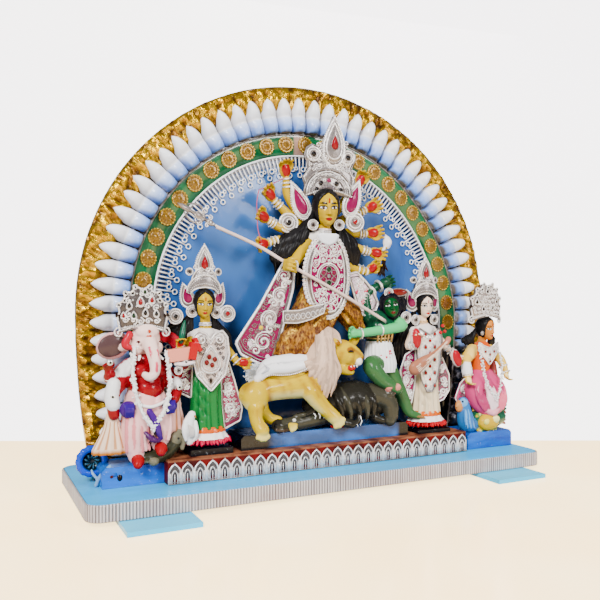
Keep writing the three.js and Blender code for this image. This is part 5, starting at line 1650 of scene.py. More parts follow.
def make_wings():
    left = Foil((-56, 165), -13.6, turn=4)
    edge = evenly([(-27, 213), (-34, 218.5), (-40, 214), (-63, 174), (-87, 139), (-82, 128), (-66, 119.5),
                   (-51, 114.5), (-46, 128), (-37, 162), (-29, 190)], 2.4)
    left.framed(edge, (0, 1.8, (*CERISE, 0.0), 10), (0.5, 1.5, (0.88, 0.86, 0.88, 0.3)))
    left.wire(around(edge, 0.93), 0.6, 0.9, SILVER)
    left.wire(around(edge, 0.86), 0.5, 0.5, SILVER)
    lining = evenly([(-33, 208), (-45, 186), (-62, 158), (-50, 150), (-44, 168), (-35, 190)], 2.4)
    left.plate(lining, 0.25, 0.4, (0.50, 0.36, 0.37, 0.3), 6)
    left.filigree(around(edge, 0.86), 2.7, 15, 0.45, 0.45, SILVER)
    strip_of_scrolls(left, [(-35, 208), (-41, 192), (-48, 170), (-58, 146), (-66, 127)], 10.5)
    for x, z in ((-37, 199), (-52, 158), (-73, 138), (-55, 124), (-40, 176)):
        left.plate(oval(x, z, 2.4, 3.2), 0.4, 0.5, (*PALE_PINK, 0.0), 4, 0.5)
    left.stone((-62, 153), (2.2, 2.2), srgb(236, 208, 40), 1.0)
    left.piece("goddess_wing_left", [foil], ["durga_shawl_left"])
    right = Foil((55, 185), -9.6, turn=-6)
    edge = evenly([(35, 206), (46, 208), (56, 200), (67, 189), (74, 176), (70, 168), (62, 162),
                   (50, 165), (42, 186)], 2)
    right.framed(edge, (0, 1.8, (*PALE_PINK, 0.0), 8), (0.5, 1.3))
    right.wire(around(edge, 0.84), 0.5, 0.6, SILVER)
    for x, z, r in ((50, 196, 2.4), (58, 188, 2.8), (64, 178, 2.6), (54, 178, 2.6), (60, 169, 2.0),
                    (46, 188, 1.8)):
        right.plate(drop(x, z, r, r * 1.5, 14, 30), 0.4, 0.5, srgb(216, 40, 120), 4, 0.4)
    right.filigree(around(edge, 0.84), 2.4, 16, 0.45, 0.42)
    strip_of_scrolls(right, [(46, 203), (55, 190), (62, 172)], 6, -1)
    right.piece("goddess_wing_right", [foil], ["durga_shawl_right"])
    belt = Foil((-24, 166), -31, 2.6, 22, turn=10)
    edge = evenly([(-45, 158), (-32, 157.5), (-18, 161), (-5, 167), (-3, 176), (-16, 173.5), (-30, 169.5),
                   (-45, 169)], 1.8)
    belt.framed(edge, (0, 2.0, SILVER, 5), (0.3, 0.7))
    for k in range(8):
        spot = np.array((-41 + k * 5, 163.4 + (0.16 * k) ** 2 * 4.4))
        belt.plate(oval(*spot, 1.6, 2.2, 12), 0.5, 0.5, SILVER, 3, 0.5)
        belt.wire(oval(*spot, 2.1, 2.7, 14), 0.5, 0.4)
    belt.piece("goddess_belt_foil", [foil], ["durga_belt"])


make_wings()


# White thread in a loose pompon hangs at the end of her left wing: a small core with 150 threads
# that stand out from it, each bent a little.
def make_tassel():
    rng = np.random.default_rng(2)
    tassel = Craft()
    tassel.ball((-69, -16, 110), (10, 4, 8), (0.86, 0.9, 0.94), 10)
    for _ in range(150):
        a, b = rng.uniform(0, 2 * np.pi), rng.uniform(-0.5, 1)
        out = np.array((np.cos(a) * (1 - b * 0.3), -abs(rng.normal(0, 0.35)) - 0.2, np.sin(a)))
        start = np.array((-69, -16, 112)) + out * (3, 2, 3)
        end = np.array((-69, -16, 109)) + out * np.array((13, 6, 11)) * rng.uniform(0.7, 1.0)
        mid = (start + end) / 2 + rng.normal(0, 1.6, 3)
        tassel.tube(smooth_path([start, mid, end], 4), 0.45,
                    np.array((0.9, 0.93, 0.97)) * rng.uniform(0.8, 1.08), 4)
    tassel.piece("white_pompon", [enamel], ["durga_tassel"])


make_tassel()


# The spear is a painted stick with a trident of stamped silver at its tip, held in the front left hand.
# With it come the other things she holds: a bow's thread, a conch and a tuft.
def make_spear():
    rod = Craft()
    path = smooth_path([(-106, -11, 248.5), (-67, -19, 231), (-39, -29, 213.5), (20, -30.5, 184),
                        (69, -28.5, 158)], 10)
    rod.tube(path, 1.75, (0.74, 0.54, 0.46), 12)
    rod.piece("spear_shaft", [enamel], ["spear"])
    head = Foil((-120, 256), -12, lean=26, turn=-8)
    for s in (-1, 1):
        prong = smooth_path([(-118, 252), (-121, 252 + s * 5), (-127, 252 + s * 8.5), (-134, 252 + s * 7),
                             (-139, 252 + s * 3.6)], 5)
        head.wire(prong + (0, 4), 0.3, np.linspace(1.6, 0.5, len(prong)), SILVER, False)
        head.scroll((-121, 256 + s * 6), 3.2, 90 - s * 60, 1.2, s, 0.8, 0.6)
        head.scroll((-113, 256 + s * 4), 2.6, 90 + s * 50, 1.2, -s, 0.8, 0.55)
    head.wire([(-104, 256), (-142, 256)], 0.3, 1.5, SILVER, False)
    head.plate(drop(-140, 256, 3.2, 8, 24, -90), 0.3, 1.2, SILVER, 5, 0.8)
    head.plate(oval(-124, 256, 4.6, 3.4), 0.6, 1.2, SILVER, 5, 1.0)
    head.beads(oval(-124, 256, 4.4, 3.2), 1.5, 1.0, 0.6)
    head.plate(drop(-110, 256, 3.4, 6, 24, 90), 0.5, 1.2, SILVER, 5, 0.8)
    for k in range(4):
        head.ball(head.lay((-105 - k * 3, 256), 1.2), 1.3 - 0.1 * k, WHITE_SILVER, 5)
    head.piece("spear_trident", [foil])
    thread = Craft()
    for a, b in (((-34, -9, 300), (-62, -9, 286)), ((-62, -9, 286), (-64, -10, 262)),
                 ((-64, -10, 262), (-60, -10, 236))):
        mid = (np.array(a, float) + b) / 2 + (-1.5, 0, -1)
        thread.tube(smooth_path([a, mid, b], 6), 0.45, srgb(214, 130, 150), 5)
    thread.piece("bow_string", [enamel])
    held = Clay()
    held.lump((84, -9, 240), (5, 3, 7), srgb(240, 236, 236))
    held.limb([(82, -9, 247, 1.6), (86, -9, 240, 3.4), (79, -9, 232, 1.4)], srgb(240, 236, 236), 10)
    held.piece("small_conch", [enamel], (), 0.5)
    tuft = Craft()
    rng = np.random.default_rng(9)
    for _ in range(24):
        end = (76 + rng.normal(0, 3.2), -12 + rng.normal(0, 1.5), 206 + rng.normal(0, 2))
        wavy_lock(tuft, (80 + rng.normal(0, 0.8), -9, 221), end, 1.1, rng, srgb(70, 46, 26), 1.0, 0.8)
    tuft.piece("held_tuft", [hair_black])


make_spear()


# The buffalo lies cut in two under the lion: its heavy body behind, its head and horn in front, in
# glossy black clay with a few strokes of red and white.
HIDE, HIDE_OLIVE = (0.015, 0.0135, 0.010), (0.040, 0.037, 0.024)


def make_buffalo():
    beast = Clay()
    beast.limb([(-6, -15, 76, 12), (12, -16, 77, 18), (36, -16, 78, 21), (54, -17, 75, 18),
                (62, -18, 72, 13)], HIDE, 24)
    for x, lean, tall in ((10, 5, 17), (20, 5, 20), (31, 4, 21), (42, 2, 20), (51, 0, 17)):
        beast.limb([(x - 2, -27, 78 + tall * 0.7, 1.6), (x + lean * 0.3, -35.5, 79, 2.9),
                    (x + lean, -36, 66, 2.2), (x + lean, -33, 60, 1.2)],
                    HIDE_OLIVE if x in (20, 42) else HIDE, 10)
    beast.limb([(56, -22, 84, 11), (66, -27, 80, 10.5), (73, -30, 73, 9), (74, -32, 62, 7.4),
                (72, -33, 57, 6)], HIDE_OLIVE)
    beast.lump((71, -33, 84), (6, 6, 5), HIDE_OLIVE)
    beast.limb([(68, -36, 90, 2.8), (74, -37, 92, 2.2), (77, -36, 86, 1.6)], srgb(222, 160, 150), 10)
    beast.limb([(52, -22, 68, 8), (56, -29, 61, 5.4), (63, -33, 57.5, 4)], HIDE)
    beast.limb([(12, -22, 66, 9), (-8, -26, 64.5, 8.4), (-28, -29, 62, 7.4), (-44, -31, 61, 6.4),
                (-51, -32, 60, 6.6)], HIDE_OLIVE)
    beast.lump((-52, -32, 61), (6.6, 6.4, 6.2), HIDE)
    beast.lump((-56, -36, 62), (2.2, 2, 1.8), (0.004, 0.004, 0.004))
    beast.limb([(-56, -37, 57.5, 1.4), (-48, -38, 56.6, 1.4), (-40, -37, 57.5, 1.2)], srgb(120, 104, 88), 8)
    beast.limb([(-34, -31, 68, 2.4), (-27, -36, 70, 2.4)], HIDE_OLIVE, 10)
    beast.lump((-37, -36, 66), (1.6, 1.2, 1.4), (0.8, 0.78, 0.7))
    beast.limb([(-30, -30, 68, 3.2), (-21, -34, 71, 2.8), (-11, -35, 76, 2.0), (-2, -33, 78, 1.1)],
               srgb(74, 72, 64), 12)
    beast.limb([(2, -30, 64, 6), (14, -36, 60, 5.4), (26, -38, 57.6, 4)], HIDE)
    for k in range(4):
        beast.limb([(1 + 3.4 * k, -38.5, 57.5, 1.1), (3 + 3.4 * k, -39.5, 55.8, 0.8)], srgb(190, 20, 30), 6)
    beast.limb([(24, -40, 57, 3.4), (30, -41, 61, 2.6), (31, -40, 66, 1.8)], HIDE, 10)
    buffalo = beast.piece("buffalo_body", [enamel], ["buffalo"], 0.85, 2, 0.5)
    lines = Craft()
    for x in (-17, -12, -7.5):
        lines.tube([(x, -37, 71), (x + 1.6, -38.2, 68.4), (x + 1, -38, 65.6)], 0.5, (0.9, 0.88, 0.84), 5)
    lines.tube([(31.5, -42, 66), (32.8, -43.4, 61), (30.4, -44, 56.6)], 0.5, (0.9, 0.88, 0.84), 5)
    lines.tube([(27, -42.8, 59), (28.2, -43.8, 55.6)], 0.4, (0.9, 0.88, 0.84), 5)
    lines.piece("buffalo_white_strokes", [enamel])


make_buffalo()


# The demon rises from the buffalo's neck and is pinned by the spear: green clay, dark on the body and
# light on the arm he throws forward, blue-black hair and white ribbed shorts.
# The legs are in a darker green that is painted shade.
DEMON_DARK, DEMON_LIGHT, DEMON_LEG_SHADE = (0.004, 0.05, 0.022), (0.06, 0.50, 0.16), (0.035, 0.115, 0.035)
COTTON = (0.86, 0.85, 0.84)


def make_demon():
    body, gear = Clay(), Craft()
    body.limb([(71, -13, 114, 11), (71, -13, 126, 10.5), (70, -12, 142, 12), (72, -11, 156, 13)],
              DEMON_DARK, 22)
    body.lump((66, -21, 153), (7.6, 5, 6.2), DEMON_DARK)
    body.lump((79, -21, 154), (7.2, 5, 6.2), DEMON_DARK)
    body.limb([(76, -13, 160, 6.5), (80, -15, 166, 6)], DEMON_DARK)
    arm(body, gear, (61, -7, 160), (60, -5, 184), (76, -6, 195), (97, -8, 203), 5.6, DEMON_DARK, 13,
        palm=DEMON_DARK, bangles=1)
    ring(gear, (75, -7, 194), (0.9, 0, 0.4), 5.8, 1.5, (0.8, 0.78, 0.74, 0.6))
    arm(body, gear, (84, -14, 160), (91, -25, 152), (37, -30, 146), (22, -31, 147), 5.8, DEMON_LIGHT, 12,
        palm=DEMON_LIGHT, bangles=2)
    body.lump((90, -23, 154), (7.6, 6.5, 7.4), DEMON_LIGHT)
    body.limb([(64, -20, 114, 10), (54, -27, 112, 9.4), (62, -31, 100, 8), (72, -33, 93, 6.4),
               (80, -35, 88, 5)], DEMON_LEG_SHADE)
    body.limb([(79, -14, 110, 11), (87, -17, 95, 9), (94, -18, 82, 7.6), (100, -19, 70, 6.4),
               (104, -21, 61, 5), (112, -26, 57.5, 3.6)], DEMON_LEG_SHADE)
    body.lump((78, -38, 91), (3.6, 2.6, 3.8), srgb(226, 168, 156))
    for k in range(3):
        body.limb([(109 + k * 1.6, -27 - k, 57.4, 1.6), (114 + k, -29 - k, 56.2, 1.2)],
                  srgb(180, 150, 110), 6)
    demon = body.piece("demon_body", [enamel], ["demon"], 0.75)
    for k in range(5):
        x = 62 + k * 4.2
        gear.tube([(x, -25.4, 152), (x + 0.6, -26, 146), (x, -25, 136)], 1.3, (0.42, 0.26, 0.06, 0.5), 6)
    for z in (140, 144):
        ring(gear, (70.5, -12.5, z), (0, 0, 1), 12.6, 0.9, (0.7, 0.52, 0.2, 0.6))
    gear.piece("demon_jewels", [foil])
    shorts = Craft()
    levels = [(71, -13, 137, 13, 13), (71, -14, 126, 15, 14.5), (72, -15, 114, 16.5, 15),
              (73, -16, 105, 14, 13)]
    shorts.skin(drape(levels, 22, 0.045, 34, 154, sharp=0.7), COTTON)
    rng = np.random.default_rng(14)
    for _ in range(9):
        x, z = 71 + rng.uniform(-11, 11), 120 + rng.uniform(-11, 10)
        shorts.ball((x, -29.4 + abs(x - 71) * 0.35, z), (1.5, 0.8, 1.3), srgb(220, 40, 110), 5)
    shorts.piece("demon_shorts", [enamel])
    make_face("demon_face", 27, (83, -17, 172), (24, -14, -8), srgb(34, 118, 74),
              lips=srgb(150, 30, 34), mark=srgb(34, 118, 74))
    hair = Craft()
    blue_black = srgb(26, 34, 62)
    hair_cap(hair, 27, (83.6, -16, 173), (24, -14, -8), (0.27, 0.3, -0.06), blue_black, swell=1.2, part=0)
    for _ in range(26):
        a = rng.uniform(-0.6, 2.8)
        root = (86 + 8 * math.cos(a), -12 + rng.normal(0, 3), 178 + 9 * math.sin(a))
        end = (93 + rng.normal(0, 4.5), -9 + rng.normal(0, 4), 168 + rng.normal(0, 8))
        wavy_lock(hair, root, end, 2.7, rng, blue_black, 1.5, 1.6, (5, -3, 4))
    hair.piece("demon_hair", [hair_black])
    band = Foil((86, 186), -22, turn=18)
    band.plate(oval(89, 187.4, 9.6, 3.6, 30), 0.2, 2.6, (*srgb(150, 26, 26), 0.1), 6, 1.2)
    band.wire(oval(89, 187.4, 9.8, 3.8, 30), 0.4, 0.7, SILVER)
    ear_disc(band, 78.6, 187, 4.6, RUBY)
    band.piece("demon_headband", [foil])


make_demon()


# Each companion is built up like the goddess: clay body and face, a moulded sari, a stamped silver
# crown and stiff cloth wings. These are the shapes that all four share.
def small_crown(name, node, x, z, wide, high, y, turn):
    """A crown: a beaded crescent over the brow, a stamped dome, a leaf with a ruby drop and side leaves."""
    crown = Foil((x, z), y, 5.0, wide * 0.62, turn=turn)
    half = wide / 2
    arc = np.linspace(np.pi, 0, 24)

    def bow(width, foot, rise):
        return np.column_stack([x + half * width * np.cos(arc), z + high * (foot + rise * np.sin(arc))])

    def crescent(outer, inner, lift, thick):
        shape = np.vstack([outer, inner[::-1]])
        crown.plate(evenly(shape, 1.5), lift, thick, SILVER, 7, 0.8)
        for path, radius in ((outer, 0.8), (inner, 0.8)):
            crown.wire(path, lift + 0.6, radius, closed=False)
        for share in (0.3, 0.7):
            crown.beads(outer * share + inner * (1 - share), 1.7, lift + 0.9, 0.6, closed=False)

    dome = np.vstack([bow(0.86, 0.18, 0.36), bow(0.8, 0.12, 0.1)[::-1]])
    crown.plate(evenly(dome, 1.5), 1.6, 5, SILVER, 8, 1.2)
    crown.filigree(evenly(dome, 1.5), 1.7, 9, 2.9, 0.38)
    crown.wire(bow(0.86, 0.18, 0.36), 2.2, 0.7, closed=False)
    crescent(bow(1.16, -0.04, 0.40), bow(0.9, -0.06, 0.14), 3.0, 6)
    leaf = drop(x, z + high * 0.68, wide * 0.32, high * 0.37, 44, 0)
    crown.framed(leaf, (0.6, 2.4, SILVER, 8, 1.6), (1.0, 0.85))
    crown.wire(around(leaf, 0.72), 2.0, 0.6)
    crown.beads(around(leaf, 1, 1.0), 1.9, 0.6, 0.7)
    crown.beads(around(leaf, 0.86), 1.5, 1.6, 0.45)
    crown.stone((x, z + high * 0.64), (wide * 0.135, high * 0.165), RUBY, 2.6, 0)
    for side in (-1, 1):
        knob = (x + side * half * 0.98, z + high * 0.44)
        crown.framed(oval(*knob, wide * 0.11, wide * 0.11), (1.0, 2, SILVER, 5, 0.8), (1.4, 0.6))
        crown.stone(knob, (wide * 0.05, wide * 0.05), STONE_SLATE, 2)
        crown.scroll((x + side * half * 0.6, z + high * 0.55), wide * 0.12, 90, 1.2, side, 1.4, 0.5)
        edge = drop(x + side * half * 1.14, z - high * 0.1, wide * 0.24, high * 0.28, 32, side * 16)
        crown.framed(edge, (-1.5, 2, SILVER, 6, 1), (-1.2, 0.75))
        crown.beads(around(edge, 1, 0.9), 1.9, -1.2, 0.6)
        crown.plate(around(edge, 0.66), -0.4, 0.8, (*CERISE, 0.05), 5, 0.9)
        crown.wire(around(edge, 0.68), -0.3, 0.4)
    crown.piece(name, [foil], [node])


def side_bosses(name, spots, y):
    """Round bosses beside a face, each with x, z, radius and stone."""
    gear = Foil(spots[0][:2], y)
    for x, z, radius, stone in spots:
        ear_disc(gear, x, z, radius, stone)
    gear.piece(name, [foil])


def neck_rings(spot, rings, thick, paint):
    """Level rings round a neck at spot, x and y, each with its height and radius."""
    neck = Craft()
    for z, radius in rings:
        ring(neck, (*spot, z), (0, 0, 1), radius, thick, paint)
    return neck


def make_sari(levels, folds, cloth, deep=0.09, loops=4):
    """A moulded sari: upright pleats in front and folds that hang in U shapes across the thigh, with painted
    shade in their dips.
    """
    grid = drape(levels, folds, deep, 54, 108, sharp=0.8, twist=0.5)
    x0, z_top, z_low = levels[0][0], levels[0][2], levels[-1][2]
    share = np.clip((z_top - grid[..., 2]) / (z_top - z_low), 0, 1)
    across = (grid[..., 0] - x0) / levels[-1][3]
    swag = np.sin((share * 1.25 + 0.5 * across ** 2) * loops * 2 * np.pi)
    swag = swag * np.exp(-((across + 0.45) / 0.35) ** 2) * (share < 0.85)
    front = grid[..., 1] < levels[0][1]
    grid[..., 1] -= swag * 0.9 * front
    # Painted shade where the front folds sink back.
    tint = np.array(cloth) * (1 - 0.4 * np.clip(-swag * front, 0, 1))[..., None]
    sari = Craft()
    sari.skin(grid, tint)
    return sari


def flares(x, y, z, wide, deep, *steps):
    """Levels for drape: a height above z and a share of the width for each."""
    return [(x, y, z + up, wide * share, deep * share) for up, share in steps]


def add_hem(sari, place, orange):
    """An orange scalloped border and a white flare under it; place is x, y, z and the half sizes."""
    sari.skin(drape(flares(*place, (5, 0.96), (1.6, 1.05), (0, 1.06)), 16, 0.03, 12, 128), orange)
    sari.skin(drape(flares(*place, (1, 0.98), (-3.4, 1.16), (-5.6, 1.26)), 13, 0.05, 14, 128),
              (0.9, 0.84, 0.82))


def petal_fringe(name, node, place, colour, seed):
    """Bright petals round a foot; place is x, y, z and the half sizes."""
    rng = np.random.default_rng(seed)
    foot = Craft()
    x, y, z, wide, deep = place
    steps = ((4, 0.8), (1, 0.96), (-3.4, 0.86), (-4.4, 0.6))
    foot.skin(drape(flares(*place, *steps), 12, 0.04, 14, 96), deeper(colour, 0.7))
    for k in range(44):
        a = 2 * np.pi * k / 44 + rng.normal(0, 0.03)
        out = np.array((math.cos(a) * wide, -math.sin(a) * deep, 0))
        root = np.array((x, y, z + 2.6)) + out * 0.86
        tip = np.array((x, y, z - 3.2 + rng.normal(0, 0.5))) + out * rng.uniform(1.1, 1.2)
        foot.tube(smooth_path([root, (root + tip) / 2 + out * 0.06, tip], 3),
                  [0.9, 1.3, 1.5, 1.5, 1.4, 1.0, 0.3], np.array(colour) * rng.uniform(0.8, 1.25), 6, flat=0.5)
    foot.piece(name, [enamel], [node])


def wing(name, node, outline, y, spine, size, cloth, turn=0, hand=1, rim=1.0):
    """A stiff cloth wing with a wire rim, stamped curls and a strip of scrolls down it."""
    panel = Foil(np.mean(outline, 0), y, turn=turn)
    edge = evenly(np.array(outline, float), 1.8)
    panel.framed(edge, (0, 1.6, cloth, 8), (0.4, rim))
    panel.wire(around(edge, 0.86), 0.4, rim * 0.5, SILVER)
    panel.filigree(around(edge, 0.86), 2.0, 21, 0.45, 0.4, WHITE_SILVER
                   if cloth[0] < 0.3 else (0.16, 0.14, 0.14, 0.4))
    strip_of_scrolls(panel, spine, size, hand)
    for k in range(len(spine) - 1):
        spot = np.array(spine[k]) * 0.35 + np.array(spine[k + 1]) * 0.65
        panel.plate(drop(*(spot + (0, size * 0.1)), size * 0.3, size * 0.55, 12, 20 * k), 0.6, 0.5,
                    (*CERISE, 0.0), 4, 0.4)
    panel.piece(name, [foil], [node])


def side_hair(hair, rng, spot, end_x, sides, count, thick, bow):
    """Waved locks beside a face at spot, x and z; sides give a side, a reach, an end height and its rise."""
    for side, reach, low, y, rise in sides:
        for k in range(count):
            share = k / (count - 1)
            root = (spot[0] + side * (8 + 4 * share), -15 + 7 * share, spot[1] - 12 * share)
            end = (end_x + side * (8 + reach * share) + rng.normal(0, 1), y + 5 * share,
                   low + rise * share + rng.normal(0, 4))
            swing = (side * (bow[0] + bow[1] * share), -1.5, 0)
            wavy_lock(hair, root, end, thick, rng, BLACK, 2.5, 1.5, swing)


# Lakshmi, at the goddess's right hand, wears a glossy green sari under a heart-shaped silver plate.
# She holds up a red and peach casket, and a small white owl stands at her foot.
SARI_GREEN = (0.004, 0.15, 0.028)


def make_lakshmi():
    body, gear = Clay(), Craft()
    body.limb([(-119.5, -18, 164, 4.6), (-119, -18, 157, 4.8), (-119, -17, 151, 7)], GOLDEN)
    body.limb([(-131, -15, 147, 5), (-119, -17, 149, 6), (-107, -15, 147, 5)], srgb(236, 230, 226), 16)
    body.limb([(-119, -17, 146, 10), (-118.5, -17, 132, 10.5), (-118, -17, 116, 9), (-118, -17, 108, 10)],
              srgb(236, 230, 226), 20)
    arm(body, gear, (-108, -16, 145), (-97, -20, 131), (-90, -24, 122), (-78, -30, 121), 4.4,
        GOLDEN, 11, bangles=2)
    arm(body, gear, (-130, -16, 145), (-141, -22, 133), (-146, -27, 137), (-147, -31, 147), 4.2, GOLDEN, 9,
        bangles=2, cup=0.5)
    body.piece("lakshmi_body", [enamel], ["lakshmi"], 0.6)
    gear.piece("lakshmi_bangles", [foil])
    levels = [(-118, -17, *rest)
              for rest in ((118, 10.5, 9.5), (106, 13, 11.5), (84, 14, 12), (62, 16, 13))]
    sari = make_sari(levels, 11, SARI_GREEN)
    add_hem(sari, (-118, -17, 59, 16.5, 13.5), srgb(226, 134, 36))
    sari.piece("lakshmi_sari", [enamel])
    petal_fringe("lakshmi_fringe", "lakshmi_lotus", (-119, -17, 52, 21, 16), srgb(212, 40, 110), 6)
    make_face("lakshmi_face", 26, (-121, -20, 176.4), (10, 3, 2), GOLDEN, fine=78)
    rng = np.random.default_rng(41)
    hair = Craft()
    hair_cap(hair, 26, (-121, -19.6, 177), (10, 3, 2))
    side_hair(hair, rng, (-121, 173), -121, ((-1, 24, 132, -13, 12), (1, 18, 118, -13, 12)), 12, 2.4, (3, 5))
    hair.piece("lakshmi_hair", [hair_black])
    small_crown("lakshmi_crown_foil", "lakshmi_crown", -121, 188, 27, 40, -18, 8)
    side_bosses("lakshmi_bosses", ((-148, 165, 6.6, STONE_SLATE), (-98.5, 167, 7.2, RUBY),
                                   (-132.5, 169.5, 5.2, GARNET), (-109, 168, 5.0, GARNET)), -19)
    neck = neck_rings((-119.2, -18), ((158.6, 5.0), (156.8, 5.3)), 0.85, BANGLE)
    neck.piece("lakshmi_choker", [foil])
    plate = Foil((-118, 128), -28, 2.0, 18, turn=5)
    heart = evenly([(-133, 148), (-129, 152), (-122, 149), (-118, 143), (-114, 149), (-107, 152),
                    (-102, 146), (-100, 130), (-104, 112), (-117.5, 97), (-130, 111), (-135, 130)], 1.8)
    plate.plate(heart, 0, 1.4, (0.58, 0.50, 0.49, 0.4), 10)
    plate.filigree(around(heart, 1, -4), 2.1, 31, 0.7, 0.4, (0.10, 0.085, 0.09, 0.3),
                   keep=lambda p: np.hypot((p[0] + 118) * 1.2, p[1] - 126) > 12)
    plate.wire(heart, 0.4, 1.0)
    plate.wire(around(heart, 1, -3.4), 0.5, 0.55)
    plate.beads(around(heart, 1, -1.8), 1.7, 0.4, 0.5)
    for side in (-1, 1):
        plate.scroll((-118 + side * 8, 144), 5.0, 90, 1.3, -side, 0.8, 0.9)
        plate.scroll((-118 + side * 8.6, 112), 3.8, 200, 1.2, side, 0.8, 0.6)
        plate.wire(smooth_path([(-118, 101), (-118 + side * 6, 108), (-118 + side * 11, 118)], 5), 0.8,
                   0.6, closed=False)
    plate.wire(drop(-118, 126, 10, 12.5, 36), 0.9, 0.8)
    plate.wire(drop(-118, 126, 8, 10, 36), 1.0, 0.45)
    for k in range(4):
        a = math.radians(90 * k + 20)
        plate.stone((-118 + 4 * math.cos(a), 124.5 + 4 * math.sin(a)), (2.0, 2.4), srgb(150, 8, 40),
                    1.6, mount=False)
    plate.stone((-118, 107), (1.4, 2.6), GARNET, 1.2, 0)
    plate.piece("lakshmi_plate_foil", [foil], ["lakshmi_breastplate"])
    edge = [(-106, 136), (-101, 133), (-92, 106), (-84, 78), (-86, 67), (-101, 60), (-104, 84), (-105, 112)]
    spine = [(-102, 126), (-99, 106), (-95, 86), (-94, 68)]
    wing("lakshmi_wing_right", "lakshmi_shawl_right", edge, -19.4, spine, 5.6, (0.26, 0.03, 0.075, 0.0), 6)
    edge = [(-130, 134), (-136, 132), (-147, 108), (-144, 96), (-132, 90)]
    spine = [(-134, 126), (-139, 110), (-137, 96)]
    wing("lakshmi_wing_left", "lakshmi_shawl_left", edge, -15.4, spine, 4.6, (*CERISE, 0), 0, -1)


make_lakshmi()


# The casket is two red flaps on a peach box with a stem above it, and the owl is white with a few
# grey strokes for feathers.
def tilted(degrees):
    """A turn in the plane of the arch, for a block or a lump."""
    return np.array(Matrix.Rotation(math.radians(degrees), 3, "Y"))


def make_casket():
    box = Clay()
    peach, red = (0.80, 0.26, 0.17), (0.42, 0.0, 0.006)
    box.bar((-148.5, -33, 131.6), (9.5, 4.6, 5.6), peach, tilted(-6))
    box.lump((-155, -32, 131), (5.4, 4.6, 5.6), peach)
    box.bar((-136.6, -35, 134.6), (3.4, 4.6, 7.6), red, tilted(10))
    box.bar((-132.6, -35, 140), (1.8, 4.4, 6.4), red, tilted(-24))
    box.limb([(-152, -34, 123.6, 1.7), (-144, -35.4, 123.2, 2.1), (-136, -36, 124.4, 1.6)],
             (0.86, 0.74, 0.72), 10)
    box.piece("red_and_peach_casket", [enamel], ["lakshmi_casket"], 0.45)
    gear = Foil((-149, 117), -33)
    ear_disc(gear, -149, 117.6, 3.6, STONE_SLATE, 0.4)
    gear.piece("casket_boss", [foil])
    stem = Clay()
    stem.limb([(-146, -31, 143, 2.4), (-144.6, -30, 149, 2.9), (-143, -29, 156, 2.2), (-142, -29, 161, 1.0)],
              srgb(38, 128, 106), 10)
    stem.piece("green_stem", [enamel], (), 0.5)
    bird = Clay()
    chalk, shade = (0.86, 0.85, 0.83), (0.55, 0.50, 0.47)
    bird.limb([(-137, -27, 53, 4.2), (-138.4, -28, 63, 6.0), (-138, -29, 71, 4.8), (-136, -30, 77, 3.6)],
              chalk, 16)
    bird.limb([(-141.6, -31, 72, 2.2), (-143.2, -32, 64, 2.6), (-141.8, -31, 55, 1.4)], chalk, 10)
    bird.limb([(-133, -31, 70, 2.0), (-132.4, -32, 62, 2.4), (-134.4, -31, 54, 1.4)], chalk, 10)
    for k in range(4):
        bird.limb([(-140.4 + k * 1.6, -34.4, 69 - k, 0.5), (-139.6 + k * 1.4, -35, 63 - k, 0.6),
                   (-138.6 + k, -33.6, 57, 0.4)], shade, 6)
    bird.limb([(-134.2, -33.2, 76.4, 0.8), (-133, -34.2, 74.8, 0.4)], srgb(206, 150, 80), 6)
    bird.piece("white_owl", [enamel], ["owl"], 0.45)


make_casket()


# Saraswati, on the other side, is pale, with wide black hair and a cream sari. A tan veena lies across
# her, and her palms are painted red.
IVORY, SARI_CREAM = srgb(246, 226, 208), srgb(240, 226, 200)


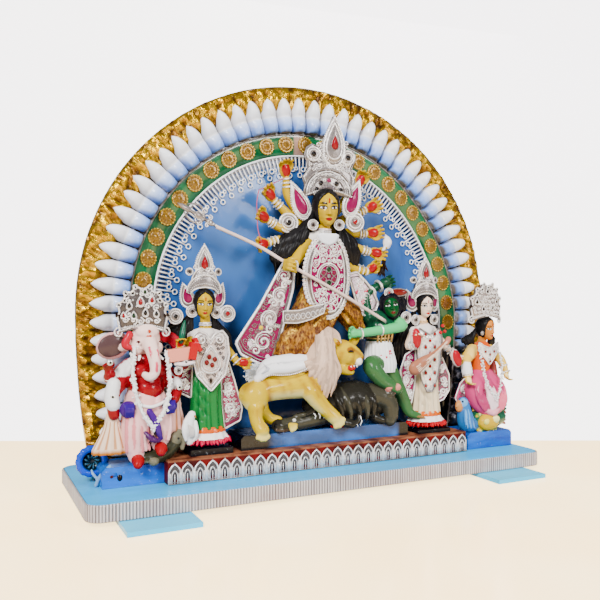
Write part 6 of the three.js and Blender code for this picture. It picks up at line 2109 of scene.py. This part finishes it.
def make_saraswati():
    body, gear = Clay(), Craft()
    body.limb([(122.5, -18, 162, 4.4), (122.5, -18, 156, 4.6), (123.5, -17, 150, 7)], IVORY)
    body.limb([(112, -15, 147, 5), (124, -17, 149, 6), (137, -15, 147, 5)], srgb(236, 230, 226), 16)
    body.limb([(125, -17, 146, 10), (126, -17, 130, 10.5), (127, -17, 114, 9), (127, -17, 106, 10)],
              srgb(236, 230, 226), 20)
    arm(body, gear, (112, -16, 145), (103, -21, 131), (105, -27, 132), (107, -32, 146), 4.2, IVORY, 12,
        palm=srgb(206, 10, 40), bangles=2)
    arm(body, gear, (138, -16, 145), (149, -20, 131), (155, -24, 124), (165, -28, 112), 4.2, IVORY, 11,
        palm=srgb(206, 10, 40), bangles=2)
    body.lump((104, -34, 140), (5.4, 2.4, 10.5), (0.36, 0.0, 0.012), tilted(-8))
    body.lump((104, -32.6, 140), (6.6, 2.6, 12), (0.70, 0.60, 0.55), tilted(-8))
    body.lump((158, -31.4, 117), (5.2, 2.4, 9.4), (0.36, 0.0, 0.012), tilted(-24))
    body.lump((158, -30, 117), (6.0, 2.6, 10.4), (0.74, 0.62, 0.56), tilted(-24))
    body.piece("saraswati_body", [enamel], ["saraswati"], 0.6)
    gear.piece("saraswati_bangles", [foil])
    levels = [(127, -17, *rest)
              for rest in ((116, 10.5, 9.5), (104, 13, 11.5), (80, 13.6, 12), (60, 15.4, 13))]
    sari = make_sari(levels, 12, SARI_CREAM, 0.1, 3)
    add_hem(sari, (127, -17, 57, 16, 13.2), srgb(224, 138, 40))
    sari.piece("saraswati_sari", [enamel])
    petal_fringe("saraswati_fringe", "saraswati_lotus", (128, -17, 49.5, 20, 15.6), srgb(208, 20, 66), 7)
    make_face("saraswati_face", 25, (123.5, -20, 173.4), (8, 2, 0), IVORY,
              lips=srgb(214, 30, 44))
    rng = np.random.default_rng(43)
    hair = Craft()
    hair_cap(hair, 25, (123.5, -19.6, 174), (8, 2, 0))
    side_hair(hair, rng, (123.5, 170), 124, ((-1, 23, 104, -12, 8), (1, 25, 98, -12, 8)), 16, 2.7, (4, 6))
    hair.piece("saraswati_hair", [hair_black])
    small_crown("saraswati_crown_foil", "saraswati_crown", 123.5, 183, 26, 40, -18, 8)
    side_bosses("saraswati_bosses", ((111.6, 158.5, 5.0, STONE_SLATE), (135.5, 158.5, 5.0, STONE_SLATE),
                                     (99.5, 161, 6.0, STONE_SLATE)), -20)
    neck = neck_rings((122.6, -18), ((157.2, 4.9), (155.6, 5.2)), 0.75, (0.9, 0.6, 0.3, 0.5))
    neck.piece("saraswati_choker", [foil])
    plate = Foil((124, 116), -28, 1.8, 16, turn=5)
    edge = evenly([(112, 150), (118, 146), (124, 143), (130, 146), (136, 150), (140, 138), (138, 116),
                   (133, 96), (127, 83), (120, 83), (114, 96), (110, 116), (109, 138)], 1.8)
    plate.framed(edge, (0, 1.4, WHITE_SILVER, 10), (0.4, 0.8, SILVER))
    plate.wire(around(edge, 0.8), 0.4, 0.45)
    for k in range(9):
        z = 144 - k * 6.8
        for x in ((124,) if k % 2 else (118.5, 129.5)):
            plate.stone((x, z), (1.6, 2.1), srgb(178, 10, 52), 0.9, 0, mount=k % 2 == 0)
        plate.scroll((124 + (5 if k % 2 else 0), z - 3), 2.4, 90, 1.1, 1 if k % 2 else -1, 0.8, 0.45)
    for x, z in ((140, 152), (137, 145), (143, 146)):
        plate.ball(plate.lay((x, z), 1), 1.9, srgb(212, 20, 70), 5)
    plate.piece("saraswati_apron_foil", [foil], ["saraswati_apron"])
    edge = [(112, 128), (100, 122), (94, 106), (97, 78), (107, 70), (111, 88), (113, 106)]
    spine = [(105, 118), (101, 102), (101, 86), (105, 74)]
    wing("saraswati_wing_left", "saraswati_shawl_left", edge, -19.4, spine, 5.4, (*CERISE, 0), 4)
    edge = [(141, 122), (148, 116), (156, 98), (156, 82), (149, 72), (142, 70), (139, 92)]
    spine = [(146, 114), (149, 98), (149, 84), (145, 74)]
    wing("saraswati_wing_right", "saraswati_shawl_right", edge, -19.4, spine, 5.4, (0.30, 0.06, 0.11, 0.0),
         4, -1)
    lute = Clay()
    neck_and_bowl = [(142, -36, 137, 2.4), (134, -37, 131, 2.2), (122, -38, 123, 2.8), (110, -38, 115.6, 6.0),
                     (101, -36, 109, 7.4)]
    lute.limb(neck_and_bowl, (0.36, 0.13, 0.07), 18, 0.6)
    for k in range(4):
        lute.limb([(140 - k * 0.5, -38.6, 136.5 - k, 0.35), (120, -41, 122.6 - k, 0.4),
                   (100 + k, -40.6, 111 - k * 1.8, 0.4)], (0.75, 0.55, 0.40), 6)
    lute.limb([(143, -36, 138, 3.0), (140, -37, 134, 2.4)], (0.50, 0.16, 0.10), 14)
    lute.piece("tan_veena", [enamel], ["saraswati_veena"], 0.5)


make_saraswati()


# Ganesha sits at the far left: a white elephant's head under a silver crown set with stones, a glossy
# red body, white cuffs, a beaded garland and a pale pink cloth tied with purple knots.
TUSK_WHITE, EAR_GREY = srgb(250, 228, 220), srgb(126, 106, 106)
BODY_RED, PURPLE = (0.24, 0.0, 0.006), (0.05, 0.006, 0.16)
DHOTI, ROSE = srgb(244, 208, 204), srgb(228, 110, 138)


def make_ganesha():
    body, gear = Clay(), Craft()
    body.limb([(-175, -17, 128, 10), (-175, -18, 116, 15), (-175, -19, 104, 16.5), (-175, -20, 92, 15)],
              BODY_RED, 24)
    for x in (-181, -167):
        body.lump((x, -30, 118), (8, 5, 6.5), BODY_RED)
    body.lump((-174, -28, 102), (12, 9, 10), BODY_RED)
    body.lump((-175, -19, 145), (13, 13, 14), TUSK_WHITE)
    body.lump((-175, -27, 152), (10.5, 6, 7), TUSK_WHITE)
    for x in (-183, -167):
        body.lump((x, -25, 138), (6, 6, 6.5), TUSK_WHITE)
    trunk = [(-174, -31, 142, 6.6), (-172.5, -37, 133, 5.6), (-171.5, -40, 124, 4.9),
             (-172.5, -41.5, 117, 4.2), (-177, -42, 113.6, 3.6), (-181, -42, 116, 2.8)]
    body.limb(trunk, TUSK_WHITE, 18)
    for a, b, r in (((-174, -36.6, 142), (-172, -42.4, 132), 1.0),
                    ((-171.4, -44.2, 126), (-171.6, -45.4, 119), 1.1),
                    ((-176.6, -39.4, 139), (-175, -42, 131), 0.8),
                    ((-170, -40.6, 137), (-168.8, -42.6, 128), 0.8)):
        body.limb([(*a, r), (*b, r)], ROSE, 8)
    for side, x0 in ((-1, -183), (1, -166)):
        eye = x0 + side * 1.4
        body.limb([(x0, -32, 131, 1.7), (x0 + side * 2, -37, 128.4, 1.1)], (0.9, 0.88, 0.82), 8)
        body.limb([(eye - 1.8, -33, 143.4, 0.7), (eye, -33.8, 144.2, 0.9), (eye + 1.8, -33, 143.4, 0.6)],
                  srgb(120, 40, 46), 6)
        body.lump((eye, -34, 142.6), (1.1, 0.7, 1.0), BLACK)
    for x, z, r in ((-175, 152.6, 1.3), (-174, 148.4, 0.9), (-176.6, 148.6, 0.7)):
        body.lump((x, -33.6, z), (r, 0.8, r), srgb(206, 104, 30))
    body.lump((-202, -14, 140), (15.5, 3.2, 12), srgb(230, 190, 186), tilted(-18))
    body.lump((-204, -17, 140), (12, 2.2, 9.6), EAR_GREY, tilted(-18))
    body.limb([(-188, -18, 141, 5), (-198, -15, 138, 4)], TUSK_WHITE, 14)
    body.limb([(-190, -24, 150, 3), (-194, -24, 141, 3.4), (-189, -26, 138, 2)], srgb(206, 60, 92), 10)
    body.limb([(-164, -17, 146, 5), (-152, -13, 146, 5.4), (-144, -12, 140, 6)], srgb(206, 60, 92), 12, 0.5)
    arm(body, gear, (-188, -15, 122), (-204, -18, 112), (-207, -22, 117), (-210, -26, 127), 6.2, BODY_RED,
        10, palm=srgb(180, 60, 60), bangles=1, cup=0.5)
    body.limb([(-187, -17, 122, 7), (-195, -20, 116, 7.4)], (0.86, 0.84, 0.83), 16)
    body.limb([(-190, -20, 112, 6.5), (-202, -27, 104, 6), (-206, -30, 94, 5.4), (-205, -31, 82, 5)],
              BODY_RED)
    body.limb([(-205, -30, 108, 5.6), (-207, -31, 98, 6.2), (-206, -32, 91, 6)], (0.86, 0.84, 0.82), 16)
    arm(body, gear, (-161, -15, 122), (-149, -18, 111), (-146, -23, 116), (-141, -27, 126), 6, BODY_RED, 9,
        palm=srgb(180, 60, 60), bangles=1, cup=0.5)
    body.limb([(-160, -19, 112, 6.4), (-150, -27, 102, 5.8), (-153, -33, 93, 5)], BODY_RED)
    body.limb([(-150, -26, 105, 6), (-150, -28, 100, 6.2)], (0.86, 0.84, 0.82), 14)
    for x, y, z in ((-186, -39, 41), (-166, -39, 50)):
        body.limb([(x, y + 9, z + 3, 5), (x, y, z + 1, 5.4), (x - 1, y - 3, z - 1, 4.2)],
                  (0.30, 0.0, 0.004), 16)
    ganesha = body.piece("ganesha_body", [enamel], ["ganesha"], 0.75)
    for x, z in ((-207, 98), (-149, 103), (-209, 127), (-143, 125)):
        gear.ball((x, -37.6 + abs(x + 178) * 0.05, z), (2.6, 1.2, 2.6), (0.82, 0.8, 0.76, 0.4), 8)
        gear.ball((x, -38.8 + abs(x + 178) * 0.05, z), (1.2, 0.9, 1.2), STONE_SLATE, 6)
    gear.piece("ganesha_bosses", [foil])


make_ganesha()


# His cloth hangs in pale pleats from two purple knots, with a fan of stiff cloth at either side and a
# garland of small white beads over it.
def strew_beads(craft, path, each, spread, sizes, paint, rng):
    """Small beads in disorder along a path, each of them for every place on it."""
    for spot in evenly(path, 1.5, False):
        for _ in range(each):
            craft.ball(spot + rng.normal(0, spread, 3), rng.uniform(*sizes), paint, 3)


def make_ganesha_cloth():
    cloth = Clay()
    cloth.limb([(-178, -21, 92, 16), (-184, -25, 74, 14), (-187, -28, 58, 11), (-186, -31, 45, 7)], DHOTI, 24)
    cloth.limb([(-170, -21, 90, 14), (-166, -26, 74, 13), (-165, -29, 60, 10), (-166, -31, 54, 7)], DHOTI, 24)
    for k in range(7):
        x = -194 + k * 3.0
        cloth.limb([(x, -36 + abs(k - 3) * 0.8, 84, 1.3), (x - 1.4, -39 + abs(k - 3), 66, 1.7),
                    (x - 1 + k * 0.3, -37.6 + abs(k - 3) * 0.9, 50, 1.2)],
                    DHOTI if k % 2 else srgb(232, 170, 172), 8)
    for k in range(5):
        cloth.limb([(-171 + k * 3.6, -36 + k * 0.7, 82, 1.3), (-173 + k * 4, -38 + k * 0.6, 68, 1.7),
                    (-171 + k * 3, -37, 58, 1.2)], srgb(232, 170, 172) if k % 2 else DHOTI, 8)
    cloth.limb([(-186, -30, 88, 4), (-176, -34, 86, 3.6), (-166, -32, 88, 4)], srgb(236, 196, 196), 14)
    for x, z in ((-193.5, 86), (-157.5, 87)):
        cloth.lump((x, -33, z), (7.4, 6, 7.2), PURPLE)
        for k in range(4):
            cloth.limb([(x - 4 + 2.6 * k, -38, z + 5, 0.9), (x - 3 + 2 * k, -39.6, z, 1.3),
                        (x - 3 + 2.2 * k, -37, z - 6, 0.9)], srgb(100, 54, 160), 6)
    cloth.limb([(-176, -38, 84, 2.4), (-171, -41, 74, 3.2), (-168, -41, 64, 2.6), (-166, -40, 60, 1.4)],
               PURPLE, 12)
    cloth.limb([(-180, -38, 66, 1.4), (-174, -41, 60, 2.6), (-168, -40, 58, 1.4)], srgb(120, 70, 130), 10)
    cloth.limb([(-178, -40, 56, 0.6), (-174, -41, 62, 0.7), (-170, -41, 69, 0.6)], BLACK, 6)
    cloth.piece("ganesha_dhoti", [enamel], (), 0.75, 1, 0.5)
    fans = Craft()
    for x, top, low, wide, y, tint in ((-205, 82, 48, 15.5, -25, srgb(246, 226, 206)),
                                       (-149, 100, 56, 14, -18, srgb(246, 214, 204))):
        levels = [(x, y, top, 5, 5), (x - 0.5, y, (top + low) / 2 + 4, 7.5, 6.4),
                  (x - 1, y, low + 5, wide * 0.95, 8), (x - 1, y, low, wide, 8)]
        grid = drape(levels, 11, 0.1, 34, 110, sharp=0.9)
        share = np.clip((top - grid[..., 2:3]) / (top - low), 0, 1)
        a = np.linspace(0, 2 * np.pi, 110, endpoint=False)[None, :, None]
        border = np.clip((share - 0.86) * 10, 0, 1)
        gold = border + 0.75 * (np.cos(11 * a) < -0.55) * (share > 0.2) * (share < 0.86)
        fans.skin(grid, np.array(tint) * (1 - gold) + np.array(srgb(206, 150, 60)) * gold)
    fans.piece("ganesha_fans", [enamel])
    beads = Craft()
    rng = np.random.default_rng(3)
    for side in ([(-187, -31, 139), (-190, -36, 118), (-187, -39, 96), (-181, -41, 80), (-174, -42.5, 70)],
                 [(-160, -33, 134), (-158, -38, 112), (-161, -41, 92), (-168, -42.5, 78), (-174, -42.5, 70)]):
        path = smooth_path(side, 14)
        beads.tube(path, 1.5, (0.8, 0.79, 0.76), 6)
        strew_beads(beads, path, 3, 1.0, (0.9, 1.5), (0.9, 0.89, 0.86), rng)
    beads.tube(smooth_path([(-188, -34, 91), (-175, -40, 88), (-160, -36, 92)], 8), 1.5, (0.9, 0.86, 0.84), 6)
    beads.piece("ganesha_garland", [enamel])


make_ganesha_cloth()


def tall_tiara(name, node, x, z, wide, high, y, turn, seed, spots, ground, curl=2.3):
    """A flared silver tiara: scalloped edge, stamped openwork all over and a few large stones."""
    tiara = Foil((x, z), y, 6.0, wide * 0.7, turn=turn)
    half = wide / 2
    rim = [(-1.0, 0.02), (-1.12, 0.3), (-1.02, 0.44), (-1.1, 0.6), (-0.82, 0.7), (-0.78, 0.86),
           (-0.46, 0.86), (-0.34, 1.0), (0, 0.92), (0.34, 1.0), (0.46, 0.86), (0.78, 0.86), (0.82, 0.7),
           (1.1, 0.6), (1.02, 0.44), (1.12, 0.3), (1.0, 0.02), (0.5, 0.1), (0, 0.14), (-0.5, 0.1)]
    edge = evenly(np.array([(x + a * half, z + b * high) for a, b in rim]), 1.5)
    tiara.framed(edge, (1.0, 4.0, ground, 10, 1.4), (1.4, 1.0))
    places = [(np.array((x + a * half, z + b * high)), size, colour) for a, b, size, colour in spots]
    for spot, size, colour in places:
        frame = drop(*spot, size * 1.5, size * 2.0, 22)
        tiara.framed(frame, (2.4, 0.8, WHITE_SILVER, 5, 0.6), (2.9, 0.6))
        tiara.plate(drop(*spot, size * 0.95, size * 1.35, 16), 3.2, 0.5, (*colour, 0), 4, 0.8)
    tiara.filigree(edge, curl, seed, 2.5, 0.24 * curl,
                   keep=lambda p: all(np.linalg.norm(p - s) > r * 2.1 for s, r, _ in places))
    low = np.array([(x - half, z), (x - half * 0.5, z + high * 0.06), (x, z + high * 0.09),
                    (x + half * 0.5, z + high * 0.06), (x + half, z)])
    for lift, step in ((3.0, 0), (2.8, high * 0.07)):
        tiara.beads(smooth_path(low + (0, step), 8), 1.6, lift, 0.85, WHITE_SILVER if step else SILVER, False)
    for side in (-1, 1):
        tiara.scroll((x + side * half * 1.05, z - high * 0.02), wide * 0.12, 90, 1.3, -side, 0.8, 0.9)
        tiara.plate(oval(x + side * half * 1.1, z + high * 0.36, wide * 0.06, wide * 0.06, 14), 1.6, 1,
                    (*GARNET, 0), 4, 0.9)
    for a, b in rim[3:14]:
        tiara.wire(oval(x + a * half * 0.98, z + b * high * 0.98, 1.9, 1.9, 14), 2.0, 0.55)
        tiara.ball(tiara.lay((x + a * half * 0.98, z + b * high * 0.98), 2.0), 0.9, (*STONE_SLATE, 0), 4)
    tiara.piece(name, [foil], [node])


tall_tiara("ganesha_crown_foil", "ganesha_crown", -178, 152, 38, 40, -20, 10, 51,
           ((-0.1, 0.66, 2.3, RUBY), (0.42, 0.7, 1.9, RUBY), (-0.6, 0.58, 1.8, STONE_SLATE),
            (0.12, 0.42, 1.8, STONE_SLATE), (-0.4, 0.36, 1.7, EMERALD), (0.62, 0.4, 1.7, STONE_SLATE),
            (-0.86, 0.36, 1.5, RUBY), (0.1, 0.88, 1.5, EMERALD)), (0.06, 0.05, 0.048, 0.4), 3.1)


# The mouse at his feet is grey with a light belly. At the corner of the board a blue dish stands on its
# rim, with a painted twig over it.
def make_mouse():
    mouse = Clay()
    grey, light = srgb(92, 92, 76), srgb(150, 146, 128)
    mouse.limb([(-178, -32, 42.5, 4.6), (-170, -32, 43, 6.4), (-161, -30, 45, 7), (-154, -29, 51, 6.8),
                (-150, -28, 58, 5)], grey, 18)
    mouse.lump((-151, -31, 57), (5.6, 5, 6), light)
    mouse.limb([(-147, -29, 60, 2.6), (-144, -30, 54, 2.4), (-145, -31, 48, 2.0)], light, 10)
    mouse.lump((-148, -32, 63), (2.6, 1.4, 2.8), light)
    mouse.lump((-172, -37, 40), (4.4, 4, 4), light)
    mouse.limb([(-176, -34, 41, 2.6), (-181, -35, 40, 1.6)], light, 10)
    mouse.lump((-150, -36, 58), (0.9, 0.6, 0.9), BLACK)
    mouse.piece("grey_mouse", [enamel], ["mouse"], 0.6)


make_mouse()


def make_dish():
    dish = Craft()
    centre = np.array((-219, -5, 38.6))
    a = np.linspace(0, 2 * np.pi, 64, endpoint=False)
    profile = ((0.06, 2.2), (0.3, 1.8), (0.5, 0.6), (0.56, -1.4), (0.64, -3.0), (0.8, -3.6), (0.95, -2.6),
               (1.0, -0.4), (0.96, 1.8), (0.8, 3.2), (0.4, 3.6), (0.05, 3.7))
    rows, paints = [], []
    teal, blue = srgb(22, 74, 92), srgb(34, 118, 214)
    for share, y in profile:
        scallop = 1 + 0.025 * np.cos(a * 14) * (share > 0.75)
        r = 14 * share * scallop
        rows.append(centre + np.column_stack([r * np.cos(a), np.full(len(a), float(y)), r * np.sin(a)]))
        paints.append(np.broadcast_to(teal if share < 0.6 and y < 3 else blue, (len(a), 3)))
    dish.skin(np.array(rows), np.array(paints))
    for k in range(9):
        b = 2 * np.pi * k / 9
        dish.tube([centre + (6.4 * math.cos(b), -1.2, 6.4 * math.sin(b)),
                   centre + (2.6 * math.cos(b + 0.5), 0.2, 2.6 * math.sin(b + 0.5))], (0.9, 0.5),
                   srgb(90, 130, 150), 6)
    dish.piece("blue_dish_scalloped", [enamel], ["blue_dish"])
    twig = Clay()
    bark = srgb(160, 190, 214)
    twig.limb([(-218, -20, 20.4, 1.6), (-216, -21, 26, 1.8), (-212, -24, 32, 2.2), (-208, -28, 37, 2.0)],
              bark, 10)
    twig.limb([(-216, -20, 25, 1.5), (-220, -17, 30, 1.3), (-221, -15, 33, 0.8)], bark, 8)
    twig.limb([(-212, -24, 32, 1.8), (-204, -27, 33, 2.4), (-197, -29, 31, 1.8)], bark, 10)
    twig.lump((-207, -29, 29), (2.8, 2.4, 3.0), srgb(120, 66, 34))
    twig.lump((-200, -30, 27.6), (2.6, 2.4, 3.4), srgb(60, 44, 40))
    twig.lump((-204, -30, 30.6), (2.2, 2, 2.2), srgb(52, 124, 190))
    twig.piece("painted_twig", [enamel], (), 0.6, 1)


make_dish()


# Kartikeya sits at the far right on his peacock. His skin is orange, and he wears a silver collar, a
# pink cloth with stiff side wings and a flared silver crown.
APRICOT, SLEEVE, DHOTI_PINK = (0.62, 0.20, 0.02), (0.80, 0.50, 0.06), (0.55, 0.045, 0.16)


def make_kartikeya():
    body, gear = Clay(), Craft()
    body.limb([(203.5, -18, 137, 4.6), (203, -18, 131, 4.8), (202, -18, 124, 8)], APRICOT)
    body.limb([(202, -18, 122, 12), (201, -18, 112, 11.5), (200, -18, 100, 10), (200, -18, 92, 11)],
              srgb(226, 130, 30), 22)
    arm(body, gear, (190, -17, 124), (177, -22, 112), (175, -28, 97), (172, -36, 84), 5.8, SLEEVE, 10,
        palm=CREAM, bangles=2)
    arm(body, gear, (214, -17, 124), (226, -22, 112), (228, -28, 98), (224, -36, 88), 5.2, SLEEVE, 9,
        palm=CREAM, bangles=2)
    body.limb([(190, -17, 124, 6.6), (183, -20, 118, 6.4)], srgb(246, 222, 150), 14)
    body.limb([(176, -24, 108, 5.8), (175, -27, 101, 6)], (0.88, 0.87, 0.86), 14)
    kartikeya = body.piece("kartikeya_body", [enamel], ["kartikeya"], 0.65)
    gear.piece("kartikeya_bangles", [foil])
    cloth = Clay()
    cloth.limb([(196, -20, 92, 12), (186, -25, 80, 10.5), (187, -31, 66, 8), (196, -35, 57, 5)],
               DHOTI_PINK, 22)
    cloth.limb([(213, -17, 120, 4), (216, -18, 108, 5.4), (217, -19, 96, 6)], (0.22, 0.035, 0.03), 12)
    cloth.limb([(201, -20, 94, 11), (201, -25, 80, 11), (201, -30, 66, 9), (201, -32, 57, 6)],
               deeper(DHOTI_PINK, 0.8), 20)
    for k in range(5):
        cloth.limb([(196 + k * 2.4, -33, 88 - k, 1.2), (195 + k * 2.8, -38.5, 74, 1.6),
                    (197 + k * 2, -41, 60 + k, 1.2)], (0.84, 0.62, 0.64), 8)
    cloth.limb([(205, -20, 92, 12), (217, -25, 80, 10.5), (216, -31, 66, 8), (205, -35, 57, 5)],
               DHOTI_PINK, 22)
    for k in range(6):
        cloth.limb([(181 + k * 2.4, -33 + k * 0.4, 84 - k, 1.3), (182 + k * 2.6, -38, 70, 1.7),
                    (188 + k * 2, -39.5, 60, 1.2)], deeper(DHOTI_PINK, 0.75), 8)
        cloth.limb([(221 - k * 2.4, -33 + k * 0.4, 84 - k, 1.3), (220 - k * 2.6, -38, 70, 1.7),
                    (214 - k * 2, -39.5, 60, 1.2)], srgb(240, 150, 170), 8)
    cloth.limb([(192, -38, 60, 2.4), (199, -41, 57, 3.6), (207, -39, 60, 2.4)], srgb(246, 190, 200), 12)
    cloth.piece("kartikeya_dhoti", [enamel], (), 0.7, 1, 0.5)
    make_face("kartikeya_face", 25, (206, -20, 147.5), (-12, 0, 0), APRICOT)
    rng = np.random.default_rng(47)
    hair = Craft()
    hair_cap(hair, 25, (206, -19.4, 148), (-12, 0, 0), part=0.0)
    for side in (-1, 1):
        for k in range(9):
            share = k / 8
            root = (205 + side * (8 + 3 * share), -15 + 6 * share, 147 - 8 * share)
            end = (204 + side * (9 + 13 * share), -13 + 4 * share, 128 + 3 * share + rng.normal(0, 2.5))
            wavy_lock(hair, root, end, 2.6, rng, BLACK, 1.6, 1.4, (side * 4, -1.5, 0))
    hair.piece("kartikeya_hair", [hair_black])
    tall_tiara("kartikeya_crown_foil", "kartikeya_crown", 202.5, 158, 38, 39, -21, -4, 52,
               ((-0.82, 0.5, 1.7, GARNET), (0.66, 0.52, 1.8, GARNET), (-0.1, 0.8, 1.6, STONE_SLATE),
                (0.3, 0.34, 1.5, STONE_SLATE), (-0.4, 0.3, 1.5, GARNET)), (0.30, 0.25, 0.22, 0.4))
    collar = Foil((203, 121), -28, 2.6, 16)
    edge = evenly([(190, 133), (196, 129), (203, 127), (210, 129), (216, 133), (217, 124), (210, 116),
                   (203, 108), (196, 116), (189, 124)], 1.5)
    collar.framed(edge, (0, 1.2, WHITE_SILVER, 7, 0.8), (0.4, 0.7))
    for x, z in ((203, 123), (197, 126), (209, 126), (203, 115)):
        collar.scroll((x, z), 2.6, 90, 1.2, 1, 1.2, 0.5)
        collar.stone((x, z - 3), (1.1, 1.4), RUBY, 1.2, 0)
    collar.ball(collar.lay((193, 143), 1.0), (2.6, 1.2, 2.6), SILVER, 8)
    collar.piece("kartikeya_collar", [foil])
    beads = Craft()
    for side in ([(190, -29, 130), (190, -35, 108), (194, -38, 88), (203, -42, 72)],
                 [(215, -29, 130), (217, -35, 108), (213, -38, 88), (203, -42, 72)]):
        strew_beads(beads, smooth_path(side, 12), 2, 0.8, (0.9, 1.4), (0.88, 0.87, 0.84), rng)
    beads.piece("kartikeya_garland", [enamel])
    left = [(184, 97), (173, 88), (166, 72), (172, 63), (187, 66), (191, 80)]
    right = [(221, 98), (230, 90), (236, 74), (233, 63), (219, 62), (215, 80)]
    for side, edge, tint in (("left", left, (*DHOTI_PINK, 0)), ("right", right, (*srgb(244, 190, 196), 0))):
        middle = np.mean(edge, 0)[0]
        wing("kartikeya_wing_" + side, "kartikeya_cloth_" + side, edge, -17.4,
             [(middle, edge[0][1] - 6), (middle, edge[3][1] + 6)], 5, tint, 0, 1, 0.8)


make_kartikeya()


# The peacock is blue at the neck and dark green behind, with a gilded side and a red tail end. Its
# small feathers are dabs in four colours round the gilding.
def make_peacock():
    bird = Clay()
    teal, light = (0.02, 0.16, 0.44), (0.12, 0.36, 0.66)
    deep_green, gilt, lime = (0.01, 0.09, 0.045), (0.62, 0.36, 0.0), (0.10, 0.26, 0.03)
    bird.limb([(180, -24, 46, 9), (192, -26, 47, 11.5), (206, -26, 48, 12), (219, -24, 49, 9.5)],
              deep_green, 22)
    bird.limb([(180, -27, 44, 8.4), (172, -30, 46, 9.4), (168, -32, 55, 8.6), (166, -33, 65, 6.4),
               (165, -33, 70, 5.4)], teal, 22)
    bird.lump((164, -34.6, 69), (5.6, 4.6, 5.6), light)
    bird.lump((158, -34.5, 66), (4.4, 3.4, 6.4), (0.55, 0.22, 0.06))
    bird.limb([(156, -36, 68.4, 1.8), (152.4, -37, 66, 0.7)], (0.55, 0.25, 0.08), 8)
    bird.lump((160.4, -38, 71.2), (1.0, 0.6, 1.0), BLACK)
    for k in range(6):
        bird.limb([(162 + k * 1.6, -39.6 + abs(k - 2.5) * 0.5, 62, 0.6),
                   (161.6 + k * 2.0, -40.6 + abs(k - 2.5) * 0.6, 52, 0.8), (164 + k * 2.4, -39, 42, 0.5)],
                   light if k % 2 else teal, 6)
    bird.lump((197, -36, 46.5), (13.5, 6.6, 9.5), gilt)
    bird.lump((203, -41, 50), (5, 2.6, 4), (0.90, 0.80, 0.30))
    bird.lump((190, -41.4, 48), (3.4, 1.6, 3), (0.85, 0.72, 0.12))
    rng = np.random.default_rng(19)
    for k in range(46):
        a = rng.uniform(0, 2 * np.pi)
        x, z = 198 + 15.5 * math.cos(a) + rng.normal(0, 1.6), 46.5 + 10.5 * math.sin(a) + rng.normal(0, 1.4)
        if x > 178:
            bird.lump((x, -36 + 0.03 * (x - 198) ** 2 * 0.6, z), (1.6, 1.2, 1.6),
                      (lime, gilt, (0.02, 0.16, 0.06), (0.5, 0.55, 0.2))[k % 4])
    for k in range(6):
        z = 38.5 + k * 3.2
        bird.limb([(214, -24 - k * 0.8, 46 + k, 2.8), (224, -24 - k * 0.6, z + 5, 2.6),
                   (231, -23 - k * 0.4, z + 2 + k, 1.4)], (0.36, 0.01, 0.01)
                   if k in (0, 1, 3) else deep_green, 10)
    for x in (178, 192):
        bird.limb([(x, -30, 41, 2.2), (x - 2, -33, 38.6, 1.4)], srgb(224, 144, 90), 8)
    bird.piece("peacock_body", [enamel], ["peacock"], 0.65, 1, 0.5)


make_peacock()
